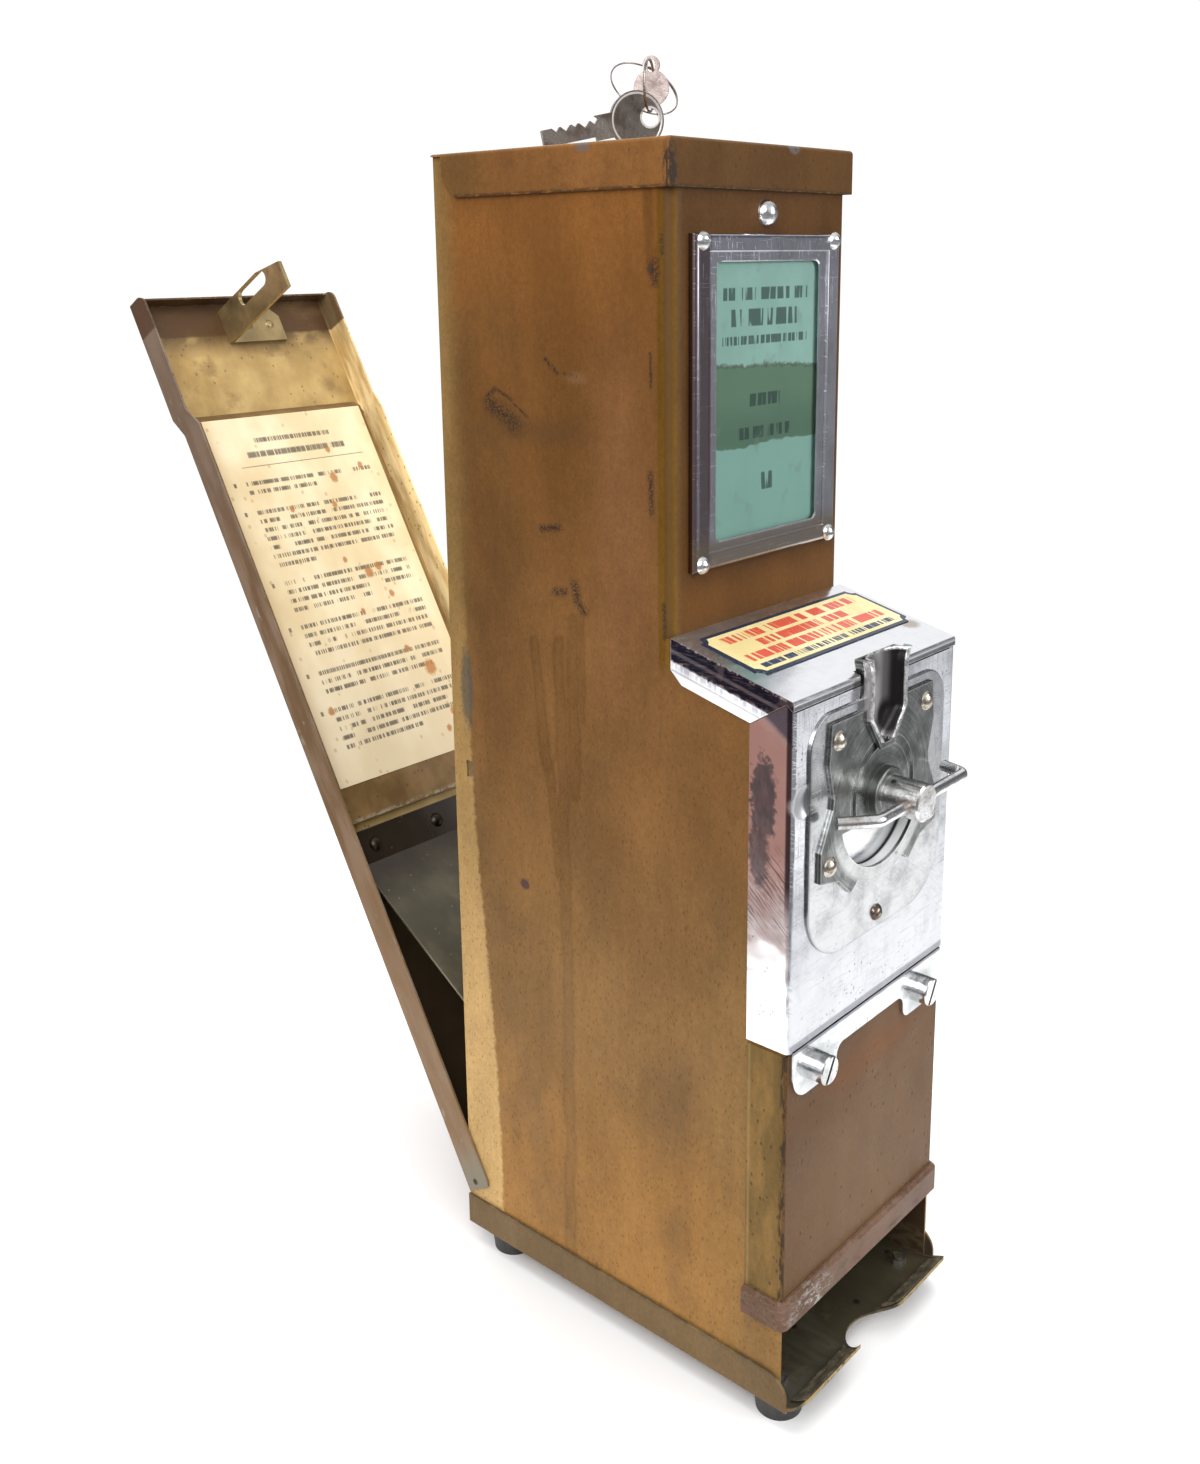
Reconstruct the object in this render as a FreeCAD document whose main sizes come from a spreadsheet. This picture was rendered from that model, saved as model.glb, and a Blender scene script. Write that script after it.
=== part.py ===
import FreeCAD, Part
import math
import os
import re

import Sketcher
from FreeCAD import Placement, Rotation, Vector

# A counter-top vending machine for folders of postage stamps: a tall sheet-metal
# housing with a rear door, a chromed coin mechanism with a T handle, a delivery
# tray at the foot and a lock in the cap.
#
# Every piece is drawn with the door shut, X to the right, Y to the rear and Z up.
# Depths are measured forward from the housing's rear edge, so a depth is -Y, and
# heights are measured up from the underside of the base pan.  The last section
# swings the door's pieces open and moves the whole machine to its origin: the
# middle of its floor area, on the floor.

SIZES = [
    ("housing_width", 114.0, "outside width of the housing"),
    ("upper_depth", 122.0, "depth of the upper housing"),
    ("lower_depth", 175.4, "depth of the lower side walls"),
    ("housing_top", 481.6, "top edge of the housing walls"),
    ("sheet", 1.0, "housing sheet thickness"),
    ("corner_radius", 6.0, "outside bend of the upper front corners"),
    ("web_drop", 14.0, "how far the upper front runs down behind the hood"),
    ("lap_gap", 0.1, "gap between lapped sheets"),
    ("pin_gap", 0.06, "radial running clearance of pins and shafts"),
    ("wall_foot_rise", 0.6, "how far the walls' front feet rise over the tray lip"),
    ("slot_depth_at", 9.75, "depth of the latch slot in each side wall"),
    ("slot_height_at", 226.3, "height of the latch slot"),
    ("slot_width", 4.5, "width of the latch slot"),
    ("slot_length", 7.7, "length of the latch slot"),
    ("panel_sheet", 0.8, "lower front panel thickness"),
    ("panel_leg", 16.7, "reach of the front panel's legs along the side walls"),
    ("panel_lap", 0.5, "how far the delivery band's lower edge hangs below the front panel"),
    ("panel_gap", 1.5, "gap between the front panel and the chromed cover"),
    ("panel_bend", 1.6, "outside bend of the front panel"),
    ("cap_sheet", 1.0, "cap thickness"),
    ("cap_overhang", 1.5, "how far the cap stands out from the walls"),
    ("cap_skirt", 17.0, "height of the cap with its skirt"),
    ("cap_setback", 5.9, "start of the cap's side skirts"),
    ("cap_round", 8.0, "rounded rear corner of the cap's side skirts"),
    ("cap_bend", 1.6, "outside bends of the cap"),
    ("pan_sheet", 1.0, "base pan thickness"),
    ("pan_overhang", 1.2, "how far the base pan stands out from the walls"),
    ("pan_skirt", 14.5, "height of the base pan's sides"),
    ("pan_rear_height", 14.5, "height of the base pan's rear edge"),
    ("pan_toe", 3.9, "how far the base pan's sides run past the walls"),
    ("pan_ear", 10.0, "rounded front corner of the base pan's sides"),
    ("lip_back", 7.3, "start of the tray lip behind the front end of the pan"),
    ("lip_radius", 18.4, "radius of the tray lip"),
    ("lip_reach", 15.5, "how far the tray lip reaches forward"),
    ("lip_corner", 8.0, "rounded outer corners of the tray lip"),
    ("notch_radius", 17.0, "finger notch in the tray lip"),
    ("notch_inset", 14.5, "how far the notch cuts into the lip"),
    ("band_thickness", 2.6, "delivery band thickness"),
    ("band_bottom", 35.5, "lower edge of the delivery band"),
    ("band_height", 13.0, "height of the delivery band"),
    ("band_bevel", 1.5, "bevel on the band's outer edges"),
    ("ramp_rear", 50.0, "rear end of the delivery ramp"),
    ("ramp_height", 54.0, "height of the ramp's rear end"),
    ("ramp_front", 140.0, "front end of the delivery ramp"),
    ("ramp_sheet", 0.8, "delivery ramp thickness"),
    ("ramp_side", 9.0, "turned-down sides of the ramp"),
    ("cover_sheet", 0.9, "chromed sheet thickness"),
    ("cover_lead", 2.0, "how far the chromed cover's face stands before the walls"),
    ("cover_bottom", 154.0, "lower edge of the chromed cover"),
    ("cover_leg", 19.0, "reach of the cover's legs along the side walls"),
    ("cover_bend", 2.0, "outside bend of the chromed cover"),
    ("dimple_reach", 51.2, "pressed dimple in the cover's face from the middle"),
    ("dimple_rise", 10.2, "pressed dimple above the shaft"),
    ("dimple_radius", 6.0, "radius of the dimple at the cover's face"),
    ("dimple_sink", 1.6, "depth of the dimple"),
    ("dimple_boss", 4.6, "radius of the dimple's back"),
    ("hood_rise", 63.2, "rear edge of the hood above the shaft"),
    ("hood_fall", 14.1, "how far the hood slopes down to its front edge"),
    ("hood_skirt", 16.0, "height of the hood's side skirts"),
    ("hood_corner", 5.2, "cut rear corner of the hood's side skirts"),
    ("hood_lip", 3.5, "turned-down front edge of the hood"),
    ("mitre_reach", 18.8, "length of the joint between hood and cover"),
    ("decal_width", 106.0, "hood plate width"),
    ("decal_length", 32.0, "hood plate length down the slope"),
    ("decal_start", 6.3, "hood plate's distance from the hood's rear edge"),
    ("decal_sheet", 0.4, "hood plate thickness"),
    ("decal_corner", 3.2, "notched corners of the hood plate"),
    ("shaft_height", 240.8, "height of the handle shaft"),
    ("shaft_radius", 7.5, "handle shaft radius"),
    ("shaft_reach", 21.4, "how far the handle shaft stands out of the cover"),
    ("journal_radius", 5.0, "radius of the shaft's rear journal"),
    ("rod_radius", 2.4, "handle rod radius"),
    ("rod_inset", 4.6, "handle rod from the shaft's front end"),
    ("rod_left", 26.5, "left bend of the handle from the shaft axis"),
    ("rod_right", 37.5, "right bend of the handle from the shaft axis"),
    ("rod_left_end", 38.5, "left end of the handle from the shaft axis"),
    ("rod_right_end", 40.5, "right end of the handle from the shaft axis"),
    ("rod_bend", 4.0, "bend radius of the handle rod"),
    ("handle_clearance", 1.5, "gap between the handle's ends and the rivet heads"),
    ("plate_width", 97.0, "coin plate width"),
    ("plate_rise", 40.2, "upper edge of the coin plate above the shaft"),
    ("plate_fall", 56.8, "lower edge of the coin plate below the shaft"),
    ("plate_sheet", 1.0, "coin plate thickness"),
    ("plate_top_round", 14.0, "upper corners of the coin plate"),
    ("plate_bottom_round", 24.0, "lower corners of the coin plate"),
    ("head_thickness", 1.4, "thickness of the cast coin head"),
    ("head_radius", 35.0, "round middle of the coin head"),
    ("window_radius", 29.5, "window of the coin head below the shaft"),
    ("window_chord", 8.6, "distance of the window's top edge below the shaft axis"),
    ("dish_radius", 23.0, "dished ring of the coin head"),
    ("dish_width", 3.6, "width of the dished ring"),
    ("dish_depth", 0.7, "depth of the dished ring"),
    ("collar_radius", 10.6, "collar round the shaft"),
    ("collar_height", 3.6, "how far the collar stands out of the coin head"),
    ("coin_radius", 10.6, "radius of the coin the slot takes"),
    ("coin_thickness", 1.95, "thickness of that coin"),
    ("coin_gap", 0.3, "clearance round the coin"),
    ("throat_wall", 2.0, "side walls of the coin throat"),
    ("throat_flare", 1.0, "how far the coin throat's lips flare out at the top"),
    ("throat_room", 0.3, "gap beside the coin throat's lips in the hood"),
    ("throat_rise", 54.7, "top of the coin throat above the shaft"),
    ("throat_tip_rise", 20.7, "bottom tip of the coin throat above the shaft"),
    ("throat_lead", 4.0, "how far the throat's lips stand before the cover"),
    ("throat_length", 7.2, "depth of the coin throat"),
    ("disc_radius", 31.0, "coin disc radius"),
    ("disc_thickness", 2.6, "coin disc thickness"),
    ("disc_gap", 0.4, "gap between the coin throat and the coin disc"),
    ("rivet_head", 4.0, "radius of the coin head's rivets"),
    ("rivet_dome", 2.3, "height of the rivet domes"),
    ("rivet_shank", 2.0, "radius of the rivet shanks"),
    ("rivet_top_reach", 31.5, "upper rivets from the middle"),
    ("rivet_top_rise", 28.8, "upper rivets above the shaft"),
    ("spacer_wall", 1.6, "wall of the spacer tubes on the rivets"),
    ("rivet_low_reach", 36.3, "lower rivets from the middle"),
    ("rivet_low_fall", 18.8, "lower rivets below the shaft"),
    ("rivet_foot_rise", 6.5, "rivet above the coin plate's lower edge"),
    ("strap_sheet", 1.6, "fixing strap thickness"),
    ("strap_drop", 10.0, "lower edge of the strap below the chromed cover"),
    ("ear_drop", 8.2, "lower edge of the strap's ears below the fixing screws"),
    ("ear_outer", 55.0, "outer side of the ears from the middle"),
    ("ear_inner", 25.0, "inner side of the ears from the middle"),
    ("ear_round", 9.5, "rounded outer corners of the ears"),
    ("ear_inner_round", 4.6, "rounded inner corners of the ears"),
    ("fixing_reach", 38.8, "fixing screws from the middle"),
    ("fixing_drop", 12.4, "fixing screws below the chromed cover"),
    ("fixing_head", 5.8, "radius of the fixing screws' heads"),
    ("fixing_head_length", 6.0, "length of the fixing screws' heads"),
    ("fixing_shank", 3.0, "radius of the fixing screws' shanks"),
    ("fixing_slot", 1.6, "driver slot width of the fixing screws"),
    ("frame_width", 94.2, "window frame width"),
    ("frame_drop", 31.6, "top of the window frame below the top of the walls"),
    ("frame_stand", 22.6, "lower edge of the window frame above the hood"),
    ("frame_depth", 3.3, "window frame thickness"),
    ("frame_side", 13.6, "width of the window frame's sides"),
    ("frame_rail", 10.2, "width of the window frame's top and bottom"),
    ("frame_round", 1.8, "rounded edges of the window frame"),
    ("frame_rim", 8.6, "width of the window frame's raised rim at the sides"),
    ("frame_rim_rail", 6.6, "width of that rim at the top and bottom"),
    ("frame_step", 0.7, "step from the rim down to the frame's inner border"),
    ("glass_sheet", 1.5, "window glass thickness"),
    ("card_sheet", 0.4, "price card thickness"),
    ("frame_screw_inset", 2.7, "window screws from the frame's top and bottom"),
    ("frame_screw_side", 4.6, "window screws from the frame's sides"),
    ("frame_screw_head", 3.5, "radius of the window screws' heads"),
    ("frame_screw_shank", 1.3, "radius of the window screws' shanks"),
    ("cap_bolt_drop", 24.1, "bracket bolt below the top of the walls"),
    ("cap_bolt_head", 5.2, "radius of the bracket bolt's dome"),
    ("cap_bolt_shank", 2.4, "radius of the bracket bolt's shank"),
    ("foot_height", 9.5, "rubber foot height"),
    ("foot_top_radius", 10.4, "rubber foot radius at the pan"),
    ("foot_base_radius", 9.4, "rubber foot radius at the floor"),
    ("foot_inset", 10.6, "foot centres from the housing sides"),
    ("foot_rear", 18.0, "rear feet from the housing's rear edge"),
    ("foot_front_inset", 7.4, "front feet behind the walls' front edges"),
    ("foot_screw", 1.9, "radius of the foot screws"),
    ("chute_width", 58.0, "inside width of the folder chute"),
    ("chute_length", 34.0, "inside depth of the folder chute"),
    ("chute_rear", 66.0, "rear face of the folder chute"),
    ("chute_drop", 36.6, "top of the folder chute below the top of the walls"),
    ("chute_sheet", 1.0, "folder chute thickness"),
    ("chute_slot", 36.0, "width of the slot in the chute's rear"),
    ("folder_gap", 2.8, "gap under the chute for one folder"),
    ("bed_drop", 12.0, "top of the ejector bed below the guide rod"),
    ("bed_sheet", 1.2, "ejector bed thickness"),
    ("bed_lead", 12.0, "rear edge of the bed before the chute's rear face"),
    ("web_gap", 2.5, "gap between the bed's front edge and the rack's web"),
    ("weight_height", 26.0, "follower weight height"),
    ("weight_gap", 0.7, "gap between the follower weight and the chute"),
    ("slide_gap", 0.3, "gap between pieces that slide past each other"),
    ("blade_sheet", 1.6, "ejector blade thickness"),
    ("blade_width", 50.0, "ejector blade width"),
    ("blade_length", 30.5, "ejector blade length with its tongue"),
    ("tongue_width", 14.0, "ejector tongue width"),
    ("cam_pin_radius", 3.0, "ejector pin radius"),
    ("pin_lead", 30.0, "ejector's pin before the chute at rest"),
    ("ejector_stroke", 30.0, "ejector stroke"),
    ("cam_sheet", 2.0, "cam plate thickness"),
    ("cam_margin", 5.0, "metal round the slot of the cam plate"),
    ("rack_over", 14.5, "how far the rack runs past the pinion at each end of its travel"),
    ("rack_foot", 6.0, "rack's underside below the guide rod"),
    ("rack_web", 2.0, "thickness of the web between rack and cam plate"),
    ("gear_module", 1.5, "module of the pinion and the rack"),
    ("gear_teeth", 20.0, "pinion teeth"),
    ("gear_width", 7.0, "face width of the pinion and the rack"),
    ("gear_setback", 11.5, "front face of the pinion behind the mechanism frame's face"),
    ("gear_backlash", 0.22, "backlash of the pinion and the rack"),
    ("handle_turn", 90.0, "turn of the handle in degrees"),
    ("guide_radius", 2.2, "guide rod radius"),
    ("rack_drop", 17.8, "guide rod below the rack's pitch line"),
    ("mech_sheet", 2.0, "mechanism frame thickness"),
    ("mech_width", 96.0, "mechanism frame width"),
    ("disc_room", 3.2, "gap between the coin disc and the mechanism frame"),
    ("mech_depth", 62.0, "depth of the mechanism frame's sides"),
    ("mech_rise", 43.2, "top of the mechanism frame above the shaft"),
    ("mech_foot", 10.0, "lower edge of the mechanism frame's sides below the bed"),
    ("mech_tab", 14.0, "width of the frame's fixing tabs"),
    ("bearing_room", 5.0, "gap between the pinion and the rear bearing plate"),
    ("bearing_height", 32.0, "height of the rear bearing plate"),
    ("hopper_sheet", 0.8, "coin hopper thickness"),
    ("hopper_drop", 7.3, "top of the coin hopper below the coin disc"),
    ("hopper_fall", 34.0, "height over which the hopper narrows"),
    ("hopper_width", 88.0, "width of the hopper's mouth"),
    ("duct_width", 28.0, "coin duct width"),
    ("duct_depth", 6.6, "coin duct depth"),
    ("box_rear", 90.0, "rear face of the cash box"),
    ("box_gap", 1.0, "gap between the cash box and the walls' front edges"),
    ("box_width", 104.0, "cash box width"),
    ("box_bottom", 50.0, "underside of the cash box"),
    ("box_room", 2.0, "gap between the fixing screws and the cash box"),
    ("box_sheet", 1.0, "cash box thickness"),
    ("shelf_sheet", 1.0, "cash box shelf thickness"),
    ("shelf_side", 8.0, "turned-down sides of the shelf"),
    ("shelf_over", 4.0, "how far the shelf runs out behind the cash box"),
    ("shelf_short", 26.0, "how far the shelf's sides stop short of the cash box's front"),
    ("shelf_rivet_rear", 12.0, "rear shelf rivets before the cash box's rear face"),
    ("shelf_rivet_front", 34.0, "front shelf rivets behind the cash box's front face"),
    ("shelf_rivet_tail", 0.8, "height of the shelf rivets' tails"),
    ("hinge_depth", 5.0, "hinge pin from the housing's rear edge"),
    ("hinge_height", 22.8, "height of the hinge pin"),
    ("hinge_radius", 1.5, "hinge pin radius"),
    ("door_angle", 29.5, "door opening angle in degrees"),
    ("door_sheet", 1.0, "door thickness"),
    ("door_gap", 0.4, "gap between the door and the housing"),
    ("door_foot", 3.8, "lower edge of the door below the hinge pin"),
    ("door_rise", 3.1, "upper edge of the door above the top of the walls"),
    ("door_side", 15.0, "depth of the door's sides"),
    ("door_crown_side", 13.9, "depth of the door's sides at the top"),
    ("door_joggle", 3.0, "rearward step of the door's crown"),
    ("door_flare", 1.5, "sideways step of the door's crown"),
    ("joggle_drop", 74.7, "start of the door's step below its upper edge"),
    ("joggle_run", 10.0, "height of the door's step"),
    ("door_top_flange", 8.0, "depth of the door's top flange"),
    ("door_crown_round", 6.0, "rounded upper corner of the door's sides"),
    ("door_foot_round", 3.0, "rounded lower corner of the door's sides"),
    ("liner_width", 104.0, "door liner width"),
    ("liner_gap", 4.0, "gap between the deflector's flange and the liner"),
    ("liner_rise_over", 9.0, "upper edge of the liner above the start of the door's step"),
    ("liner_rise", 4.2, "how far the liner stands off the door"),
    ("liner_sheet", 0.8, "door liner thickness"),
    ("label_width", 100.5, "instruction sheet width"),
    ("label_inset", 18.0, "instruction sheet above the liner's lower edge"),
    ("label_drop", 4.6, "instruction sheet below the liner's upper edge"),
    ("label_sheet", 0.3, "instruction sheet thickness"),
    ("deflector_sheet", 1.0, "deflector thickness"),
    ("deflector_width", 104.0, "deflector width"),
    ("deflector_bend", 177.0, "height of the deflector's bend"),
    ("deflector_flange", 17.0, "height of the deflector's flange"),
    ("deflector_reach", 60.0, "how far the deflector reaches into the housing"),
    ("deflector_slope", 62.8, "slope of the deflector in degrees"),
    ("deflector_screw_rise", 8.5, "deflector screws above the bend"),
    ("deflector_screw_reach", 40.0, "outer deflector screws from the middle"),
    ("deflector_screw_head", 3.6, "radius of the deflector screws' heads"),
    ("deflector_screw_shank", 1.6, "radius of the deflector screws' shanks"),
    ("hasp_sheet", 2.0, "hasp thickness"),
    ("hasp_bend_at", -10.5, "hasp's standing leg from the middle"),
    ("hasp_base_width", 36.0, "hasp's base width"),
    ("hasp_height", 19.3, "height of the hasp"),
    ("hasp_drop", 5.4, "upper edge of the hasp below the door's upper edge"),
    ("hasp_reach", 58.5, "how far the hasp's leg reaches forward"),
    ("hasp_shoulder", 38.0, "where the hasp's leg begins to taper"),
    ("hasp_tip", 5.0, "taper at the hasp's tip"),
    ("hasp_slot_start", 17.4, "rear end of the hasp's slot"),
    ("hasp_slot_end", 44.6, "front end of the hasp's slot"),
    ("hasp_slot_width", 8.0, "width of the hasp's slot"),
    ("hasp_slot_drop", 5.0, "hasp's slot below its upper edge"),
    ("hasp_rivet", 1.5, "radius of the hasp's rivets"),
    ("lock_at", 8.0, "lock from the middle"),
    ("lock_depth", 31.0, "lock from the housing's rear edge"),
    ("lock_radius", 9.0, "lock body radius"),
    ("lock_rim", 11.0, "lock rim radius"),
    ("lock_rim_height", 1.6, "lock rim height above the cap"),
    ("lock_length", 7.0, "length of the lock body below the cap's top"),
    ("lock_nut_height", 3.0, "lock nut height"),
    ("lock_nut_flats", 22.0, "lock nut across its flats"),
    ("plug_radius", 6.0, "lock plug radius"),
    ("lock_cam_length", 20.0, "lock cam from the plug's axis to its end"),
    ("lock_cam_width", 10.0, "lock cam width"),
    ("lock_cam_sheet", 2.0, "lock cam thickness"),
    ("key_sheet", 1.8, "key thickness"),
    ("key_bow", 11.0, "key bow radius"),
    ("key_length", 39.0, "key from the bow's centre to the tip"),
    ("key_blade", 6.4, "key blade width"),
    ("key_hole", 3.4, "radius of the hole in the key's bow"),
    ("key_hole_shift", 5.5, "distance of that hole from the bow's centre"),
    ("key_at", -14.0, "key bow from the middle of the cap"),
    ("key_depth", 70.7, "depth of the key bow"),
    ("key_heading", 150.0, "plan direction of the key's blade in degrees"),
    ("ring_radius", 9.6, "key ring radius"),
    ("ring_wire", 0.5, "key ring wire radius"),
    ("ring_slack", 0.75, "gap between the ring and the edges of the holes it hangs in"),
    ("ring_turn", 58.0, "turn of the ring from the key's plane in degrees"),
    ("tag_radius", 6.9, "key tag radius"),
    ("tag_ear", 3.4, "radius of the key tag's ear"),
    ("tag_slot", 2.9, "width of the slot in the tag's ear"),
    ("tag_sheet", 1.2, "key tag thickness"),
    ("tag_hang", 22.0, "place of the tag on the ring, from its top, in degrees"),
    ("tag_turn", -25.0, "turn of the tag from the key's plane in degrees"),
]

# Sizes that follow from others, so that the pieces keep together when one is changed.
FOLLOWING = [
    ("pan_front", "lower_depth + pan_toe", "front end of the base pan's sides"),
    ("lip_start", "pan_front - lip_back", "where the tray floor starts to curl up"),
    ("panel_bottom", "band_bottom + panel_lap", "lower edge of the front panel"),
    ("panel_top", "cover_bottom - panel_gap", "upper edge of the front panel"),
    ("cover_depth", "lower_depth + cover_lead", "front face of the chromed cover"),
    ("hood_rear_height", "shaft_height + hood_rise", "hood height where it meets the upper front"),
    ("hood_front_height", "hood_rear_height - hood_fall", "hood height at its front edge"),
    ("mitre_depth", "cover_depth - mitre_reach", "rear end of the joint between hood and cover"),
    ("shaft_front", "cover_depth + shaft_reach", "front end of the handle shaft"),
    ("rod_depth", "shaft_front - rod_inset", "depth of the handle rod through the shaft"),
    ("plate_top", "shaft_height + plate_rise", "coin plate upper edge"),
    ("plate_bottom", "shaft_height - plate_fall", "coin plate lower edge"),
    ("throat_top", "shaft_height + throat_rise", "top of the coin throat"),
    ("throat_tip", "shaft_height + throat_tip_rise", "bottom tip of the coin throat"),
    ("throat_front", "cover_depth + throat_lead", "front of the coin throat's lips"),
    ("throat_rear", "throat_front - throat_length", "rear face of the coin throat"),
    ("disc_depth", "throat_rear - disc_gap", "front face of the coin disc"),
    ("rivet_top_height", "shaft_height + rivet_top_rise", "height of the upper rivets"),
    ("rivet_low_height", "shaft_height - rivet_low_fall", "height of the lower rivets"),
    ("rivet_foot_height", "plate_bottom + rivet_foot_rise", "height of the rivet at the coin plate's foot"),
    ("strap_bottom", "cover_bottom - strap_drop", "lower edge of the strap between its ears"),
    ("fixing_height", "cover_bottom - fixing_drop", "height of the fixing screws"),
    ("ear_bottom", "fixing_height - ear_drop", "lower edge of the strap's ears"),
    ("frame_top", "housing_top - frame_drop", "top edge of the window frame"),
    ("frame_bottom", "hood_rear_height + frame_stand", "lower edge of the window frame"),
    ("cap_bolt_height", "housing_top - cap_bolt_drop", "height of the bracket bolt in the upper front"),
    ("foot_front", "lower_depth - foot_front_inset", "front feet from the housing's rear edge"),
    ("chute_top", "housing_top - chute_drop", "top of the folder chute"),
    ("mech_front", "disc_depth - disc_thickness - disc_room", "front face of the mechanism frame"),
    ("mech_rear", "mech_front - mech_depth", "rear edge of the mechanism frame's sides"),
    ("mech_top", "shaft_height + mech_rise", "top of the mechanism frame"),
    ("gear_depth", "mech_front - gear_setback", "front face of the pinion and the rack"),
    ("bearing_front", "gear_depth - gear_width - bearing_room", "front face of the rear bearing plate"),
    ("guide_height", "shaft_height - gear_module * gear_teeth / 2 - rack_drop", "height of the guide rod"),
    ("bed_top", "guide_height - bed_drop", "top of the ejector bed"),
    ("bed_rear", "chute_rear + bed_lead", "rear edge of the ejector bed"),
    ("bed_front", "gear_depth - gear_width - web_gap", "front edge of the ejector bed"),
    ("cam_pin_depth", "chute_rear + chute_length + pin_lead", "depth of the ejector pin at rest"),
    ("mech_bottom", "bed_top - mech_foot", "lower edge of the mechanism frame's sides"),
    ("hopper_top", "shaft_height - disc_radius - hopper_drop", "top of the coin hopper"),
    ("hopper_waist", "hopper_top - hopper_fall", "where the hopper becomes the coin duct"),
    ("box_front", "lower_depth - box_gap", "front face of the cash box"),
    ("box_top", "fixing_height - fixing_shank - box_room", "top of the cash box"),
    ("door_bottom", "hinge_height - door_foot", "lower edge of the door"),
    ("door_top", "housing_top + door_rise", "upper edge of the door"),
    ("joggle_start", "door_top - joggle_drop", "height where the step begins"),
    ("joggle_end", "joggle_start + joggle_run", "height where the step ends"),
    ("deflector_flange_top", "deflector_bend + deflector_flange", "top of the deflector's flange"),
    ("deflector_screw_height", "deflector_bend + deflector_screw_rise", "height of the deflector screws"),
    ("liner_bottom", "deflector_flange_top + liner_gap", "lower edge of the door liner"),
    ("liner_top", "joggle_start + liner_rise_over", "upper edge of the door liner"),
    ("label_bottom", "liner_bottom + label_inset", "lower edge of the instruction sheet"),
    ("label_top", "liner_top - label_drop", "upper edge of the instruction sheet"),
    ("hasp_top", "door_top - hasp_drop", "upper edge of the hasp"),
    ("hasp_bottom", "hasp_top - hasp_height", "lower edge of the hasp"),
    ("hasp_slot_height", "hasp_top - hasp_slot_drop", "height of the hasp's slot"),
    ("lock_bottom", "housing_top + cap_sheet - lock_length", "underside of the lock body"),]

doc = FreeCAD.newDocument("StampFolderMachine")
sheet = doc.addObject("Spreadsheet::Sheet", "Sizes")
for row, (alias, size, note) in enumerate(SIZES + FOLLOWING, start=1):
    sheet.set(f"A{row}", note)
    sheet.set(f"B{row}", f"={size}")
    sheet.setAlias(f"B{row}", alias)
doc.recompute()
V = {alias: float(sheet.get(alias)) for alias, size, note in SIZES + FOLLOWING}
WORD = re.compile(r"[a-z][a-z_]*")
NODES = {}


# ---------------------------------------------------------------- helpers
def bound(text):
    """The same formula with every size named as a cell of the sheet."""
    return WORD.sub(lambda m: "Sizes." + m.group() if m.group() in V else m.group(), str(text))


def bind(item, prop, text):
    item.setExpression(prop, bound(text))


def new_body(label):
    body = doc.addObject("PartDesign::Body", label)
    body.Label = label
    NODES[label] = body
    return body


def new_sketch(body, plane, height="0"):
    sketch = body.newObject("Sketcher::SketchObject", body.Label + "_sketch")
    planes = {feature.Role: feature for feature in body.Origin.OriginFeatures}
    sketch.AttachmentSupport = [(planes[plane], "")]
    sketch.MapMode = "FlatFace"
    bind(sketch, "AttachmentOffset.Base.z", height)
    return sketch


def bound_constraint(sketch, text, *parts):
    index = sketch.addConstraint(Sketcher.Constraint(*parts))
    bind(sketch, f"Constraints[{index}]", text)


def pin_point(sketch, geometry, point, across, up, near):
    bound_constraint(sketch, across, "DistanceX", -1, 1, geometry, point, near.x)
    bound_constraint(sketch, up, "DistanceY", -1, 1, geometry, point, near.y)


def outline(body, plane, points, height="0"):
    """A closed polygon whose corners are held at the given pairs of formulas."""
    sketch = new_sketch(body, plane, height)
    count = len(points)
    turn = 2 * math.pi / count
    start = [Vector(10 * math.cos(turn * i), 10 * math.sin(turn * i), 0) for i in range(count)]
    for i in range(count):
        sketch.addGeometry(Part.LineSegment(start[i], start[(i + 1) % count]), False)
    for i in range(count):
        sketch.addConstraint(Sketcher.Constraint("Coincident", i, 2, (i + 1) % count, 1))
    for i, (across, up) in enumerate(points):
        pin_point(sketch, i, 1, across, up, start[i])
    return sketch


def side_outline(body, points, across="0"):
    """A polygon seen from the side, drawn in depths and heights at one X."""
    return outline(body, "YZ_Plane", [(f"-({depth})", height) for depth, height in points], across)


def side_walls(body, points, outer_half, thickness):
    """The same side wall twice, its outer faces at plus and minus outer_half."""
    pad(body, side_outline(body, points, outer_half), thickness, reverse=True)
    pad(body, side_outline(body, points, f"-({outer_half})"), thickness)


def plan_outline(body, points, height="0"):
    """A polygon seen from above, drawn in X and depths."""
    return outline(body, "XY_Plane", [(x, f"-({depth})") for x, depth in points], height)


def front_outline(body, points, depth="0"):
    """A polygon seen from the front, drawn in X and heights at one depth."""
    return outline(body, "XZ_Plane", points, depth)


def rectangle(x0, x1, y0, y1):
    return [(x0, y0), (x1, y0), (x1, y1), (x0, y1)]


def circles(body, plane, centres, radius, height="0"):
    sketch = new_sketch(body, plane, height)
    for index, (across, up) in enumerate(centres):
        near = Vector(10.0 + 10 * index, 5, 0)
        sketch.addGeometry(Part.Circle(near, Vector(0, 0, 1), 2), False)
        pin_point(sketch, index, 3, across, up, near)
        bound_constraint(sketch, radius, "Radius", index, 2)
    return sketch


def pad(body, sketch, length, midplane=False, reverse=False):
    feature = body.newObject("PartDesign::Pad", body.Label + "_pad")
    feature.Profile = sketch
    feature.Midplane = midplane
    feature.Reversed = reverse
    bind(feature, "Length", length)
    return feature


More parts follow.
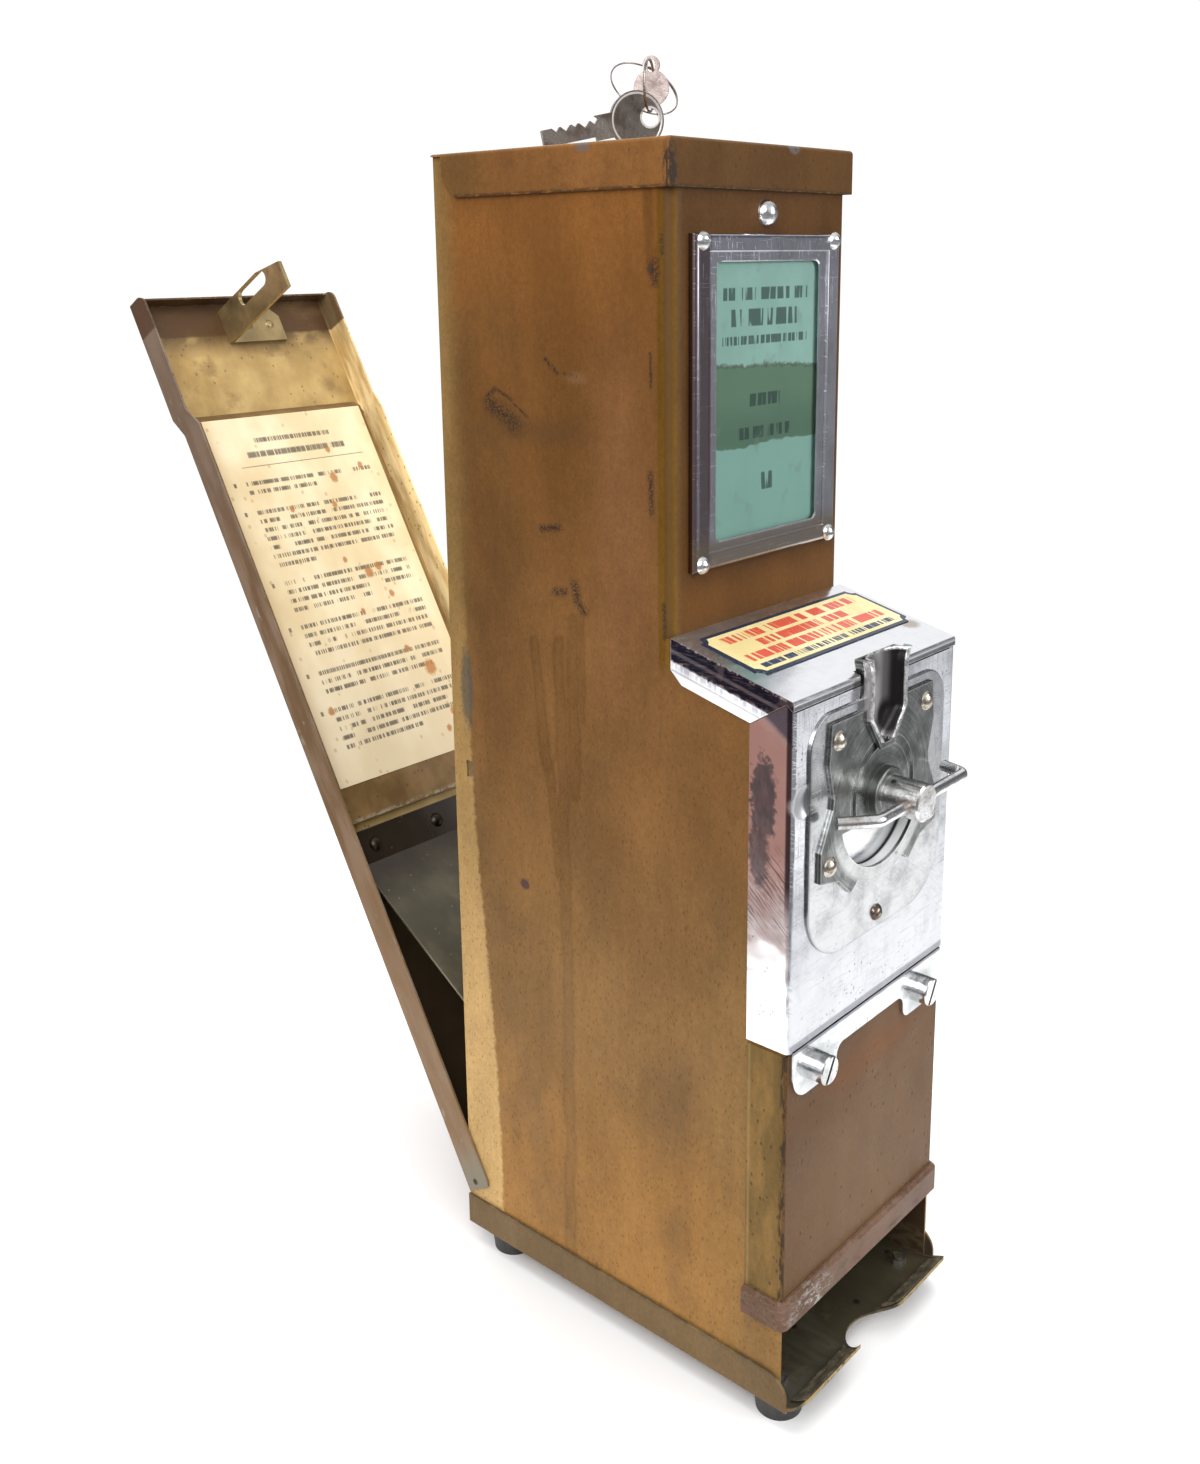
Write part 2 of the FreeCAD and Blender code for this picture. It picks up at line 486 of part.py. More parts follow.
def cut(body, sketch, length=None, midplane=False, reverse=False):
    """A pocket. A Pocket runs against its sketch's normal unless it is reversed."""
    feature = body.newObject("PartDesign::Pocket", body.Label + "_pocket")
    feature.Profile = sketch
    feature.Midplane = midplane
    feature.Reversed = reverse
    if length is None:
        feature.Type = "ThroughAll"
    else:
        bind(feature, "Length", length)
    return feature


def loft(body, sections, subtract=False):
    kind = "PartDesign::SubtractiveLoft" if subtract else "PartDesign::AdditiveLoft"
    feature = body.newObject(kind, body.Label + "_loft")
    feature.Profile = sections[0]
    feature.Sections = sections[1:]
    feature.Ruled = True
    return feature


def edges_of(shape, wanted):
    return [f"Edge{i}" for i, edge in enumerate(shape.Edges, start=1) if wanted(edge)]


def round_edges(body, radius, wanted, kind="Fillet"):
    doc.recompute()
    base = body.Tip
    names = edges_of(base.Shape, wanted)
    if not names:
        raise RuntimeError(f"{body.Label}: no edge to round")
    feature = body.newObject("PartDesign::" + kind, body.Label + "_" + kind.lower())
    feature.Base = (base, names)
    bind(feature, "Radius" if kind == "Fillet" else "Size", radius)
    return feature


def runs_along(edge, axis):
    """True for an edge whose extent lies all along X, Y or Z."""
    ends = edge.Vertexes
    along = abs((ends[-1].Point - ends[0].Point).dot(axis))
    return along > 1e-3 and along > edge.Length - 1e-3


def lies_at(edge, x=None, y=None, z=None, slack=0.02):
    middle = edge.CenterOfMass
    wanted = ((x, middle.x), (y, middle.y), (z, middle.z))
    return all(goal is None or abs(goal - found) < slack for goal, found in wanted)


X_AXIS = Vector(1, 0, 0)
Y_AXIS = Vector(0, 1, 0)
Z_AXIS = Vector(0, 0, 1)


def add_feature(label, shape):
    item = doc.addObject("Part::Feature", label)
    item.Label = label
    item.Shape = shape
    NODES[label] = item
    return item


def rod_shape(radius, start, direction, length):
    return Part.makeCylinder(radius, length, start, direction)


def dome_shape(radius, height, base, direction):
    """A rivet or screw head: the cap of a ball, standing on its base point."""
    ball = (radius ** 2 + height ** 2) / (2 * height)
    centre = base - direction * (ball - height)
    sphere = Part.makeSphere(ball, centre)
    return sphere.common(Part.makeCylinder(radius + 1, height + 1, base, direction))


THROAT_HALF = "(coin_radius + coin_gap + throat_wall)"
HOOD_REAR = "(upper_depth + lap_gap)"
HOOD_SLOPE = "((hood_rear_height - hood_front_height) / (cover_depth - upper_depth - lap_gap))"
HALF = "housing_width / 2"
INSIDE = "housing_width / 2 - sheet"
FORWARD = Vector(0, -1, 0)
half_width = V["housing_width"] / 2


# ---------------------------------------------------------------- housing
def make_housing():
    """Side walls and upper front bent from one sheet, open at the rear and lower front."""
    body = new_body("housing_shell")
    wall_rear = "hood_rear_height - cover_sheet - lap_gap"
    wall_front = f"{wall_rear} - {HOOD_SLOPE} * (lower_depth - upper_depth)"
    inner_front = "upper_depth - sheet"
    plan = [(f"-({HALF})", "0"), (f"-({HALF})", "upper_depth"), (HALF, "upper_depth"), (HALF, "0"),
            (INSIDE, "0"), (INSIDE, inner_front), (f"-({INSIDE})", inner_front), (f"-({INSIDE})", "0")]
    pad(body, plan_outline(body, plan, wall_rear), f"housing_top - ({wall_rear})")
    bends = (("corner_radius - sheet", half_width - V["sheet"], V["upper_depth"] - V["sheet"]),
             ("corner_radius", half_width, V["upper_depth"]))
    for radius, half, depth in bends:
        round_edges(body, radius, lambda e: runs_along(e, Z_AXIS) and lies_at(e, y=-depth)
                    and abs(abs(e.CenterOfMass.x) - half) < 0.02)
    wall = [("0", "pan_sheet"), ("lip_start", "pan_sheet"), ("lower_depth", "pan_sheet + wall_foot_rise"),
            ("lower_depth", wall_front), ("upper_depth", wall_rear), ("0", wall_rear)]
    side_walls(body, wall, HALF, "sheet")
    flat_half = f"({HALF} - corner_radius)"
    web = rectangle(f"-{flat_half}", flat_half, f"{wall_rear} - web_drop", wall_rear)
    pad(body, front_outline(body, web, inner_front), "sheet")
    cut(body, side_outline(body, door_stop_notch()), "housing_width + 10", midplane=True)
    slots = side_outline(body, [
        ("slot_depth_at - slot_width / 2", "slot_height_at - slot_length / 2"),
        ("slot_depth_at + slot_width / 2", "slot_height_at - slot_length / 2"),
        ("slot_depth_at + slot_width / 2", "slot_height_at + slot_length / 2"),
        ("slot_depth_at - slot_width / 2", "slot_height_at + slot_length / 2")])
    cut(body, slots, "housing_width + 10", midplane=True)
    hinge = circles(body, "YZ_Plane", [("-hinge_depth", "hinge_height")], "hinge_radius + pin_gap")
    cut(body, hinge, "housing_width + 10", midplane=True)
    bolt = circles(body, "XZ_Plane", [("0", "cap_bolt_height")], "cap_bolt_shank", "upper_depth + 1")
    cut(body, bolt, "2 * sheet + 2")
    screws = circles(body, "XZ_Plane", window_screw_centres(), "frame_screw_shank", "upper_depth + 1")
    cut(body, screws, "2 * sheet + 2")
    rivets = shelf_rivet_holes(body)
    cut(body, rivets, "housing_width + 10", midplane=True)


def door_stop_notch():
    """Notch in the walls' rear edges that the open door's lower edge rests in."""
    sine, cosine = "sin(door_angle)", "cos(door_angle)"
    reach, fall = "(hinge_depth + door_gap)", "(hinge_height - door_bottom)"
    edge_depth = f"hinge_depth - {reach} * {cosine} + {fall} * {sine}"
    edge_height = f"hinge_height - {reach} * {sine} - {fall} * {cosine}"
    front = f"{edge_depth} + slide_gap * {cosine}"
    shoulder = f"{edge_height} + slide_gap * {sine}"
    rise = f"{shoulder} + ({front} + 10) * {cosine} / {sine}"
    foot = f"{edge_height} - slide_gap - door_sheet * {sine} - slide_gap"
    return [(front, foot), (front, shoulder), ("-10", rise), ("-10", foot)]


def shelf_rivet_holes(body):
    """Holes for the rivets that hold the cash box shelf between the side walls."""
    height = "box_bottom - shelf_sheet - shelf_side / 2"
    centres = [("-(box_rear + shelf_rivet_rear)", height), ("-(box_front - shelf_rivet_front)", height)]
    return circles(body, "YZ_Plane", centres, "rivet_shank")


def window_screw_centres():
    side = "frame_width / 2 - frame_screw_side"
    return [(sign + f"({side})", height) for sign in ("-", "")
            for height in ("frame_top - frame_screw_inset", "frame_bottom + frame_screw_inset")]


def make_front_panel():
    """U-shaped panel over the lower front, its legs lapped outside the side walls."""
    body = new_body("front_panel")
    outer = f"{HALF} + panel_sheet"
    front = "lower_depth + panel_sheet"
    rear = "lower_depth - panel_leg"
    plan = [(f"-({outer})", rear), (f"-({outer})", front), (outer, front), (outer, rear),
            (HALF, rear), (HALF, "lower_depth"), (f"-({HALF})", "lower_depth"), (f"-({HALF})", rear)]
    pad(body, plan_outline(body, plan, "panel_bottom"), "panel_top - panel_bottom")
    outer_half = half_width + V["panel_sheet"]
    front_y = -(V["lower_depth"] + V["panel_sheet"])
    round_edges(body, "panel_bend", lambda e: runs_along(e, Z_AXIS) and lies_at(e, y=front_y)
                and abs(abs(e.CenterOfMass.x) - outer_half) < 0.02)
    holes = circles(body, "XZ_Plane", [("-fixing_reach", "fixing_height"), ("fixing_reach", "fixing_height")],
                    "fixing_shank + 0.2", "lower_depth + 5")
    cut(body, holes, "10")


def make_cap():
    """Pressed cap: flat top, skirts at the front and sides, open at the rear."""
    body = new_body("top_cap")
    outer = f"{HALF} + cap_overhang"
    front = "upper_depth + cap_overhang"
    bottom = "housing_top + cap_sheet - cap_skirt"
    plan = rectangle(f"-({outer})", outer, "0", front)
    pad(body, plan_outline(body, plan, bottom), "cap_skirt")
    front_y = -(V["upper_depth"] + V["cap_overhang"])
    outer_half = half_width + V["cap_overhang"]
    top = V["housing_top"] + V["cap_sheet"]

    def outer_bend(edge):
        upright = runs_along(edge, Z_AXIS) and lies_at(edge, y=front_y)
        across = runs_along(edge, X_AXIS) and lies_at(edge, y=front_y, z=top)
        middle = edge.BoundBox.Center
        on_side = abs(abs(middle.x) - outer_half) < 0.02
        along = runs_along(edge, Y_AXIS) and on_side and abs(middle.z - top) < 0.02
        return upright or across or along

    round_edges(body, "cap_bend", outer_bend)
    inner = f"({outer}) - cap_sheet"
    hollow = rectangle(f"-({inner})", inner, "-5", f"{front} - cap_sheet")
    cut(body, plan_outline(body, hollow, "housing_top"), "cap_skirt + 5")
    setback = side_outline(body, [("-5", f"{bottom} - 1"), ("cap_setback + cap_round", f"{bottom} - 1"),
                                  ("cap_setback + cap_round", bottom), ("cap_setback", f"{bottom} + cap_round"),
                                  ("cap_setback", "housing_top"), ("-5", "housing_top")])
    cut(body, setback, "housing_width + 10", midplane=True)
    lock_hole = circles(body, "XY_Plane", [("lock_at", "-lock_depth")], "lock_radius + 0.2",
                        "housing_top + 5")
    cut(body, lock_hole, "10")


def make_base_pan():
    """Base pan with turned-up sides and a curled delivery lip: the side view met by the plan."""
    edge = "housing_width / 2 + pan_overhang"
    body = doc.addObject("PartDesign::Body", "pan_section")
    floor = [("0", "0"), ("lip_start", "0"), ("lip_start", "pan_sheet"), ("0", "pan_sheet")]
    pad(body, side_outline(body, floor), f"2 * ({edge})", midplane=True)
    lip = front_outline(body, rectangle(f"-({edge})", edge, "0", "pan_sheet"), "lip_start")
    curl_line = lip.addGeometry(Part.LineSegment(Vector(-5, 20, 0), Vector(5, 20, 0)), True)
    pin_point(lip, curl_line, 1, "-5", "pan_sheet + lip_radius", Vector(-5, 20, 0))
    pin_point(lip, curl_line, 2, "5", "pan_sheet + lip_radius", Vector(5, 20, 0))
    curl = body.newObject("PartDesign::Revolution", "pan_lip")
    curl.Profile = lip
    curl.ReferenceAxis = (lip, ["Axis0"])
    curl.Reversed = True
    bind(curl, "Angle", "asin(lip_reach / lip_radius)")
    side_walls(body, rectangle("0", "pan_front", "0", "pan_skirt"), edge, "pan_sheet")
    ear_y, ear_z = -V["pan_front"], V["pan_skirt"]
    round_edges(body, "pan_ear", lambda e: runs_along(e, X_AXIS) and lies_at(e, y=ear_y, z=ear_z))
    upstand = rectangle("0", "pan_sheet", "pan_sheet", "pan_rear_height")
    pad(body, side_outline(body, upstand), f"2 * ({INSIDE} - lap_gap)", midplane=True)
    screw_holes = circles(body, "XY_Plane", foot_centres(), "foot_screw", "10")
    cut(body, screw_holes, "20")

    plan = doc.addObject("PartDesign::Body", "pan_plan")
    nose = "lip_start + lip_reach"
    shape = [(f"-({edge})", "-1"), (f"-({edge})", nose), (edge, nose), (edge, "-1")]
    pad(plan, plan_outline(plan, shape, "-1"), "40")
    nose_y = -(V["lip_start"] + V["lip_reach"])
    round_edges(plan, "lip_corner", lambda e: runs_along(e, Z_AXIS) and lies_at(e, y=nose_y))
    notch_centre = ("0", f"-({nose} + notch_radius - notch_inset)")
    notch = circles(plan, "XY_Plane", [notch_centre], "notch_radius", "50")
    cut(plan, notch, "60")

    pan = doc.addObject("Part::MultiCommon", "base_pan")
    pan.Label = "base_pan"
    pan.Shapes = [body, plan]
    NODES["base_pan"] = pan


def foot_centres():
    across = f"{HALF} - foot_inset"
    return [(sign + f"({across})", f"-({depth})")
            for sign in ("-", "") for depth in ("foot_rear", "foot_front")]


def make_band():
    """Bevelled band round the bottom of the front panel, above the delivery opening."""
    body = new_body("delivery_band")
    inner = f"{HALF} + panel_sheet"
    outer = f"{inner} + band_thickness"
    face = "lower_depth + panel_sheet"
    front = f"{face} + band_thickness"
    rear = "lower_depth - panel_leg"
    plan = [(f"-({outer})", rear), (f"-({outer})", front), (outer, front), (outer, rear),
            (inner, rear), (inner, face), (f"-({inner})", face), (f"-({inner})", rear)]
    pad(body, plan_outline(body, plan, "band_bottom"), "band_height")
    front_y = -(V["lower_depth"] + V["panel_sheet"] + V["band_thickness"])
    outer_half = half_width + V["panel_sheet"] + V["band_thickness"]
    round_edges(body, "band_thickness + panel_bend", lambda e: runs_along(e, Z_AXIS) and lies_at(e, y=front_y)
                and abs(abs(e.CenterOfMass.x) - outer_half) < 0.02)
    heights = (V["band_bottom"], V["band_bottom"] + V["band_height"])
    round_edges(body, "band_bevel", lambda e: runs_along(e, X_AXIS) and lies_at(e, x=0, y=front_y)
                and min(abs(e.BoundBox.Center.z - h) for h in heights) < 0.02, kind="Chamfer")


def make_ramp():
    """Sloping floor that carries a folder from the rear to the tray, with turned-down sides."""
    body = new_body("delivery_ramp")
    width = f"2 * ({INSIDE} - lap_gap)"
    top = [("ramp_rear", "ramp_height"), ("ramp_front", "pan_sheet + ramp_sheet"),
           ("ramp_front", "pan_sheet"), ("ramp_rear", "ramp_height - ramp_sheet")]
    pad(body, side_outline(body, top), width, midplane=True)
    side = [("ramp_rear", "ramp_height"), ("ramp_front", "pan_sheet + ramp_sheet"),
            ("ramp_front", "pan_sheet"), ("ramp_front - 12", "pan_sheet"),
            ("ramp_rear", "ramp_height - ramp_side")]
    side_walls(body, side, f"{INSIDE} - lap_gap", "ramp_sheet")


def make_shelf():
    """Shelf for the cash box, riveted between the side walls by its turned-down sides."""
    body = new_body("cash_box_shelf")
    width = f"2 * ({INSIDE})"
    rear = "box_rear - shelf_over"
    top = rectangle(rear, "lower_depth - door_gap", "box_bottom - shelf_sheet", "box_bottom")
    pad(body, side_outline(body, top), width, midplane=True)
    side = rectangle(rear, "box_front - shelf_short", "box_bottom - shelf_side", "box_bottom")
    side_walls(body, side, INSIDE, "shelf_sheet")
    cut(body, shelf_rivet_holes(body), "housing_width + 10", midplane=True)
    rivets = []
    height = V["box_bottom"] - V["shelf_sheet"] - V["shelf_side"] / 2
    for sign in (-1, 1):
        for depth in (V["box_rear"] + V["shelf_rivet_rear"], V["box_front"] - V["shelf_rivet_front"]):
            inner = Vector(sign * (half_width - V["sheet"] - V["shelf_sheet"]), -depth, height)
            outward = Vector(sign, 0, 0)
            shank = rod_shape(V["rivet_shank"], inner, outward, V["sheet"] + V["shelf_sheet"])
            thick = V["shelf_rivet_tail"]
            tail = rod_shape(V["rivet_shank"] * 1.6, inner - outward * thick, outward, thick)
            rivets.append(shank.fuse(tail).removeSplitter())
    add_feature("shelf_rivets", Part.makeCompound(rivets))


# ---------------------------------------------------------------- chromed cover
def make_cover():
    """Chromed cover round the mechanism, mitred to the hood at its top."""
    body = new_body("mechanism_cover")
    outer = f"{HALF} + cover_sheet"
    plan = rectangle(f"-({outer})", outer, "cover_depth - cover_leg", "cover_depth")
    pad(body, plan_outline(body, plan, "cover_bottom"), "hood_rear_height - cover_bottom")
    front_y = -V["cover_depth"]
    round_edges(body, "cover_bend", lambda e: runs_along(e, Z_AXIS) and lies_at(e, y=front_y))
    hollow = rectangle(f"-({HALF})", HALF, "0", "cover_depth - cover_sheet")
    cut(body, plan_outline(body, hollow, "hood_rear_height + 5"),
        "hood_rear_height + 5 - cover_bottom - cover_sheet")
    floor_cut = rectangle(f"-({HALF})", HALF, "0", "lower_depth + lap_gap")
    cut(body, plan_outline(body, floor_cut, "cover_bottom + 5"), "10")
    lip_foot = "hood_front_height - hood_lip"
    crown = [("0", mitre_foot("-0.3")), ("mitre_depth", mitre_foot("-0.3")),
             ("cover_depth - 3.2", f"{lip_foot} + 1.6"),
             ("cover_depth - cover_sheet - 0.2", f"{lip_foot} - 0.5"),
             ("cover_depth + 5", f"{lip_foot} - 0.5"),
             ("cover_depth + 5", "hood_rear_height + 5"), ("0", "hood_rear_height + 5")]
    cut(body, side_outline(body, crown), "housing_width + 10", midplane=True)
    window = circles(body, "XZ_Plane", [("0", "shaft_height")], "window_radius + 1.5", "cover_depth + 5")
    cut(body, window, "10")
    throat = front_outline(body, rectangle(f"-({THROAT_HALF} + 0.1)", f"{THROAT_HALF} + 0.1", "shaft_height",
                                           "hood_rear_height"), "cover_depth + 5")
    cut(body, throat, "10")
    cut(body, circles(body, "XZ_Plane", head_rivet_centres(), "rivet_shank", "cover_depth + 5"), "10")
    foot = circles(body, "XZ_Plane", [("0", "rivet_foot_height")], "rivet_shank", "cover_depth + 5")
    cut(body, foot, "10")
    press_dimple(body)


def press_dimple(body):
    """Round dimple pressed into the cover's face beside the coin plate."""
    centre = [("-dimple_reach", "shaft_height + dimple_rise")]
    boss = circles(body, "XZ_Plane", centre, "dimple_boss", "cover_depth - cover_sheet")
    pad(body, boss, "dimple_sink - cover_sheet * 0.2", reverse=True)
    ball = "((dimple_radius ^ 2 + dimple_sink ^ 2) / (2 * dimple_sink))"
    hollow = body.newObject("PartDesign::SubtractiveSphere", "dimple")
    bind(hollow, "Radius", ball)
    bind(hollow, "Placement.Base.x", "-dimple_reach")
    bind(hollow, "Placement.Base.y", f"-(cover_depth - dimple_sink + {ball})")
    bind(hollow, "Placement.Base.z", "shaft_height + dimple_rise")


def mitre_foot(extra="0"):
    return f"hood_rear_height - {HOOD_SLOPE} * (mitre_depth - {HOOD_REAR}) - hood_skirt + {extra}"


def head_rivet_centres():
    return [("-rivet_top_reach", "rivet_top_height"), ("rivet_top_reach", "rivet_top_height"),
            ("-rivet_low_reach", "rivet_low_height"), ("rivet_low_reach", "rivet_low_height")]


def make_hood():
    """Sloping hood with side skirts and a turned-down front edge, notched for the coin throat."""
    body = new_body("hood")
    outer = f"{HALF} + cover_sheet"
    rear = HOOD_REAR
    corner = "hood_corner"
    rear_foot = f"hood_rear_height - {HOOD_SLOPE} * {corner} - hood_skirt"
    profile = [(rear, "hood_rear_height"), ("cover_depth", "hood_front_height"),
               ("cover_depth", "hood_front_height - hood_lip"),
               ("cover_depth - cover_sheet", "hood_front_height - hood_lip"),
               ("cover_depth - 3.2", "hood_front_height - hood_lip + 2"),
               ("mitre_depth", mitre_foot()), (f"{rear} + {corner}", rear_foot),
               (rear, f"{rear_foot} + {corner}")]
    pad(body, side_outline(body, profile), f"2 * ({outer})", midplane=True)
    top = V["hood_front_height"]
    front_y = -V["cover_depth"]
    round_edges(body, "cover_sheet + 0.7", lambda e: runs_along(e, X_AXIS) and lies_at(e, y=front_y, z=top))
    front = "cover_depth - cover_sheet"
    inner = [("0", "0"), (front, "0"),
             (front, f"hood_front_height - cover_sheet + {HOOD_SLOPE} * cover_sheet"),
             (rear, "hood_rear_height - cover_sheet"), ("0", "hood_rear_height - cover_sheet")]
    cut(body, side_outline(body, inner), "housing_width", midplane=True)
    notch_half = f"({THROAT_HALF} + throat_flare + throat_room)"
    notch = rectangle(f"-{notch_half}", notch_half, "throat_rear - 0.3", "cover_depth + 5")
    cut(body, plan_outline(body, notch, "hood_rear_height"),
        "hood_rear_height - hood_front_height + hood_skirt")


def hood_frame():
    """Placement of the hood's top face: X to the right, Y up the slope, Z out of it."""
    rise = V["hood_rear_height"] - V["hood_front_height"]
    rear = V["upper_depth"] + V["lap_gap"]
    tilt = math.degrees(math.atan2(rise, V["cover_depth"] - rear))
    return Placement(Vector(0, -rear, V["hood_rear_height"]), Rotation(X_AXIS, tilt))


def make_decal():
    """Thin printed plate with notched corners on the hood."""
    half = V["decal_width"] / 2
    notch = V["decal_corner"]
    top = -V["decal_start"]
    bottom = top - V["decal_length"]
    corners = []
    for x, y, sx, sy in ((-half, top, 1, -1), (half, top, -1, -1),
                         (half, bottom, -1, 1), (-half, bottom, 1, 1)):
        first = Vector(x, y + sy * notch, 0)
        middle = Vector(x + sx * notch * 0.75, y + sy * notch * 0.75, 0)
        last = Vector(x + sx * notch, y, 0)
        corners.append((first, middle, last) if sx * sy < 0 else (last, middle, first))
    edges = []
    for index, (first, middle, last) in enumerate(corners):
        following = corners[(index + 1) % 4][0]
        edges.append(Part.Arc(first, middle, last).toShape())
        edges.append(Part.makeLine(last, following))
    face = Part.Face(Part.Wire(edges))
    plate = face.extrude(Vector(0, 0, V["decal_sheet"]))
    shift = Placement(Vector(1.8, 0, 0), Rotation())
    plate.Placement = hood_frame().multiply(shift)
    add_feature("instruction_plate", plate)


def make_strap():
    """Strap under the cover with an ear at each end for the fixing screws."""
    body = new_body("fixing_strap")
    top = "cover_bottom - 0.1"
    outline_points = [("-ear_outer", top), ("ear_outer", top), ("ear_outer", "ear_bottom"),
                      ("ear_inner", "ear_bottom"), ("ear_inner", "strap_bottom"),
                      ("-ear_inner", "strap_bottom"), ("-ear_inner", "ear_bottom"),
                      ("-ear_outer", "ear_bottom")]
    face = "lower_depth + panel_sheet"
    pad(body, front_outline(body, outline_points, face), "strap_sheet")
    low, outer, inner = V["ear_bottom"], V["ear_outer"], V["ear_inner"]
    for side in (-1, 1):
        round_edges(body, "ear_round", lambda e: runs_along(e, Y_AXIS) and lies_at(e, x=side * outer, z=low))
        round_edges(body, "ear_inner_round",
                    lambda e: runs_along(e, Y_AXIS) and lies_at(e, x=side * inner, z=low))
    crook = V["strap_bottom"]
    round_edges(body, "ear_inner_round", lambda e: runs_along(e, Y_AXIS) and lies_at(e, z=crook))
    holes = circles(body, "XZ_Plane", [("-fixing_reach", "fixing_height"), ("fixing_reach", "fixing_height")],
                    "fixing_shank + 0.1", "lower_depth + 10")
    cut(body, holes, "20")


def make_fixing_screws():
    """Two large cheese-head screws that hold the mechanism."""
    face = V["lower_depth"] + V["panel_sheet"] + V["strap_sheet"]
    tail = V["mech_front"] - V["mech_sheet"] - 2.5
    screws = []
    for sign in (-1, 1):
        seat = Vector(sign * V["fixing_reach"], -face, V["fixing_height"])
        head = rod_shape(V["fixing_head"], seat, FORWARD, V["fixing_head_length"])
        rim = [e for e in head.Edges if abs(e.BoundBox.Center.y - (seat.y - V["fixing_head_length"])) < 0.01
               and e.Curve.TypeId == "Part::GeomCircle"]
        head = head.makeChamfer(0.5, rim)
        shank = rod_shape(V["fixing_shank"], Vector(seat.x, -tail, seat.z), FORWARD, face - tail)
        slot = Part.makeBox(4 * V["fixing_head"], 2.2, V["fixing_slot"])
        slot.translate(Vector(-2 * V["fixing_head"], 0, -V["fixing_slot"] / 2))
        slot.rotate(Vector(0, 0, 0), Y_AXIS, -60)
        slot.translate(seat + FORWARD * V["fixing_head_length"])
        screws.append(head.fuse(shank).cut(slot).removeSplitter())
    add_feature("fixing_screws", Part.makeCompound(screws))


# ---------------------------------------------------------------- coin plate and head
def make_coin_plate():
    body = new_body("coin_plate")
    half = "plate_width / 2"
    pad(body, front_outline(body, rectangle(f"-({half})", half, "plate_bottom", "plate_top"), "cover_depth"),
        "plate_sheet")
    top, bottom = V["plate_top"], V["plate_bottom"]
    round_edges(body, "plate_top_round", lambda e: runs_along(e, Y_AXIS) and lies_at(e, z=top))
    round_edges(body, "plate_bottom_round", lambda e: runs_along(e, Y_AXIS) and lies_at(e, z=bottom))
    window = circles(body, "XZ_Plane", [("0", "shaft_height")], "window_radius + 0.5", "cover_depth + 5")
    cut(body, window, "10")
    throat = front_outline(body, rectangle(f"-({THROAT_HALF} + 0.1)", f"{THROAT_HALF} + 0.1", "shaft_height",
                                           "plate_top + 5"), "cover_depth + 5")
    cut(body, throat, "10")
    cut(body, circles(body, "XZ_Plane", head_rivet_centres(), "rivet_shank", "cover_depth + 5"), "10")
    foot = circles(body, "XZ_Plane", [("0", "rivet_foot_height")], "rivet_shank", "cover_depth + 5")
    cut(body, foot, "10")
    doc.recompute()
    face_y = -(V["cover_depth"] + V["plate_sheet"])

    def rim(edge):
        box = edge.BoundBox
        flat = abs(box.YMin - face_y) < 0.02 and abs(box.YMax - face_y) < 0.02
        outer = max(abs(box.Center.x), 0) > V["plate_width"] / 2 - 12 or box.Center.z < V["plate_bottom"] + 8
        return flat and outer and box.DiagonalLength > 8

    round_edges(body, "plate_sheet * 0.5", rim)


def segment_outline(body, depth):
    """The window below the shaft: a circle cut off by a level chord."""
    sketch = new_sketch(body, "XZ_Plane", depth)
    radius, chord = V["window_radius"], V["window_chord"]
    half = math.sqrt(radius ** 2 - chord ** 2)
    start = math.atan2(-chord, -half) + 2 * math.pi
    end = math.atan2(-chord, half) + 2 * math.pi
    middle = Vector(0, V["shaft_height"], 0)
    arc = sketch.addGeometry(Part.ArcOfCircle(Part.Circle(middle, Z_AXIS, radius), start, end), False)
    left = middle + Vector(-half, -chord, 0)
    right = middle + Vector(half, -chord, 0)
    line = sketch.addGeometry(Part.LineSegment(right, left), False)
    sketch.addConstraint(Sketcher.Constraint("Coincident", arc, 2, line, 1))
    sketch.addConstraint(Sketcher.Constraint("Coincident", arc, 1, line, 2))
    pin_point(sketch, arc, 3, "0", "shaft_height", middle)
    bound_constraint(sketch, "window_radius", "Radius", arc, radius)
    sketch.addConstraint(Sketcher.Constraint("Horizontal", line))
    bound_constraint(sketch, "shaft_height - window_chord", "DistanceY", -1, 1, line, 1, right.y)
    return sketch


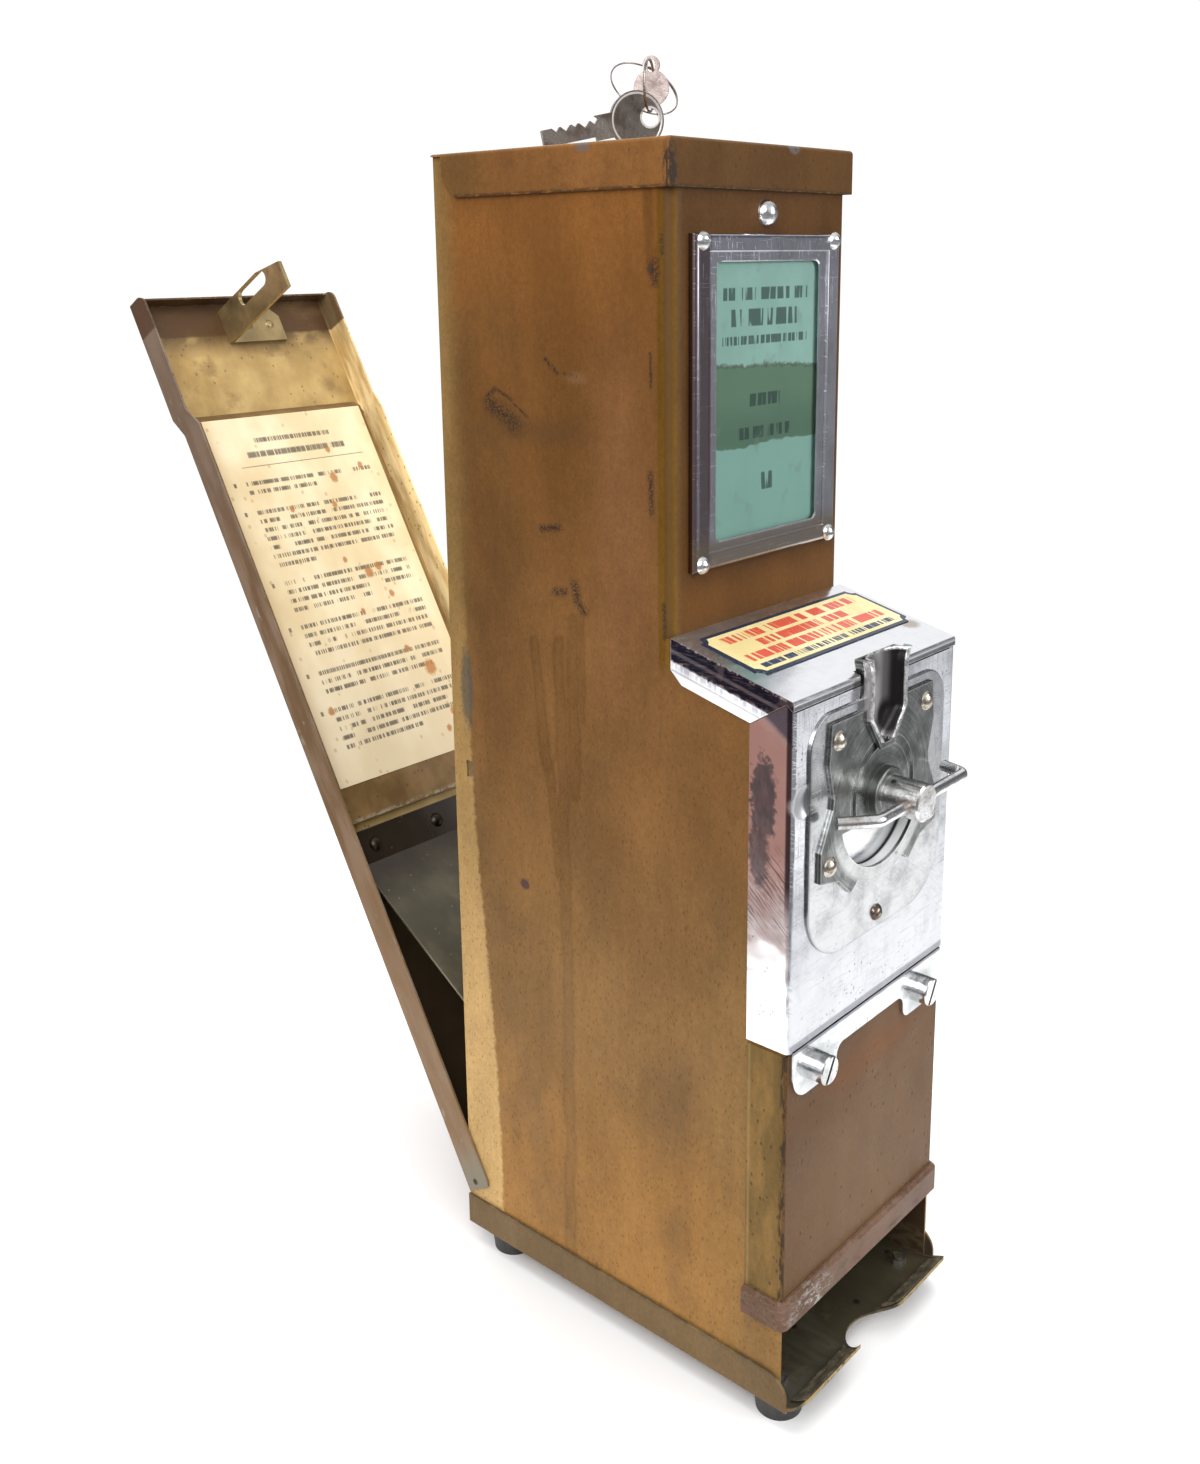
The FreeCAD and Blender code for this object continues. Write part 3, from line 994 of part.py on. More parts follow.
def make_coin_head():
    """Cast head over the coin plate, with the coin throat and a dished ring round the shaft."""
    body = new_body("coin_head")
    face = "cover_depth + plate_sheet"
    axis = "shaft_height"
    reach, drop = "rivet_low_reach", "rivet_low_height"
    wing = [("rivet_top_reach + 5", "rivet_top_height + 7.2"),
            ("rivet_top_reach + 6.4", "rivet_top_height - 8"), ("head_radius - 1.2", f"{axis} + 5"),
            (f"{reach} + 6", f"{drop} + 7"), (f"{reach} + 6", f"{drop} - 5"),
            (f"{reach} - 6.5", f"{drop} - 8"), (f"{reach} - 15", f"{drop} - 15.6"),
            ("15.5", f"{drop} - 11.4")]
    mirrored = [(f"-({x})", z) for x, z in reversed(wing)]
    pad(body, front_outline(body, wing + mirrored, face), "head_thickness")
    pad(body, circles(body, "XZ_Plane", [("0", axis)], "head_radius", face), "head_thickness")
    side = THROAT_HALF
    lip = f"{side} + throat_flare"
    block = [(f"-({side})", "throat_top - 4.5"), (f"-({lip})", "throat_top - 1.5"), (f"-({lip})", "throat_top"),
             (lip, "throat_top"), (lip, "throat_top - 1.5"), (side, "throat_top - 4.5"),
             (side, "throat_tip + 10"), ("4.5", "throat_tip - 2.2"), ("-4.5", "throat_tip - 2.2"),
             (f"-({side})", "throat_tip + 10")]
    pad(body, front_outline(body, block, "throat_rear"), "throat_front - throat_rear")
    channel_half = "(coin_radius + coin_gap)"
    mouth = f"({channel_half} + throat_flare)"
    channel = [(f"-{mouth}", "throat_top + 5"), (mouth, "throat_top + 5"), (mouth, "throat_top - 1"),
               (channel_half, "throat_top - 4.5"), (channel_half, "throat_tip + 11"), ("2.4", "throat_tip"),
               ("-2.4", "throat_tip"), (f"-{channel_half}", "throat_tip + 11"),
               (f"-{channel_half}", "throat_top - 4.5"), (f"-{mouth}", "throat_top - 1")]
    cut(body, front_outline(body, channel, "throat_front + 1"), "throat_front + 1 - throat_rear - 1.2")
    opening = front_outline(body, rectangle(f"-{channel_half}", channel_half, "throat_tip - 2",
                                            f"{axis} + disc_radius + 1"), "throat_rear + 2")
    cut(body, opening, "3")
    cut(body, segment_outline(body, f"{face} + 10"), "20")
    bore = circles(body, "XZ_Plane", [("0", axis)], "collar_radius", f"{face} + 10")
    cut(body, bore, "20")
    ring = new_sketch(body, "XZ_Plane", f"{face} + head_thickness")
    near = Vector(0, V["shaft_height"], 0)
    for index, radius in enumerate(("dish_radius", "dish_radius - dish_width")):
        ring.addGeometry(Part.Circle(near, Z_AXIS, 20 - 5 * index), False)
        pin_point(ring, index, 3, "0", axis, near)
        bound_constraint(ring, radius, "Radius", index, 20 - 5 * index)
    cut(body, ring, "dish_depth")
    cut(body, circles(body, "XZ_Plane", head_rivet_centres(), "rivet_shank", f"{face} + 10"), "20")


def make_collar():
    """Fixed collar that the shaft turns in."""
    start = V["mech_front"]
    front = V["cover_depth"] + V["plate_sheet"] + V["head_thickness"] + V["collar_height"]
    radius = V["shaft_radius"] + V["pin_gap"]
    front_face = V["disc_depth"] + 0.3
    axis = Vector(0, -front_face, V["shaft_height"])
    ring = rod_shape(V["collar_radius"], axis, FORWARD, front - front_face)
    edge = [e for e in ring.Edges
            if e.Curve.TypeId == "Part::GeomCircle" and abs(e.BoundBox.Center.y + front) < 0.01]
    ring = ring.makeFillet(0.8, edge)
    bore = rod_shape(radius, Vector(0, -start, V["shaft_height"]), FORWARD, 2 * (front - start))
    add_feature("shaft_collar", ring.cut(bore))


def make_rivets():
    """Domed rivets through the coin head, cover, spacers and mechanism frame."""
    face = V["cover_depth"] + V["plate_sheet"] + V["head_thickness"]
    back = V["mech_front"] - V["mech_sheet"]
    rivets, spacers = [], []
    places = [(sign * V[reach], V[height]) for sign in (-1, 1)
              for reach, height in (("rivet_top_reach", "rivet_top_height"),
                                    ("rivet_low_reach", "rivet_low_height"))]
    for x, z in places:
        head = dome_shape(V["rivet_head"], V["rivet_dome"], Vector(x, -face, z), FORWARD)
        shank = rod_shape(V["rivet_shank"], Vector(x, -back, z), FORWARD, face - back)
        tail = rod_shape(V["rivet_shank"] + 1, Vector(x, -(back - 0.9), z), FORWARD, 0.9)
        rivets.append(head.fuse([shank, tail]).removeSplitter())
        inner = V["cover_depth"] - V["cover_sheet"]
        seat = Vector(x, -V["mech_front"], z)
        tube = rod_shape(V["rivet_shank"] + V["spacer_wall"], seat, FORWARD, inner - V["mech_front"])
        spacers.append(tube.cut(rod_shape(V["rivet_shank"], Vector(x, -back, z), FORWARD, 30)))
    x, z = 0, V["rivet_foot_height"]
    face = V["cover_depth"] + V["plate_sheet"]
    inner = V["cover_depth"] - V["cover_sheet"]
    head = dome_shape(V["rivet_head"] * 0.85, V["rivet_dome"], Vector(x, -face, z), FORWARD)
    shank = rod_shape(V["rivet_shank"], Vector(x, -inner, z), FORWARD, face - inner)
    tail = rod_shape(V["rivet_shank"] + 0.8, Vector(x, -(inner - 0.6), z), FORWARD, 0.6)
    rivets.append(head.fuse([shank, tail]).removeSplitter())
    add_feature("plate_rivets", Part.makeCompound(rivets))
    add_feature("rivet_spacers", Part.makeCompound(spacers))


# ---------------------------------------------------------------- window
def make_window():
    body = new_body("window_frame")
    half = "frame_width / 2"
    pad(body, front_outline(body, rectangle(f"-({half})", half, "frame_bottom", "frame_top"), "upper_depth"),
        "frame_depth")
    front_y = -(V["upper_depth"] + V["frame_depth"])
    half_x = V["frame_width"] / 2
    middle_z = (V["frame_top"] + V["frame_bottom"]) / 2

    def outer_front(edge):
        return lies_at(edge, y=front_y) and edge.Curve.TypeId == "Part::GeomLine"

    round_edges(body, "frame_round", outer_front)
    rim_half = f"{half} - frame_rim"
    border = rectangle(f"-({rim_half})", rim_half, "frame_bottom + frame_rim_rail", "frame_top - frame_rim_rail")
    cut(body, front_outline(body, border, "upper_depth + frame_depth + 1"), "frame_step + 1")
    step_x = half_x - V["frame_rim"]
    step_z = V["frame_top"] - middle_z - V["frame_rim_rail"]

    def step_front(edge):
        box = edge.BoundBox
        inside = max(abs(box.XMin), abs(box.XMax)) < step_x + 0.02 and abs(box.Center.z - middle_z) < step_z + 0.02
        return inside and abs(box.YMin - front_y) < 0.02 and abs(box.YMax - front_y) < 0.02

    round_edges(body, "frame_step * 0.8", step_front)
    opening_half = f"{half} - frame_side"
    opening = rectangle(f"-({opening_half})", opening_half, "frame_bottom + frame_rail",
                        "frame_top - frame_rail")
    cut(body, front_outline(body, opening, "upper_depth + frame_depth + 1"), "frame_depth + 2")
    open_x = half_x - V["frame_side"]
    round_edges(body, "3", lambda e: runs_along(e, Y_AXIS) and abs(abs(e.CenterOfMass.x) - open_x) < 0.02)

    def inner_front(edge):
        box = edge.BoundBox
        across = max(abs(box.XMin), abs(box.XMax))
        inside = across < open_x + 0.02 and abs(box.Center.z - middle_z) < half_x + 10
        return inside and abs(box.YMin - border_y) < 0.02 and abs(box.YMax - border_y) < 0.02

    border_y = front_y + V["frame_step"]
    round_edges(body, "frame_step * 0.6", inner_front, kind="Chamfer")
    rebate = f"({opening_half} + 3.2)"
    seat = rectangle(f"-{rebate}", rebate, "frame_bottom + frame_rail - 3.2", "frame_top - frame_rail + 3.2")
    cut(body, front_outline(body, seat, "upper_depth"), "card_sheet + glass_sheet", reverse=True)
    cut(body, circles(body, "XZ_Plane", window_screw_centres(), "frame_screw_shank",
                      "upper_depth + frame_depth + 1"), "frame_depth + 2")

    inner = f"({opening_half} + 3)"
    pane = rectangle(f"-{inner}", inner, "frame_bottom + frame_rail - 3", "frame_top - frame_rail + 3")
    card = new_body("price_card")
    pad(card, front_outline(card, pane, "upper_depth"), "card_sheet")
    glass = new_body("window_glass")
    pad(glass, front_outline(glass, pane, "upper_depth + card_sheet"), "glass_sheet")


def make_window_screws():
    screws = []
    side = V["frame_width"] / 2 - V["frame_screw_side"]
    seat_depth = V["upper_depth"] + V["frame_depth"]
    tail = V["upper_depth"] - V["sheet"] - 2.4
    for x in (-side, side):
        for z in (V["frame_top"] - V["frame_screw_inset"], V["frame_bottom"] + V["frame_screw_inset"]):
            seat = Vector(x, -seat_depth, z)
            head = dome_shape(V["frame_screw_head"], 2.4, seat, FORWARD)
            shank = rod_shape(V["frame_screw_shank"], Vector(x, -tail, z), FORWARD, seat_depth - tail)
            slot = Part.makeBox(12, 1.1, 0.9, seat + Vector(-6, -2.6, -0.45))
            screws.append(head.cut(slot).fuse(shank).removeSplitter())
    add_feature("window_screws", Part.makeCompound(screws))


def make_cap_bolt():
    z = V["cap_bolt_height"]
    seat = Vector(0, -V["upper_depth"], z)
    tail = V["upper_depth"] - V["sheet"] - 1.5 - 5.0
    head = dome_shape(V["cap_bolt_head"], 4.4, seat, FORWARD)
    shank = rod_shape(V["cap_bolt_shank"], Vector(0, -tail, z), FORWARD, V["upper_depth"] - tail)
    add_feature("bracket_bolt", head.fuse(shank).removeSplitter())
    nut_front = V["upper_depth"] - V["sheet"] - 1.5
    nut = hexagon(4.4, 3.2, Vector(0, -(nut_front - 3.2), z), FORWARD)
    bore = rod_shape(V["cap_bolt_shank"], Vector(0, -(nut_front - 6), z), FORWARD, 12)
    add_feature("bracket_nut", nut.cut(bore))


def hexagon(across_half, height, base, direction):
    """A hexagonal prism, its half width measured across the flats."""
    reach = across_half / math.cos(math.pi / 6)
    corners = [math.pi / 3 * k for k in range(7)]
    points = [Vector(reach * math.cos(angle), reach * math.sin(angle), 0) for angle in corners]
    prism = Part.Face(Part.makePolygon(points)).extrude(Vector(0, 0, height))
    prism.Placement = Placement(base, Rotation(Z_AXIS, direction))
    return prism


# ---------------------------------------------------------------- feet
def make_feet():
    feet, screws, nuts = [], [], []
    for sign in (-1, 1):
        for depth in (V["foot_rear"], V["foot_front"]):
            x = sign * (half_width - V["foot_inset"])
            base = Vector(x, -depth, -V["foot_height"])
            rubber = Part.makeCone(V["foot_base_radius"], V["foot_top_radius"], V["foot_height"], base,
                                   Z_AXIS)
            well = rod_shape(V["foot_screw"] * 2.3, base, Z_AXIS, V["foot_height"] * 0.55)
            bore = rod_shape(V["foot_screw"], base, Z_AXIS, V["foot_height"])
            feet.append(rubber.cut(well).cut(bore))
            seat = base + Z_AXIS * (V["foot_height"] * 0.55)
            head = rod_shape(V["foot_screw"] * 2, seat - Z_AXIS * 2.2, Z_AXIS, 2.2)
            shank = rod_shape(V["foot_screw"], seat, Z_AXIS, V["foot_height"] * 0.45 + V["pan_sheet"] + 3)
            screws.append(head.fuse(shank).removeSplitter())
            nut = hexagon(3.3, 2.2, Vector(x, -depth, V["pan_sheet"]), Z_AXIS)
            nuts.append(nut.cut(rod_shape(V["foot_screw"], Vector(x, -depth, 0), Z_AXIS, 10)))
    add_feature("rubber_feet", Part.makeCompound(feet))
    add_feature("foot_screws", Part.makeCompound(screws))
    add_feature("foot_nuts", Part.makeCompound(nuts))


# ---------------------------------------------------------------- mechanism inside
def make_mechanism_frame():
    """U-shaped plate behind the cover: front plate with two fixing tabs, sides to the rear."""
    body = new_body("mechanism_frame")
    half = "mech_width / 2"
    rear_face = "mech_front - mech_sheet"
    tab = "box_top + slide_gap"
    front = [(f"-({half})", "mech_top"), (half, "mech_top"), (half, tab),
             (f"{half} - mech_tab", tab), (f"{half} - mech_tab", "mech_bottom"),
             (f"-({half} - mech_tab)", "mech_bottom"), (f"-({half} - mech_tab)", tab), (f"-({half})", tab)]
    pad(body, front_outline(body, front, rear_face), "mech_sheet")
    sides = rectangle("mech_rear", "mech_front", "mech_bottom", "mech_top")
    side_walls(body, sides, half, "mech_sheet")
    shaft = circles(body, "XZ_Plane", [("0", "shaft_height")], "shaft_radius + pin_gap", "mech_front + 5")
    cut(body, shaft, "20")
    cut(body, circles(body, "XZ_Plane", head_rivet_centres(), "rivet_shank", "mech_front + 5"), "10")
    screw_centres = [("-fixing_reach", "fixing_height"), ("fixing_reach", "fixing_height")]
    screws = circles(body, "XZ_Plane", screw_centres, "fixing_shank", "mech_front + 5")
    cut(body, screws, "10")
    throat = rectangle(f"-({THROAT_HALF})", THROAT_HALF, "shaft_height + disc_radius + 4", "mech_top + 5")
    cut(body, front_outline(body, throat, "mech_front + 5"), "10")


def make_bearing_plate():
    body = new_body("bearing_plate")
    half = "mech_width / 2 - mech_sheet"
    shape = rectangle(f"-({half})", half, "shaft_height - bearing_height / 2",
                      "shaft_height + bearing_height / 2")
    pad(body, front_outline(body, shape, "bearing_front - mech_sheet"), "mech_sheet")
    bore = circles(body, "XZ_Plane", [("0", "shaft_height")], "journal_radius + pin_gap", "bearing_front + 5")
    cut(body, bore, "20")


def make_bed():
    """Bed under the folder chute, slotted for the ejector's pin."""
    body = new_body("ejector_bed")
    half = "mech_width / 2 - mech_sheet"
    flat = rectangle(f"-({half})", half, "bed_rear", "bed_front")
    pad(body, plan_outline(body, flat, "bed_top - bed_sheet"), "bed_sheet")
    play = "(cam_pin_radius + slide_gap)"
    slot = rectangle(f"-{play}", play, f"cam_pin_depth - ejector_stroke - {play}", f"cam_pin_depth + {play}")
    cut(body, plan_outline(body, slot, "bed_top + 1"), "bed_sheet + 2")


def make_chute():
    """C-shaped folder chute, open at the rear by a slot and at its foot for one folder."""
    body = new_body("folder_chute")
    half = "chute_width / 2"
    outer = f"{half} + chute_sheet"
    front = "chute_rear + chute_length + 2 * chute_sheet"
    plan = [(f"-({outer})", "chute_rear"), ("-chute_slot / 2", "chute_rear"),
            ("-chute_slot / 2", "chute_rear + chute_sheet"), (f"-({half})", "chute_rear + chute_sheet"),
            (f"-({half})", f"{front} - chute_sheet"), (half, f"{front} - chute_sheet"),
            (half, "chute_rear + chute_sheet"), ("chute_slot / 2", "chute_rear + chute_sheet"),
            ("chute_slot / 2", "chute_rear"), (outer, "chute_rear"), (outer, front), (f"-({outer})", front)]
    pad(body, plan_outline(body, plan, "bed_top"), "chute_top - bed_top")
    gap = rectangle(f"-({half})", half, "chute_rear - 5", f"{front} + 5")
    cut(body, plan_outline(body, gap, "bed_top + folder_gap"), "folder_gap + 5")


def make_chute_bracket():
    """Z-shaped bracket from the chute's front to the bolt in the upper front."""
    body = new_body("chute_bracket")
    near = "chute_rear + chute_length + 2 * chute_sheet"
    far = "upper_depth - sheet"
    step = "cap_bolt_height - 7"
    thick = "1.5"
    profile = [(near, "chute_top - 22"), (f"{near} + {thick}", "chute_top - 22"), (f"{near} + {thick}", step),
               (far, step), (far, "cap_bolt_height + 8"), (f"{far} - {thick}", "cap_bolt_height + 8"),
               (f"{far} - {thick}", f"{step} + {thick}"), (near, f"{step} + {thick}")]
    pad(body, side_outline(body, profile), "24", midplane=True)
    hole = circles(body, "XZ_Plane", [("0", "cap_bolt_height")], "cap_bolt_shank", "upper_depth")
    cut(body, hole, "10")


def make_follower():
    """Weight that lies on the folders, with a lifting knob."""
    body = new_body("follower_weight")
    half = "chute_width / 2 - weight_gap"
    rear = "chute_rear + chute_sheet + weight_gap"
    front = "chute_rear + chute_sheet + chute_length - weight_gap"
    bottom = "bed_top + slide_gap + blade_sheet + slide_gap"
    pad(body, plan_outline(body, rectangle(f"-({half})", half, rear, front), bottom), "weight_height")
    round_edges(body, "1.2", lambda e: runs_along(e, Z_AXIS))
    middle = "-(chute_rear + chute_sheet + chute_length / 2)"
    top = f"{bottom} + weight_height"
    pad(body, circles(body, "XY_Plane", [("0", middle)], "3", top), "10")
    pad(body, circles(body, "XY_Plane", [("0", middle)], "8", f"{top} + 10"), "6")
    knob_z = V["bed_top"] + 2 * V["slide_gap"] + V["blade_sheet"] + V["weight_height"]
    round_edges(body, "1.5", lambda e: e.Curve.TypeId == "Part::GeomCircle" and abs(e.Curve.Radius - 8) < 0.01
                and e.BoundBox.Center.z > knob_z)


def make_ejector():
    """Blade that pushes the lowest folder off the bed, with its cam pin."""
    body = new_body("ejector")
    bottom = "bed_top + slide_gap"
    rear = "chute_rear + chute_length + 2 * chute_sheet + 1.2"
    front = f"{rear} + blade_length"
    wide, narrow = "blade_width / 2", "tongue_width / 2"
    step = f"{rear} + 10"
    plan = [(f"-({wide})", rear), (wide, rear), (wide, step), (narrow, step), (narrow, front),
            (f"-({narrow})", front), (f"-({narrow})", step), (f"-({wide})", step)]
    pad(body, plan_outline(body, plan, bottom), "blade_sheet")
    foot = "bed_top - bed_sheet - slide_gap * 4 - cam_sheet - 0.6"
    pad(body, circles(body, "XY_Plane", [("0", "-cam_pin_depth")], "cam_pin_radius", foot),
        f"{bottom} - ({foot}) + blade_sheet / 2")


def rack_travel():
    """How far the rack moves for the handle's full turn."""
    return V["gear_module"] * V["gear_teeth"] / 2 * math.radians(V["handle_turn"])


def involute(base, angle):
    return Vector(base * (math.cos(angle) + angle * math.sin(angle)),
                  base * (math.sin(angle) - angle * math.cos(angle)), 0)


def make_pinion():
    """Involute pinion on the shaft's rear journal, 20 degree pressure angle."""
    module, teeth = V["gear_module"], int(V["gear_teeth"])
    pitch = module * teeth / 2
    base = pitch * math.cos(math.radians(20))
    outer, root = pitch + module, pitch - 1.25 * module
    at_pitch = math.sqrt((pitch / base) ** 2 - 1)
    spread = at_pitch - math.atan(at_pitch)
    half_tooth = math.pi / (2 * teeth) - V["gear_backlash"] / (4 * pitch)
    tip = math.sqrt((outer / base) ** 2 - 1)
    flank = [involute(base, tip * k / 6) for k in range(7)]
    step = 2 * math.pi / teeth
    edges, last = [], None
    for tooth in range(teeth):
        middle = tooth * step + step / 2 - math.pi / 2
        lower = [turned(p, middle - half_tooth - spread) for p in flank]
        upper = [turned(Vector(p.x, -p.y, 0), middle + half_tooth + spread) for p in reversed(flank)]
        foot_in = turned(Vector(root, 0, 0), math.atan2(lower[0].y, lower[0].x))
        foot_out = turned(Vector(root, 0, 0), math.atan2(upper[-1].y, upper[-1].x))
        if last is not None:
            edges.append(Part.makeLine(last, foot_in))
        else:
            first = foot_in
        edges.append(Part.makeLine(foot_in, lower[0]))
        edges.append(spline(lower))
        edges.append(Part.makeLine(lower[-1], upper[0]))
        edges.append(spline(upper))
        edges.append(Part.makeLine(upper[-1], foot_out))
        last = foot_out
    edges.append(Part.makeLine(last, first))
    blank = Part.Face(Part.Wire(edges)).extrude(Vector(0, 0, V["gear_width"]))
    rear = V["gear_depth"] - V["gear_width"]
    blank.Placement = Placement(Vector(0, -rear, V["shaft_height"]), Rotation(X_AXIS, 90))
    bore = rod_shape(V["journal_radius"], Vector(0, -(rear - 5), V["shaft_height"]), FORWARD, 30)
    hub = rod_shape(9, Vector(0, -(rear - 3), V["shaft_height"]), FORWARD, 3)
    add_feature("drive_pinion", blank.fuse(hub).cut(bore).removeSplitter())


def turned(point, angle):
    cosine, sine = math.cos(angle), math.sin(angle)
    return Vector(point.x * cosine - point.y * sine, point.x * sine + point.y * cosine, 0)


def spline(points):
    curve = Part.BSplineCurve()
    curve.interpolate(points)
    return curve.toShape()


def make_rack():
    """Rack with its cam plate: one turn of the handle moves it sideways along the guide rod."""
    module = V["gear_module"]
    pitch_line = V["shaft_height"] - module * V["gear_teeth"] / 2
    left, right = -V["rack_over"], rack_travel() + V["rack_over"]
    underside = V["guide_height"] - V["rack_foot"]
    front = V["gear_depth"]
    rear = front - V["gear_width"]
    root = pitch_line - 1.25 * module
    tip = pitch_line + module
    pitch = math.pi * module
    half_land = pitch / 4 - V["gear_backlash"] / 4
    lean = math.tan(math.radians(20))
    outline_points = [Vector(left, 0, underside), Vector(left, 0, root)]
    count = int((right - left) / pitch)
    for tooth in range(-int(-left / pitch) + 1, count):
        middle = tooth * pitch
        if middle - pitch / 2 < left or middle + pitch / 2 > right:
            continue
        low = half_land + lean * 1.25 * module
        high = half_land - lean * module
        outline_points += [Vector(middle - low, 0, root), Vector(middle - high, 0, tip),
                           Vector(middle + high, 0, tip), Vector(middle + low, 0, root)]
    outline_points += [Vector(right, 0, root), Vector(right, 0, underside)]
    outline_points.append(outline_points[0])
    bar = Part.Face(Part.makePolygon(outline_points)).extrude(FORWARD * V["gear_width"])
    bar.translate(FORWARD * rear)
    cam_top = V["bed_top"] - V["bed_sheet"] - 4 * V["slide_gap"]
    cam_bottom = cam_top - V["cam_sheet"]
    web_front = rear + V["rack_web"]
    corner = Vector(left, -web_front, cam_bottom)
    web = Part.makeBox(right - left, V["rack_web"], underside - cam_bottom, corner)
    end_depth = V["cam_pin_depth"] - V["ejector_stroke"]
    plate_rear = end_depth - V["cam_pin_radius"] - V["slide_gap"] - V["cam_margin"]
    plate = Part.makeBox(right - left, web_front - plate_rear, V["cam_sheet"], corner)
    slot_radius = V["cam_pin_radius"] + 0.2
    start = Vector(0, -V["cam_pin_depth"], cam_bottom - 1)
    end = Vector(rack_travel(), -end_depth, cam_bottom - 1)
    slot = stadium(start, end, slot_radius, V["cam_sheet"] + 2)
    bore = rod_shape(V["guide_radius"] + V["pin_gap"],
                     Vector(left - 5, -(front - V["gear_width"] / 2), V["guide_height"]), X_AXIS, right - left + 10)
    rack = bar.fuse([web, plate]).cut(slot).cut(bore).removeSplitter()
    add_feature("rack_slide", rack)


def stadium(start, end, radius, height):
    """A slot-shaped prism between two upright axes."""
    run = end - start
    along = Vector(run.x, run.y, 0).normalize()
    across = Vector(-along.y, along.x, 0) * radius
    corners = [start + across, start - across, end - across, end + across, start + across]
    block = Part.Face(Part.makePolygon(corners)).extrude(Vector(0, 0, height))
    ends = [Part.makeCylinder(radius, height, point, Z_AXIS) for point in (start, end)]
    return block.fuse(ends).removeSplitter()


def make_guide_rod():
    half = V["mech_width"] / 2 - V["mech_sheet"]
    depth = V["gear_depth"] - V["gear_width"] / 2
    rod = rod_shape(V["guide_radius"], Vector(-half, -depth, V["guide_height"]), X_AXIS, 2 * half)
    add_feature("guide_rod", rod)


def make_hopper():
    """Coin hopper under the disc, narrowing to a duct that ends over the cash box."""
    body = new_body("coin_hopper")
    rear = "mech_front + 0.3"
    front = f"{rear} + duct_depth"

    def section(width, height, inset="0"):
        half = f"{width} / 2 - {inset}"
        shape = rectangle(f"-({half})", half, f"{rear} + {inset}", f"{front} - {inset}")
        return plan_outline(body, shape, height)

    loft(body, [section("hopper_width", "hopper_top"), section("duct_width", "hopper_waist"),
                section("duct_width", "box_top + slide_gap")])
    loft(body, [section("hopper_width", "hopper_top + 0.01", "hopper_sheet"),
                section("duct_width", "hopper_waist", "hopper_sheet"),
                section("duct_width", "box_top + slide_gap - 0.01", "hopper_sheet")], subtract=True)


def make_cash_box():
    body = new_body("cash_box")
    half = "box_width / 2"
    pad(body, plan_outline(body, rectangle(f"-({half})", half, "box_rear", "box_front"), "box_bottom"),
        "box_top - box_bottom - box_sheet")
    inner = f"{half} - box_sheet"
    hollow = rectangle(f"-({inner})", inner, "box_rear + box_sheet", "box_front - box_sheet")
    cut(body, plan_outline(body, hollow, "box_top + 5"), "box_top + 5 - box_bottom - box_sheet")
    lid = new_body("cash_box_lid")
    pad(lid, plan_outline(lid, rectangle(f"-({half})", half, "box_rear", "box_front"), "box_top - box_sheet"),
        "box_sheet")
    mouth = "duct_width / 2"
    slot = rectangle(f"-({mouth})", mouth, "mech_front + 0.3", "mech_front + 0.3 + duct_depth - 1.2")
    cut(lid, plan_outline(lid, slot, "box_top + 1"), "box_sheet + 2")


# ---------------------------------------------------------------- handle and shaft
def make_shaft():
    z = V["shaft_height"]
    shoulder = V["mech_front"] - V["mech_sheet"] - 3
    rear = V["bearing_front"] - V["mech_sheet"] - 3.4
    thick = rod_shape(V["shaft_radius"], Vector(0, -shoulder, z), FORWARD, V["shaft_front"] - shoulder)
    rim = [e for e in thick.Edges if e.Curve.TypeId == "Part::GeomCircle"
           and abs(e.BoundBox.Center.y + V["shaft_front"]) < 0.01]
    thick = thick.makeChamfer(0.7, rim)
    thin = rod_shape(V["journal_radius"], Vector(0, -rear, z), FORWARD, shoulder - rear)
    beyond = 2 * V["shaft_radius"]
    hole = rod_shape(V["rod_radius"], Vector(-beyond, -V["rod_depth"], z), X_AXIS, 2 * beyond)
    add_feature("handle_shaft", thick.fuse(thin).cut(hole).removeSplitter())
    clip_depth = V["bearing_front"] - V["mech_sheet"] - 0.3
    clip = rod_shape(V["journal_radius"] + 3, Vector(0, -(clip_depth - 1.2), z), FORWARD, 1.2)
    bore = rod_shape(V["journal_radius"], Vector(0, -(clip_depth - 3), z), FORWARD, 6)
    add_feature("shaft_clip", clip.cut(bore))


def handle_end_depth():
    """Depth of the handle's end faces, just clear of the rivet heads."""
    face = V["cover_depth"] + V["plate_sheet"] + V["head_thickness"] + V["rivet_dome"]
    return face + V["handle_clearance"]


def make_handle():
    """T handle: a rod through the shaft with both ends bent back towards the plate."""
    z = V["shaft_height"]
    depth = V["rod_depth"]
    end_depth = handle_end_depth()
    corners = [Vector(-V["rod_left_end"], -end_depth, z), Vector(-V["rod_left"], -depth, z),
               Vector(V["rod_right"], -depth, z), Vector(V["rod_right_end"], -end_depth, z)]
    add_feature("handle_rod", bent_rod(corners, V["rod_radius"], V["rod_bend"]))


def bent_rod(corners, radius, bend):
    """A round rod along straight runs joined by tangent arcs of one radius."""
    edges = []
    start = corners[0]
    for before, corner, after in zip(corners, corners[1:], corners[2:]):
        inward = (before - corner).normalize()
        outward = (after - corner).normalize()
        half_angle = inward.getAngle(outward) / 2
        trim = bend / math.tan(half_angle)
        first = corner + inward * trim
        last = corner + outward * trim
        middle_way = (inward + outward).normalize()
        centre = corner + middle_way * (bend / math.sin(half_angle))
        middle = centre - middle_way * bend
        edges.append(Part.makeLine(start, first))
        edges.append(Part.Arc(first, middle, last).toShape())
        start = last
    edges.append(Part.makeLine(start, corners[-1]))
    path = Part.Wire(edges)
    direction = corners[1] - corners[0]
    section = Part.Wire(Part.makeCircle(radius, corners[0], direction))
    return path.makePipeShell([section], True, False)


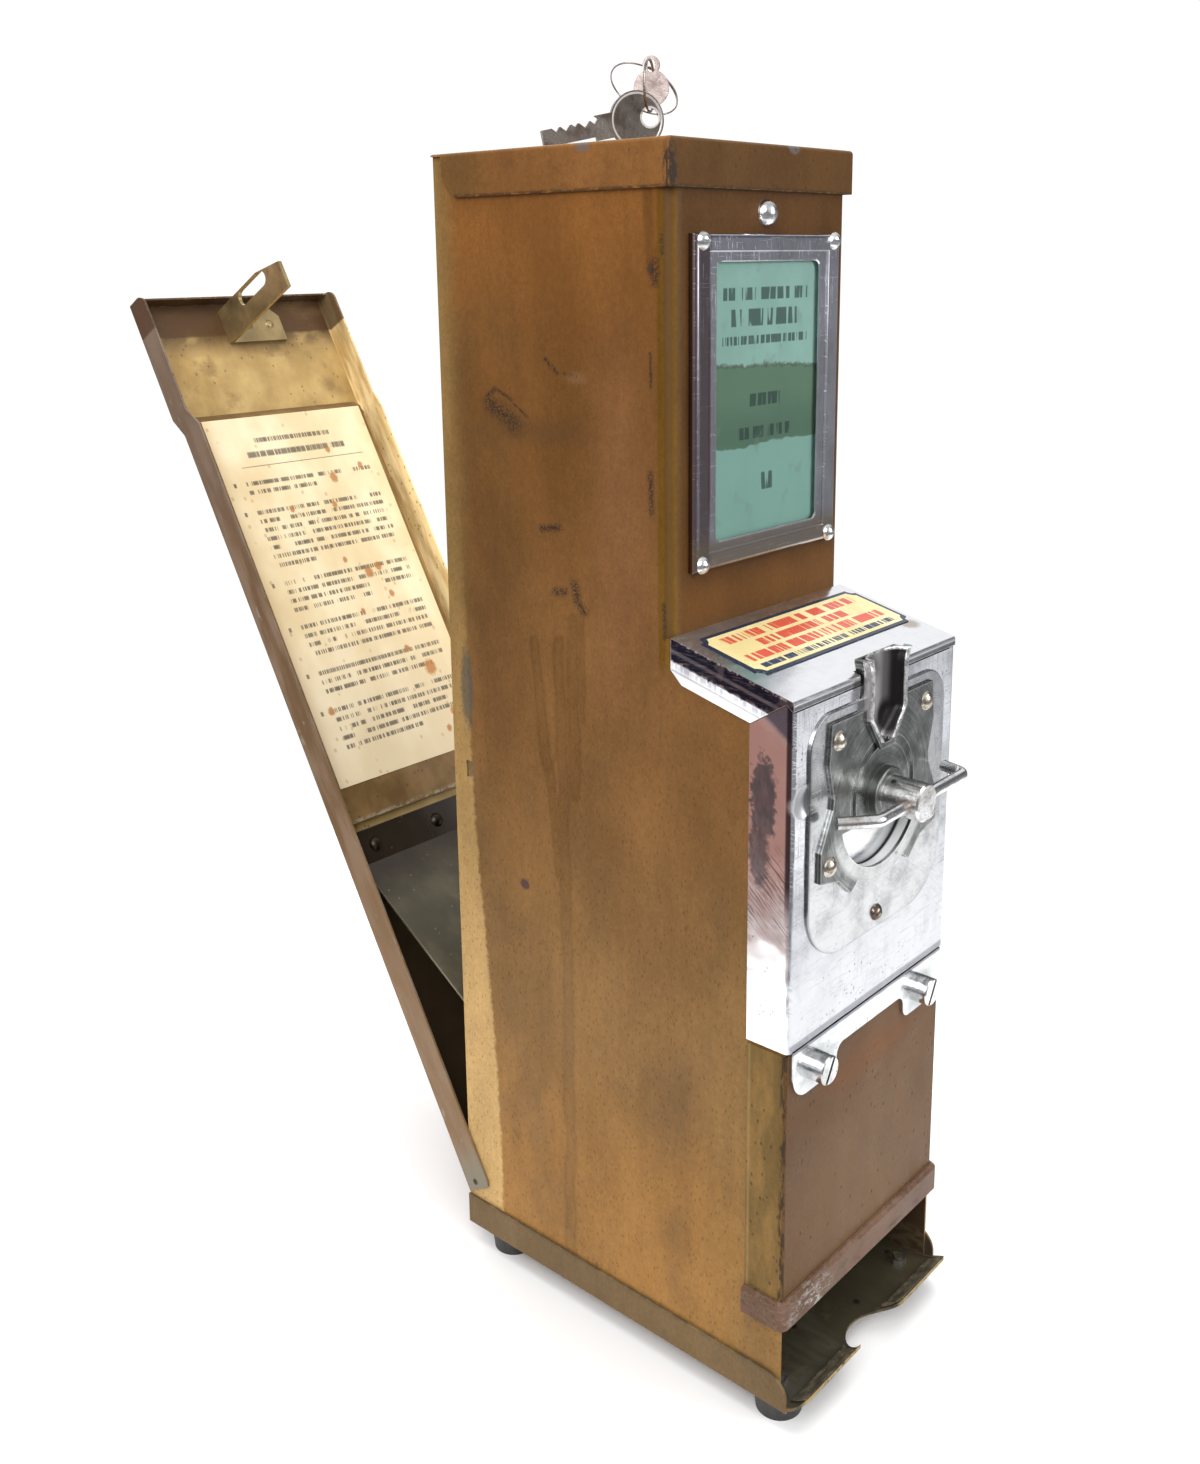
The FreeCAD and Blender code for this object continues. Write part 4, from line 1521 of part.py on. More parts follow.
def make_coin_disc():
    """Disc behind the window with one pocket that carries the coin."""
    body = new_body("coin_disc")
    rear = "disc_depth - disc_thickness"
    pad(body, circles(body, "XZ_Plane", [("0", "shaft_height")], "disc_radius", rear), "disc_thickness")
    seat = "shaft_height + disc_radius - coin_radius * 0.6"
    pocket_half = "coin_radius + coin_gap"
    cut(body, circles(body, "XZ_Plane", [("0", seat)], pocket_half, "disc_depth + 5"), "20")
    mouth = rectangle(f"-({pocket_half})", pocket_half, seat, "shaft_height + disc_radius + 5")
    cut(body, front_outline(body, mouth, "disc_depth + 5"), "20")
    cut(body, circles(body, "XZ_Plane", [("0", "shaft_height")], "shaft_radius", "disc_depth + 5"), "20")


# ---------------------------------------------------------------- lock
def make_lock():
    x, depth = V["lock_at"], V["lock_depth"]
    top = V["housing_top"] + V["cap_sheet"]
    axis = Vector(x, -depth, V["lock_bottom"])
    barrel = rod_shape(V["lock_radius"], axis, Z_AXIS, top - V["lock_bottom"])
    rim = Part.makeCone(V["lock_rim"], V["lock_rim"] - 0.8, V["lock_rim_height"], Vector(x, -depth, top),
                        Z_AXIS)
    bore = rod_shape(V["plug_radius"] + V["pin_gap"], axis - Z_AXIS * 5, Z_AXIS, 30)
    add_feature("lock_body", barrel.fuse(rim).cut(bore).removeSplitter())
    nut = hexagon(V["lock_nut_flats"] / 2, V["lock_nut_height"],
                  Vector(x, -depth, V["housing_top"] - V["lock_nut_height"]), Z_AXIS)
    add_feature("lock_nut", nut.cut(rod_shape(V["lock_radius"], axis - Z_AXIS * 5, Z_AXIS, 30)))
    plug_top = top + V["lock_rim_height"] - 0.3
    plug = rod_shape(V["plug_radius"], Vector(x, -depth, V["lock_bottom"] - 0.3), Z_AXIS,
                     plug_top - V["lock_bottom"] + 0.3)
    key_way = Part.makeBox(1.8, 8.4, 5, Vector(x - 0.9, -depth - 4.2, plug_top - 4))
    square = Part.makeBox(6, 6, V["lock_cam_sheet"] + 0.4, Vector(x - 3, -depth - 3, lock_cam_bottom() - 0.4))
    add_feature("lock_plug", plug.cut(key_way).fuse(square).removeSplitter())
    half = V["lock_cam_width"] / 2
    cam = stadium(Vector(x, -depth, lock_cam_bottom()),
                  Vector(x, -(depth + V["lock_cam_length"] - half), lock_cam_bottom()), half, V["lock_cam_sheet"])
    socket = Part.makeBox(6, 6, 10, Vector(x - 3, -depth - 3, lock_cam_bottom() - 4))
    add_feature("lock_cam", cam.cut(socket))
    screw_top = lock_cam_bottom() - 0.4
    head = Part.makeCone(3.6, 4.4, 1.6, Vector(x, -depth, screw_top - 1.6), Z_AXIS)
    add_feature("cam_screw", head)


def lock_cam_bottom():
    return V["lock_bottom"] - 0.3 - V["lock_cam_sheet"]


# ---------------------------------------------------------------- door
def make_door():
    """Door with side flanges; its crown steps outwards to close over the cap."""
    door = doc.addObject("Part::Cut", "door_panel")
    door.Base = door_block("door_outside", "door_sheet")
    door.Tool = door_block("door_inside", "0")
    NODES["door_panel"] = door


def door_block(name, grown):
    """The door's outside form, or the hollow that is left inside its sheet."""
    solid = grown != "0"
    low_half = f"{HALF} + door_gap + {grown}"
    high_half = f"{low_half} + door_flare"
    bottom = "door_bottom" if solid else "door_bottom - 10"
    low_rear = f"-(door_gap + {grown})"
    high_rear = f"{low_rear} - door_joggle"
    low_front = "door_side - (door_gap + door_sheet)"
    high_front = "door_crown_side - (door_gap + door_sheet + door_joggle)"

    section = doc.addObject("PartDesign::Body", name + "_section")
    if solid:
        profile = [(low_rear, bottom), (low_front, bottom), (low_front, "joggle_start"),
                   (high_front, "joggle_end"), (high_front, "door_top"), (high_rear, "door_top"),
                   (high_rear, "joggle_end"), (low_rear, "joggle_start")]
    else:
        lip = "door_top_flange - (door_gap + door_sheet + door_joggle)"
        profile = [(low_rear, bottom), ("door_side + 5", bottom), ("door_side + 5", "door_top + 5"),
                   (lip, "door_top + 5"), (lip, "door_top - door_sheet"), (high_rear, "door_top - door_sheet"),
                   (high_rear, "joggle_end"), (low_rear, "joggle_start")]
    pad(section, side_outline(section, profile), "housing_width + 20", midplane=True)
    if solid:
        front_y = -(V["door_crown_side"] - V["door_gap"] - V["door_sheet"] - V["door_joggle"])
        round_edges(section, "door_crown_round", lambda e: runs_along(e, X_AXIS)
                    and lies_at(e, y=front_y, z=V["door_top"]))
        front_y = -(V["door_side"] - V["door_gap"] - V["door_sheet"])
        round_edges(section, "door_foot_round", lambda e: runs_along(e, X_AXIS)
                    and lies_at(e, y=front_y, z=V["door_bottom"]))
        hinge = circles(section, "YZ_Plane", [("-hinge_depth", "hinge_height")], "hinge_radius")
        cut(section, hinge, "housing_width + 30", midplane=True)

    face = doc.addObject("PartDesign::Body", name + "_face")
    right = [(low_half, bottom), (low_half, "joggle_start"), (high_half, "joggle_end"),
             (high_half, "door_top + 5")]
    left = [(f"-({x})", z) for x, z in reversed(right)]
    pad(face, front_outline(face, right + left, "-20"), "60")
    if solid:
        cut(face, circles(face, "XZ_Plane", deflector_screw_centres(), "deflector_screw_shank", "50"), "100")
        cut(face, circles(face, "XZ_Plane", hasp_rivet_centres(), "hasp_rivet", "50"), "100")

    block = doc.addObject("Part::MultiCommon", name)
    block.Shapes = [section, face]
    return block


def deflector_screw_centres():
    return [("-deflector_screw_reach", "deflector_screw_height"), ("0", "deflector_screw_height"),
            ("deflector_screw_reach", "deflector_screw_height")]


def hasp_rivet_centres():
    middle = "(hasp_bottom + hasp_top) / 2"
    return [(f"hasp_bend_at + hasp_base_width * {share}", middle) for share in ("0.4", "0.78")]


def make_liner():
    """Raised liner spot-welded inside the door, with a sloping top edge."""
    body = new_body("door_liner")
    face = "liner_rise - door_gap"
    outer = [("-door_gap", "liner_bottom"), (face, "liner_bottom"), (face, "liner_top - liner_rise"),
             ("-door_gap", "liner_top")]
    pad(body, side_outline(body, outer), "liner_width", midplane=True)
    inner = [("-5", "liner_bottom - 5"), (f"{face} - liner_sheet", "liner_bottom - 5"),
             (f"{face} - liner_sheet", "liner_top - liner_rise - liner_sheet * 0.4"),
             ("-door_gap", "liner_top - liner_sheet * 1.4"), ("-5", "liner_top - liner_sheet * 1.4")]
    cut(body, side_outline(body, inner), "liner_width - 2 * liner_sheet", midplane=True)


def make_label():
    body = new_body("instruction_sheet")
    half = "label_width / 2"
    depth = "liner_rise - door_gap"
    shape = rectangle(f"-({half})", half, "label_bottom", "label_top")
    pad(body, front_outline(body, shape, depth), "label_sheet")


def make_deflector():
    """Sloping plate that throws a fallen folder forward to the ramp, screwed to the door."""
    body = new_body("deflector_plate")
    drop = "(deflector_reach + door_gap) * tan(deflector_slope)"
    thick = "deflector_sheet"
    lift = "deflector_sheet / cos(deflector_slope)"
    profile = [("-door_gap", "deflector_flange_top"), (f"{thick} - door_gap", "deflector_flange_top"),
               (f"{thick} - door_gap", f"deflector_bend - {thick} * tan(deflector_slope) + {lift}"),
               ("deflector_reach", f"deflector_bend - {drop} + {lift}"),
               ("deflector_reach", f"deflector_bend - {drop}"), ("-door_gap", "deflector_bend")]
    pad(body, side_outline(body, profile), "deflector_width", midplane=True)
    cut(body, circles(body, "XZ_Plane", deflector_screw_centres(), "1.6", "20"), "40")
    screws = []
    for x in (-V["deflector_screw_reach"], 0, V["deflector_screw_reach"]):
        z = V["deflector_screw_height"]
        seat = Vector(x, V["door_gap"] - V["deflector_sheet"], z)
        head = dome_shape(V["deflector_screw_head"], 2.2, seat, FORWARD)
        rear = V["door_gap"] + V["door_sheet"]
        shank = rod_shape(1.6, Vector(x, rear, z), FORWARD, rear - seat.y)
        screws.append(head.fuse(shank).removeSplitter())
    add_feature("deflector_screws", Part.makeCompound(screws))


def make_hasp():
    """Angle bracket at the door's crown; the lock's cam enters the slot of its standing leg."""
    body = new_body("hasp_bracket")
    rear = "-(door_gap + door_joggle)"
    base = rectangle("hasp_bend_at", "hasp_bend_at + hasp_base_width", "hasp_bottom", "hasp_top")
    pad(body, front_outline(body, base, rear), "hasp_sheet")
    chamfer_x = V["hasp_bend_at"] + V["hasp_base_width"]
    chamfer_z = V["hasp_top"]
    round_edges(body, "5", lambda e: runs_along(e, Y_AXIS) and lies_at(e, x=chamfer_x, z=chamfer_z),
                kind="Chamfer")
    leg = [(rear, "hasp_bottom"), ("hasp_reach", "hasp_bottom"), ("hasp_reach", "hasp_top - hasp_tip"),
           ("hasp_shoulder", "hasp_top"), (rear, "hasp_top")]
    pad(body, side_outline(body, leg, "hasp_bend_at"), "hasp_sheet")
    wide = "hasp_slot_width / 2"
    start, end = f"hasp_slot_start + {wide}", f"hasp_slot_end - {wide}"
    outline_points = rectangle(start, end, f"hasp_slot_height - {wide}", f"hasp_slot_height + {wide}")
    slot = side_outline(body, outline_points)
    cut(body, slot, "60", midplane=True)
    end_centres = [(f"-({place})", "hasp_slot_height") for place in (start, end)]
    ends = circles(body, "YZ_Plane", end_centres, wide)
    cut(body, ends, "60", midplane=True)
    cut(body, circles(body, "XZ_Plane", hasp_rivet_centres(), "1.5", "20"), "40")
    rivets = []
    inner = -(V["door_gap"] + V["door_joggle"]) + V["hasp_sheet"]
    rear_face = -(V["door_gap"] + V["door_joggle"] + V["door_sheet"])
    for share in (0.4, 0.78):
        x = V["hasp_bend_at"] + V["hasp_base_width"] * share
        z = (V["hasp_bottom"] + V["hasp_top"]) / 2
        shank = rod_shape(1.5, Vector(x, -rear_face, z), FORWARD, inner - rear_face)
        head = dome_shape(2.6, 1.1, Vector(x, -inner, z), FORWARD)
        rivets.append(shank.fuse(head).removeSplitter())
    add_feature("hasp_rivets", Part.makeCompound(rivets))


def make_hinge():
    half = half_width + V["door_gap"] + V["door_sheet"]
    rod = rod_shape(V["hinge_radius"], Vector(-half, -V["hinge_depth"], V["hinge_height"]), X_AXIS, 2 * half)
    add_feature("hinge_rod", rod)


# ---------------------------------------------------------------- keys on the cap
def make_keys():
    """A key stood on its edge on the cap, and a tag that hangs from its ring."""
    bow, length, thick = V["key_bow"], V["key_length"], V["key_sheet"]
    half_blade = V["key_blade"] / 2
    cap_top = V["housing_top"] + V["cap_sheet"]
    along = Rotation(Z_AXIS, V["key_heading"]).multVec(X_AXIS)
    dip = math.degrees(math.asin((bow - half_blade) / length))

    blank = Part.makeCylinder(bow, thick).fuse(
        Part.makeBox(length - bow * 0.5, V["key_blade"], thick, Vector(bow * 0.5, -half_blade, 0)))
    shoulder = Part.makeBox(bow, V["key_blade"] + 3, thick, Vector(bow * 0.6, -half_blade - 1.5, 0))
    blank = blank.fuse(shoulder)
    bite_step = V["key_length"] / 10
    for count, depth in enumerate((1.3, 1.9, 1.1, 1.7, 1.4)):
        place = (4.5 + count) * bite_step
        bite = Part.makeBox(depth * 2, depth * 2, thick + 2, Vector(-depth, -depth, -1))
        bite.rotate(Vector(0, 0, 0), Z_AXIS, 45)
        bite.translate(Vector(place, half_blade + depth * 0.3, 0))
        blank = blank.cut(bite)
    rim_step = Part.makeCylinder(bow - 1, 0.4)
    for face in (-0.1, thick - 0.3):
        dish = rim_step.copy()
        dish.translate(Vector(0, 0, face))
        blank = blank.cut(dish)
    hole = Part.makeCylinder(V["key_hole"], thick + 2, Vector(-V["key_hole_shift"], 0, -1))
    key = blank.cut(hole).removeSplitter()
    key.translate(Vector(0, 0, -thick / 2))
    centre = Vector(V["key_at"], -V["key_depth"], cap_top + bow + V["lap_gap"])
    turn = Rotation(Z_AXIS, V["key_heading"]).multiply(Rotation(Y_AXIS, dip)).multiply(Rotation(X_AXIS, 90))
    key.Placement = Placement(centre, turn)
    add_feature("round_key", key)

    shift = Vector(-V["key_hole_shift"], V["key_hole"] - V["ring_wire"] - V["ring_slack"], 0)
    threaded = centre + turn.multVec(shift)
    tangent = Rotation(Z_AXIS, V["ring_turn"]).multVec(along)
    radius = V["ring_radius"]
    ring_centre = threaded + Z_AXIS * radius
    add_feature("key_ring", Part.makeTorus(radius, V["ring_wire"], ring_centre, tangent.cross(Z_AXIS)))

    hang = math.radians(V["tag_hang"])
    held = ring_centre + Z_AXIS * (radius * math.cos(hang)) - tangent * (radius * math.sin(hang))
    ear, slot, thick = V["tag_ear"], V["tag_slot"], V["tag_sheet"]
    tag = Part.makeCylinder(V["tag_radius"], thick)
    tag = tag.fuse(Part.makeCylinder(ear, thick, Vector(0, V["tag_radius"] + ear * 0.5, 0)))
    low = Vector(0, V["tag_radius"] + ear * 0.1, -1)
    high = Vector(0, V["tag_radius"] + ear * 0.7, -1)
    tag = tag.cut(stadium(low, high, slot / 2, thick + 2)).removeSplitter()
    tag.translate(Vector(0, 0, -thick / 2))
    tag_turn = Rotation(Z_AXIS, V["key_heading"] + V["tag_turn"]).multiply(Rotation(X_AXIS, 90))
    grip = Vector(0, high.y + slot / 2 - V["ring_wire"] - V["ring_slack"], 0)
    tag.Placement = Placement(held - tag_turn.multVec(grip), tag_turn)
    add_feature("key_tag", tag)


# ---------------------------------------------------------------- the whole machine
FIXED_PARTS = (make_housing, make_front_panel, make_cap, make_base_pan, make_band, make_ramp, make_shelf,
               make_cover, make_hood, make_decal, make_strap, make_fixing_screws, make_coin_plate,
               make_coin_head, make_collar, make_rivets, make_window, make_window_screws, make_cap_bolt,
               make_feet, make_mechanism_frame, make_bearing_plate, make_bed, make_chute, make_chute_bracket,
               make_guide_rod, make_hopper, make_cash_box, make_keys)
MOVING_PARTS = (make_follower, make_ejector, make_pinion, make_rack, make_shaft, make_handle, make_coin_disc,
                make_lock)
DOOR_PARTS = (make_door, make_liner, make_label, make_deflector, make_hasp, make_hinge)

for make in FIXED_PARTS + MOVING_PARTS:
    make()
upright_nodes = set(NODES)
for make in DOOR_PARTS:
    make()
doc.recompute()


def open_door_corner():
    """How far behind the housing's rear edge the open door's top corner reaches."""
    angle = math.radians(V["door_angle"])
    behind = V["door_gap"] + V["door_sheet"] + V["door_joggle"] + V["hinge_depth"]
    above = V["door_top"] - V["hinge_height"]
    return behind * math.cos(angle) + above * math.sin(angle) - V["hinge_depth"]


middle_depth = (V["shaft_front"] - open_door_corner()) / 2
to_origin = Placement(Vector(0, middle_depth, V["foot_height"]), Rotation())
hinge_line = Vector(0, -V["hinge_depth"], V["hinge_height"])
swing = Placement(Vector(0, 0, 0), Rotation(X_AXIS, -V["door_angle"]), hinge_line)
for label, item in NODES.items():
    place = to_origin if label in upright_nodes else to_origin.multiply(swing)
    item.Placement = place.multiply(item.Placement)
doc.recompute()

for item in doc.Objects:
    if "Invalid" in item.State or "Error" in item.State:
        raise RuntimeError(f"{item.Label} failed: {item.State}")
for label, item in NODES.items():
    if item.Shape.isNull() or not item.Shape.isValid():
        raise RuntimeError(f"{label} has no valid shape")

os.makedirs("parts", exist_ok=True)
for label, item in NODES.items():
    item.Shape.exportStep(os.path.join("parts", label + ".step"))
print(len(NODES), "parts written")
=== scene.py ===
import functools
import math

import bmesh
import bpy
from mathutils import Matrix, Vector


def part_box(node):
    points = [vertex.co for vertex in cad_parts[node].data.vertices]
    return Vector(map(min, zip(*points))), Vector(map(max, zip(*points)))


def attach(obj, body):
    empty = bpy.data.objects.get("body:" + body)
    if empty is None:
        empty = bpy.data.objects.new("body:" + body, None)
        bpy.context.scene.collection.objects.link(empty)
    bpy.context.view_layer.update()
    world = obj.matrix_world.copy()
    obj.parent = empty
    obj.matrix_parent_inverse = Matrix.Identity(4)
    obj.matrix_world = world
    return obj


# Looks for the counter-top vending machine for stamp folders.  Metres, Z up, front
# towards -Y.  Shader places are in millimetres: X from the middle, depth forward
# from the housing's rear edge and height above the base pan, with the door shut.

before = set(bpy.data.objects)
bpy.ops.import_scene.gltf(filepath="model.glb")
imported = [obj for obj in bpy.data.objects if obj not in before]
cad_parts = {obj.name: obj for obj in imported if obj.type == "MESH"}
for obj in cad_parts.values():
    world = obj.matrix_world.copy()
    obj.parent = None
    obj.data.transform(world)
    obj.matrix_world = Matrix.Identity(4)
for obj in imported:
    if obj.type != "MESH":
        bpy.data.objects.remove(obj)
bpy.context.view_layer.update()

MM = 0.001
REAR_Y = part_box("housing_shell")[1].y
PAN_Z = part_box("rubber_feet")[1].z
HINGE = (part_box("hinge_rod")[0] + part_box("hinge_rod")[1]) / 2
DOOR_ANGLE = math.radians(29.5)
LACQUER_SHINE = 0.14


# ---------------------------------------------------------------- shader helpers
class Value:
    """A number or colour in a node tree; each operator and method adds a node to that tree."""

    def __init__(self, nodes, socket):
        self.nodes = nodes
        self.socket = socket

    def __add__(self, other):
        return self.nodes.math("ADD", self, other)

    def __radd__(self, other):
        return self.nodes.math("ADD", other, self)

    def __sub__(self, other):
        return self.nodes.math("SUBTRACT", self, other)

    def __rsub__(self, other):
        return self.nodes.math("SUBTRACT", other, self)

    def __mul__(self, other):
        return self.nodes.math("MULTIPLY", self, other)

    def __rmul__(self, other):
        return self.nodes.math("MULTIPLY", other, self)

    def __truediv__(self, other):
        return self.nodes.math("DIVIDE", self, other)

    def __abs__(self):
        return self.nodes.math("ABSOLUTE", self)

    def larger(self, other):
        """The larger of this and another value at each point."""
        return self.nodes.math("MAXIMUM", self, other)

    def smaller(self, other):
        """The smaller of this and another value at each point."""
        return self.nodes.math("MINIMUM", self, other)

    def step(self, low, high):
        """A smooth rise from 0 at low to 1 at high; low may be the larger one."""
        inputs = {"Value": self, "From Min": low, "From Max": high}
        return self.nodes.node("ShaderNodeMapRange", inputs, interpolation_type="SMOOTHSTEP")["Result"]

    def scale(self, low, high):
        """A number that goes from low to high as this one goes from 0 to 1."""
        inputs = {"Value": self, "To Min": low, "To Max": high}
        return self.nodes.node("ShaderNodeMapRange", inputs)["Result"]

    def inside(self, low, high, soft=0.2):
        """1 between low and high and 0 elsewhere, with soft borders."""
        return self.step(low - soft, low + soft) * self.step(high + soft, high - soft)

    def covered(self, mask, colour):
        """This colour with another laid over it where the mask is 1."""
        return self.nodes.colour(mask, self, colour)

    def shade(self, amount):
        """This colour made lighter or darker by a factor."""
        return self.nodes.shade(self, amount)


class Outputs:
    """A new node's outputs by name or number."""

    def __init__(self, nodes, node):
        self.nodes = nodes
        self.node = node

    def __getitem__(self, name):
        return Value(self.nodes, self.node.outputs[name])


def largest(values):
    """The largest of several values at each point."""
    return functools.reduce(Value.larger, values)


class Nodes:
    """A node tree, with short calls for the nodes that are used often."""

    def __init__(self, owner):
        owner.use_nodes = True
        self.tree = owner.node_tree

    def node(self, kind, inputs=None, **settings):
        """Adds a node; inputs are values by the name or number of the socket."""
        made = self.tree.nodes.new(kind)
        for name, setting in settings.items():
            setattr(made, name, setting)
        for name, value in (inputs or {}).items():
            self.put(made.inputs[name], value)
        return Outputs(self, made)

    def put(self, socket, value):
        """Links or sets one input of a node."""
        if isinstance(value, Value):
            self.tree.links.new(value.socket, socket)
        elif socket.type == "RGBA" and len(value) == 3:
            socket.default_value = (*value, 1)
        else:
            socket.default_value = value

    def math(self, operation, a, b=0.0, clamp=False):
        """A number made from one or two numbers."""
        return self.node("ShaderNodeMath", {0: a, 1: b}, operation=operation, use_clamp=clamp)[0]

    def vector(self, operation, a, b=(0, 0, 0)):
        """A vector made from one or two vectors."""
        return self.node("ShaderNodeVectorMath", {0: a, 1: b}, operation=operation)["Vector"]

    def measure(self, operation, a, b=(0, 0, 0)):
        """A number made from one or two vectors."""
        return self.node("ShaderNodeVectorMath", {0: a, 1: b}, operation=operation)["Value"]

    def colour(self, factor, a, b):
        """The colour a where the factor is 0 and b where it is 1."""
        return self.node("ShaderNodeMix", {"Factor": factor, 6: a, 7: b}, data_type="RGBA")[2]

    def shade(self, colour, amount):
        """A colour made lighter or darker by a factor."""
        inputs = {0: colour, "Scale": amount}
        return self.node("ShaderNodeVectorMath", inputs, operation="SCALE")["Vector"]


class Paint(Nodes):
    """One material, with the place on the object in millimetres."""

    def __init__(self, name, door=False):
        self.material = bpy.data.materials.new(name)
        super().__init__(self.material)
        self.shader = self.tree.nodes["Principled BSDF"]
        place = self.node("ShaderNodeTexCoord")["Object"]
        if door:
            inputs = {"Vector": place, "Center": HINGE, "Angle": DOOR_ANGLE}
            place = self.node("ShaderNodeVectorRotate", inputs, rotation_type="X_AXIS")["Vector"]
        scaled = self.vector("MULTIPLY", place, (1000, -1000, 1000))
        self.place = self.vector("ADD", scaled, (0, 1000 * REAR_Y, -1000 * PAN_Z))
        split = self.node("ShaderNodeSeparateXYZ", {"Vector": self.place})
        self.x, self.depth, self.height = split["X"], split["Y"], split["Z"]

    def away(self, centre):
        """Distance from a place in millimetres."""
        return self.measure("LENGTH", self.vector("SUBTRACT", self.place, centre))

    def join(self, **parts):
        """A vector of the parts X, Y and Z."""
        return self.node("ShaderNodeCombineXYZ", parts)[0]

    def turned(self, axis, angle):
        """The place turned round an axis through the origin."""
        inputs = {"Vector": self.place, "Angle": angle}
        return self.node("ShaderNodeVectorRotate", inputs, rotation_type=axis)["Vector"]

    def cells(self, size):
        """The place in units of a grain size, which is one number or three."""
        sizes = size if isinstance(size, tuple) else (size, size, size)
        return self.vector("MULTIPLY", self.place, tuple(1 / s for s in sizes))

    def noise(self, size, detail=3.0, rough=0.55, shift=0.0, twist=0.0):
        """Noise of about 0.5 on average, its grain size in millimetres as one number or three."""
        spread = self.cells(size)
        if shift:
            spread = self.vector("ADD", spread, (shift, shift * 0.37, -shift * 0.61))
        return self.noise_at(spread, detail, Roughness=rough, Distortion=twist)

    def noise_at(self, place, detail, **inputs):
        """Noise with a grain of one unit at a place that was already scaled."""
        inputs = {"Vector": place, "Scale": 1.0, "Detail": detail, **inputs}
        return self.node("ShaderNodeTexNoise", inputs)["Fac"]

    def specks(self, size, share, shift=0.0):
        """1 in scattered small dots, share being the part of the cells that carry one."""
        spread = self.vector("ADD", self.cells(size), (shift, shift, shift))
        cells = self.node("ShaderNodeTexVoronoi", {"Vector": spread, "Scale": 1.0})
        chosen = self.node("ShaderNodeSeparateColor", {"Color": cells["Color"]})["Red"]
        return cells["Distance"].step(0.34, 0.16) * self.math("LESS_THAN", chosen, share)

    def ramp(self, value, stops):
        """Colours along a value; stops are (value, colour) pairs from the lowest to the highest."""
        low, high = stops[0][0], stops[-1][0]
        inputs = {"Value": value, "From Min": low, "From Max": high}
        share = self.node("ShaderNodeMapRange", inputs)["Result"]
        made = self.node("ShaderNodeValToRGB", {"Fac": share})
        scale = made.node.color_ramp
        scale.interpolation = "EASE"
        while len(scale.elements) < len(stops):
            scale.elements.new(0.5)
        for element, (place, tone) in zip(scale.elements, stops):
            element.position = (place - low) / (high - low)
            element.color = (*tone, 1)
        return made["Color"]

    def normal(self):
        """The direction the surface faces."""
        return self.node("ShaderNodeNewGeometry")["Normal"]

    def edges(self, radius, low=0.97, high=0.8):
        """1 along the piece's edges, radius wide in millimetres."""
        rounded = self.node("ShaderNodeBevel", {"Radius": radius * MM}, samples=4)["Normal"]
        return self.measure("DOT_PRODUCT", rounded, self.normal()).step(low, high)

    def worn_edges(self, radius, low, high, size, detail=4.0, rough=0.55, shift=0.0):
        """1 along edges where noise lies above the two levels, 0 where it lies below them."""
        return self.edges(radius) * self.noise(size, detail, rough, shift).step(low, high)

    def facing(self, axis, low=0.5, high=0.8):
        """1 on faces that look along an axis."""
        return self.measure("DOT_PRODUCT", self.normal(), axis).step(low, high)

    def inward(self):
        """1 on the sides' inner faces, those that look towards the middle."""
        across = self.node("ShaderNodeSeparateXYZ", {"Vector": self.normal()})["X"]
        return (across * self.x).step(-20, -40)

    def spot(self, centre, radii, soft=0.35, ragged=0.0, grain=3.0):
        """1 inside a ragged round mark and 0 outside; centre is X, depth and height."""
        away = self.vector("DIVIDE", self.vector("SUBTRACT", self.place, centre), radii)
        distance = self.measure("LENGTH", away)
        if ragged:
            distance = distance + (self.noise(grain, 4.0, 0.7) - 0.5) * ragged
        return distance.step(1 + soft, 1 - soft)

    def stroke(self, start, end, width, soft=0.5, place=None):
        """1 along a straight mark from start to end, each X, depth and height."""
        start, run = Vector(start), Vector(end) - Vector(start)
        away = self.vector("SUBTRACT", place or self.place, start)
        dot = self.measure("DOT_PRODUCT", away, run)
        share = self.math("MULTIPLY", dot, 1 / run.length_squared, clamp=True)
        distance = self.measure("LENGTH", self.vector("SUBTRACT", away, self.shade(run, share)))
        return distance.step(width * (0.5 + soft), width * (0.5 - soft * 0.6))

    def bump(self, height, strength, distance=0.0004):
        """Small unevenness; distance is in metres."""
        inputs = {"Height": height, "Strength": strength, "Distance": distance}
        self.put(self.shader.inputs["Normal"], self.node("ShaderNodeBump", inputs)["Normal"])

    def finish(self, **inputs):
        """Sets the shader's sockets; names are written with underscores."""
        for name, value in inputs.items():
            self.put(self.shader.inputs[name.replace("_", " ")], value)
        return self.material

    def finish_metal(self, tone, rough, metallic=1.0):
        """Sets the sockets that make metal of a colour."""
        return self.finish(Base_Color=tone, Roughness=rough, Metallic=metallic)


def dress(material, *names):
    """Puts a material on CAD pieces."""
    for name in names:
        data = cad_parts[name].data
        if not data.materials:
            data.materials.append(material)
        for index in range(len(data.materials)):
            data.materials[index] = material


# ---------------------------------------------------------------- lacquered sheet metal
SIDE_TONES = ((0, (0.300, 0.150, 0.040)), (60, (0.275, 0.136, 0.034)), (130, (0.218, 0.116, 0.036)),
              (270, (0.190, 0.093, 0.030)), (380, (0.152, 0.068, 0.018)), (465, (0.235, 0.099, 0.024)))
SMUDGE = (0.118, 0.062, 0.020)
# Colour of the painted highlight towards the front of the side.
ROSY_HIGHLIGHT = (0.235, 0.112, 0.048)
OLIVE = (0.122, 0.062, 0.002)
FADED = (0.52, 0.335, 0.130)
FADED_HIGH = (0.250, 0.155, 0.053)
FRONT_TONE = (0.100, 0.044, 0.012)
PANEL_TONE = (0.108, 0.055, 0.022)
CHIP = (0.028, 0.024, 0.022)
DIRT = (0.055, 0.026, 0.010)


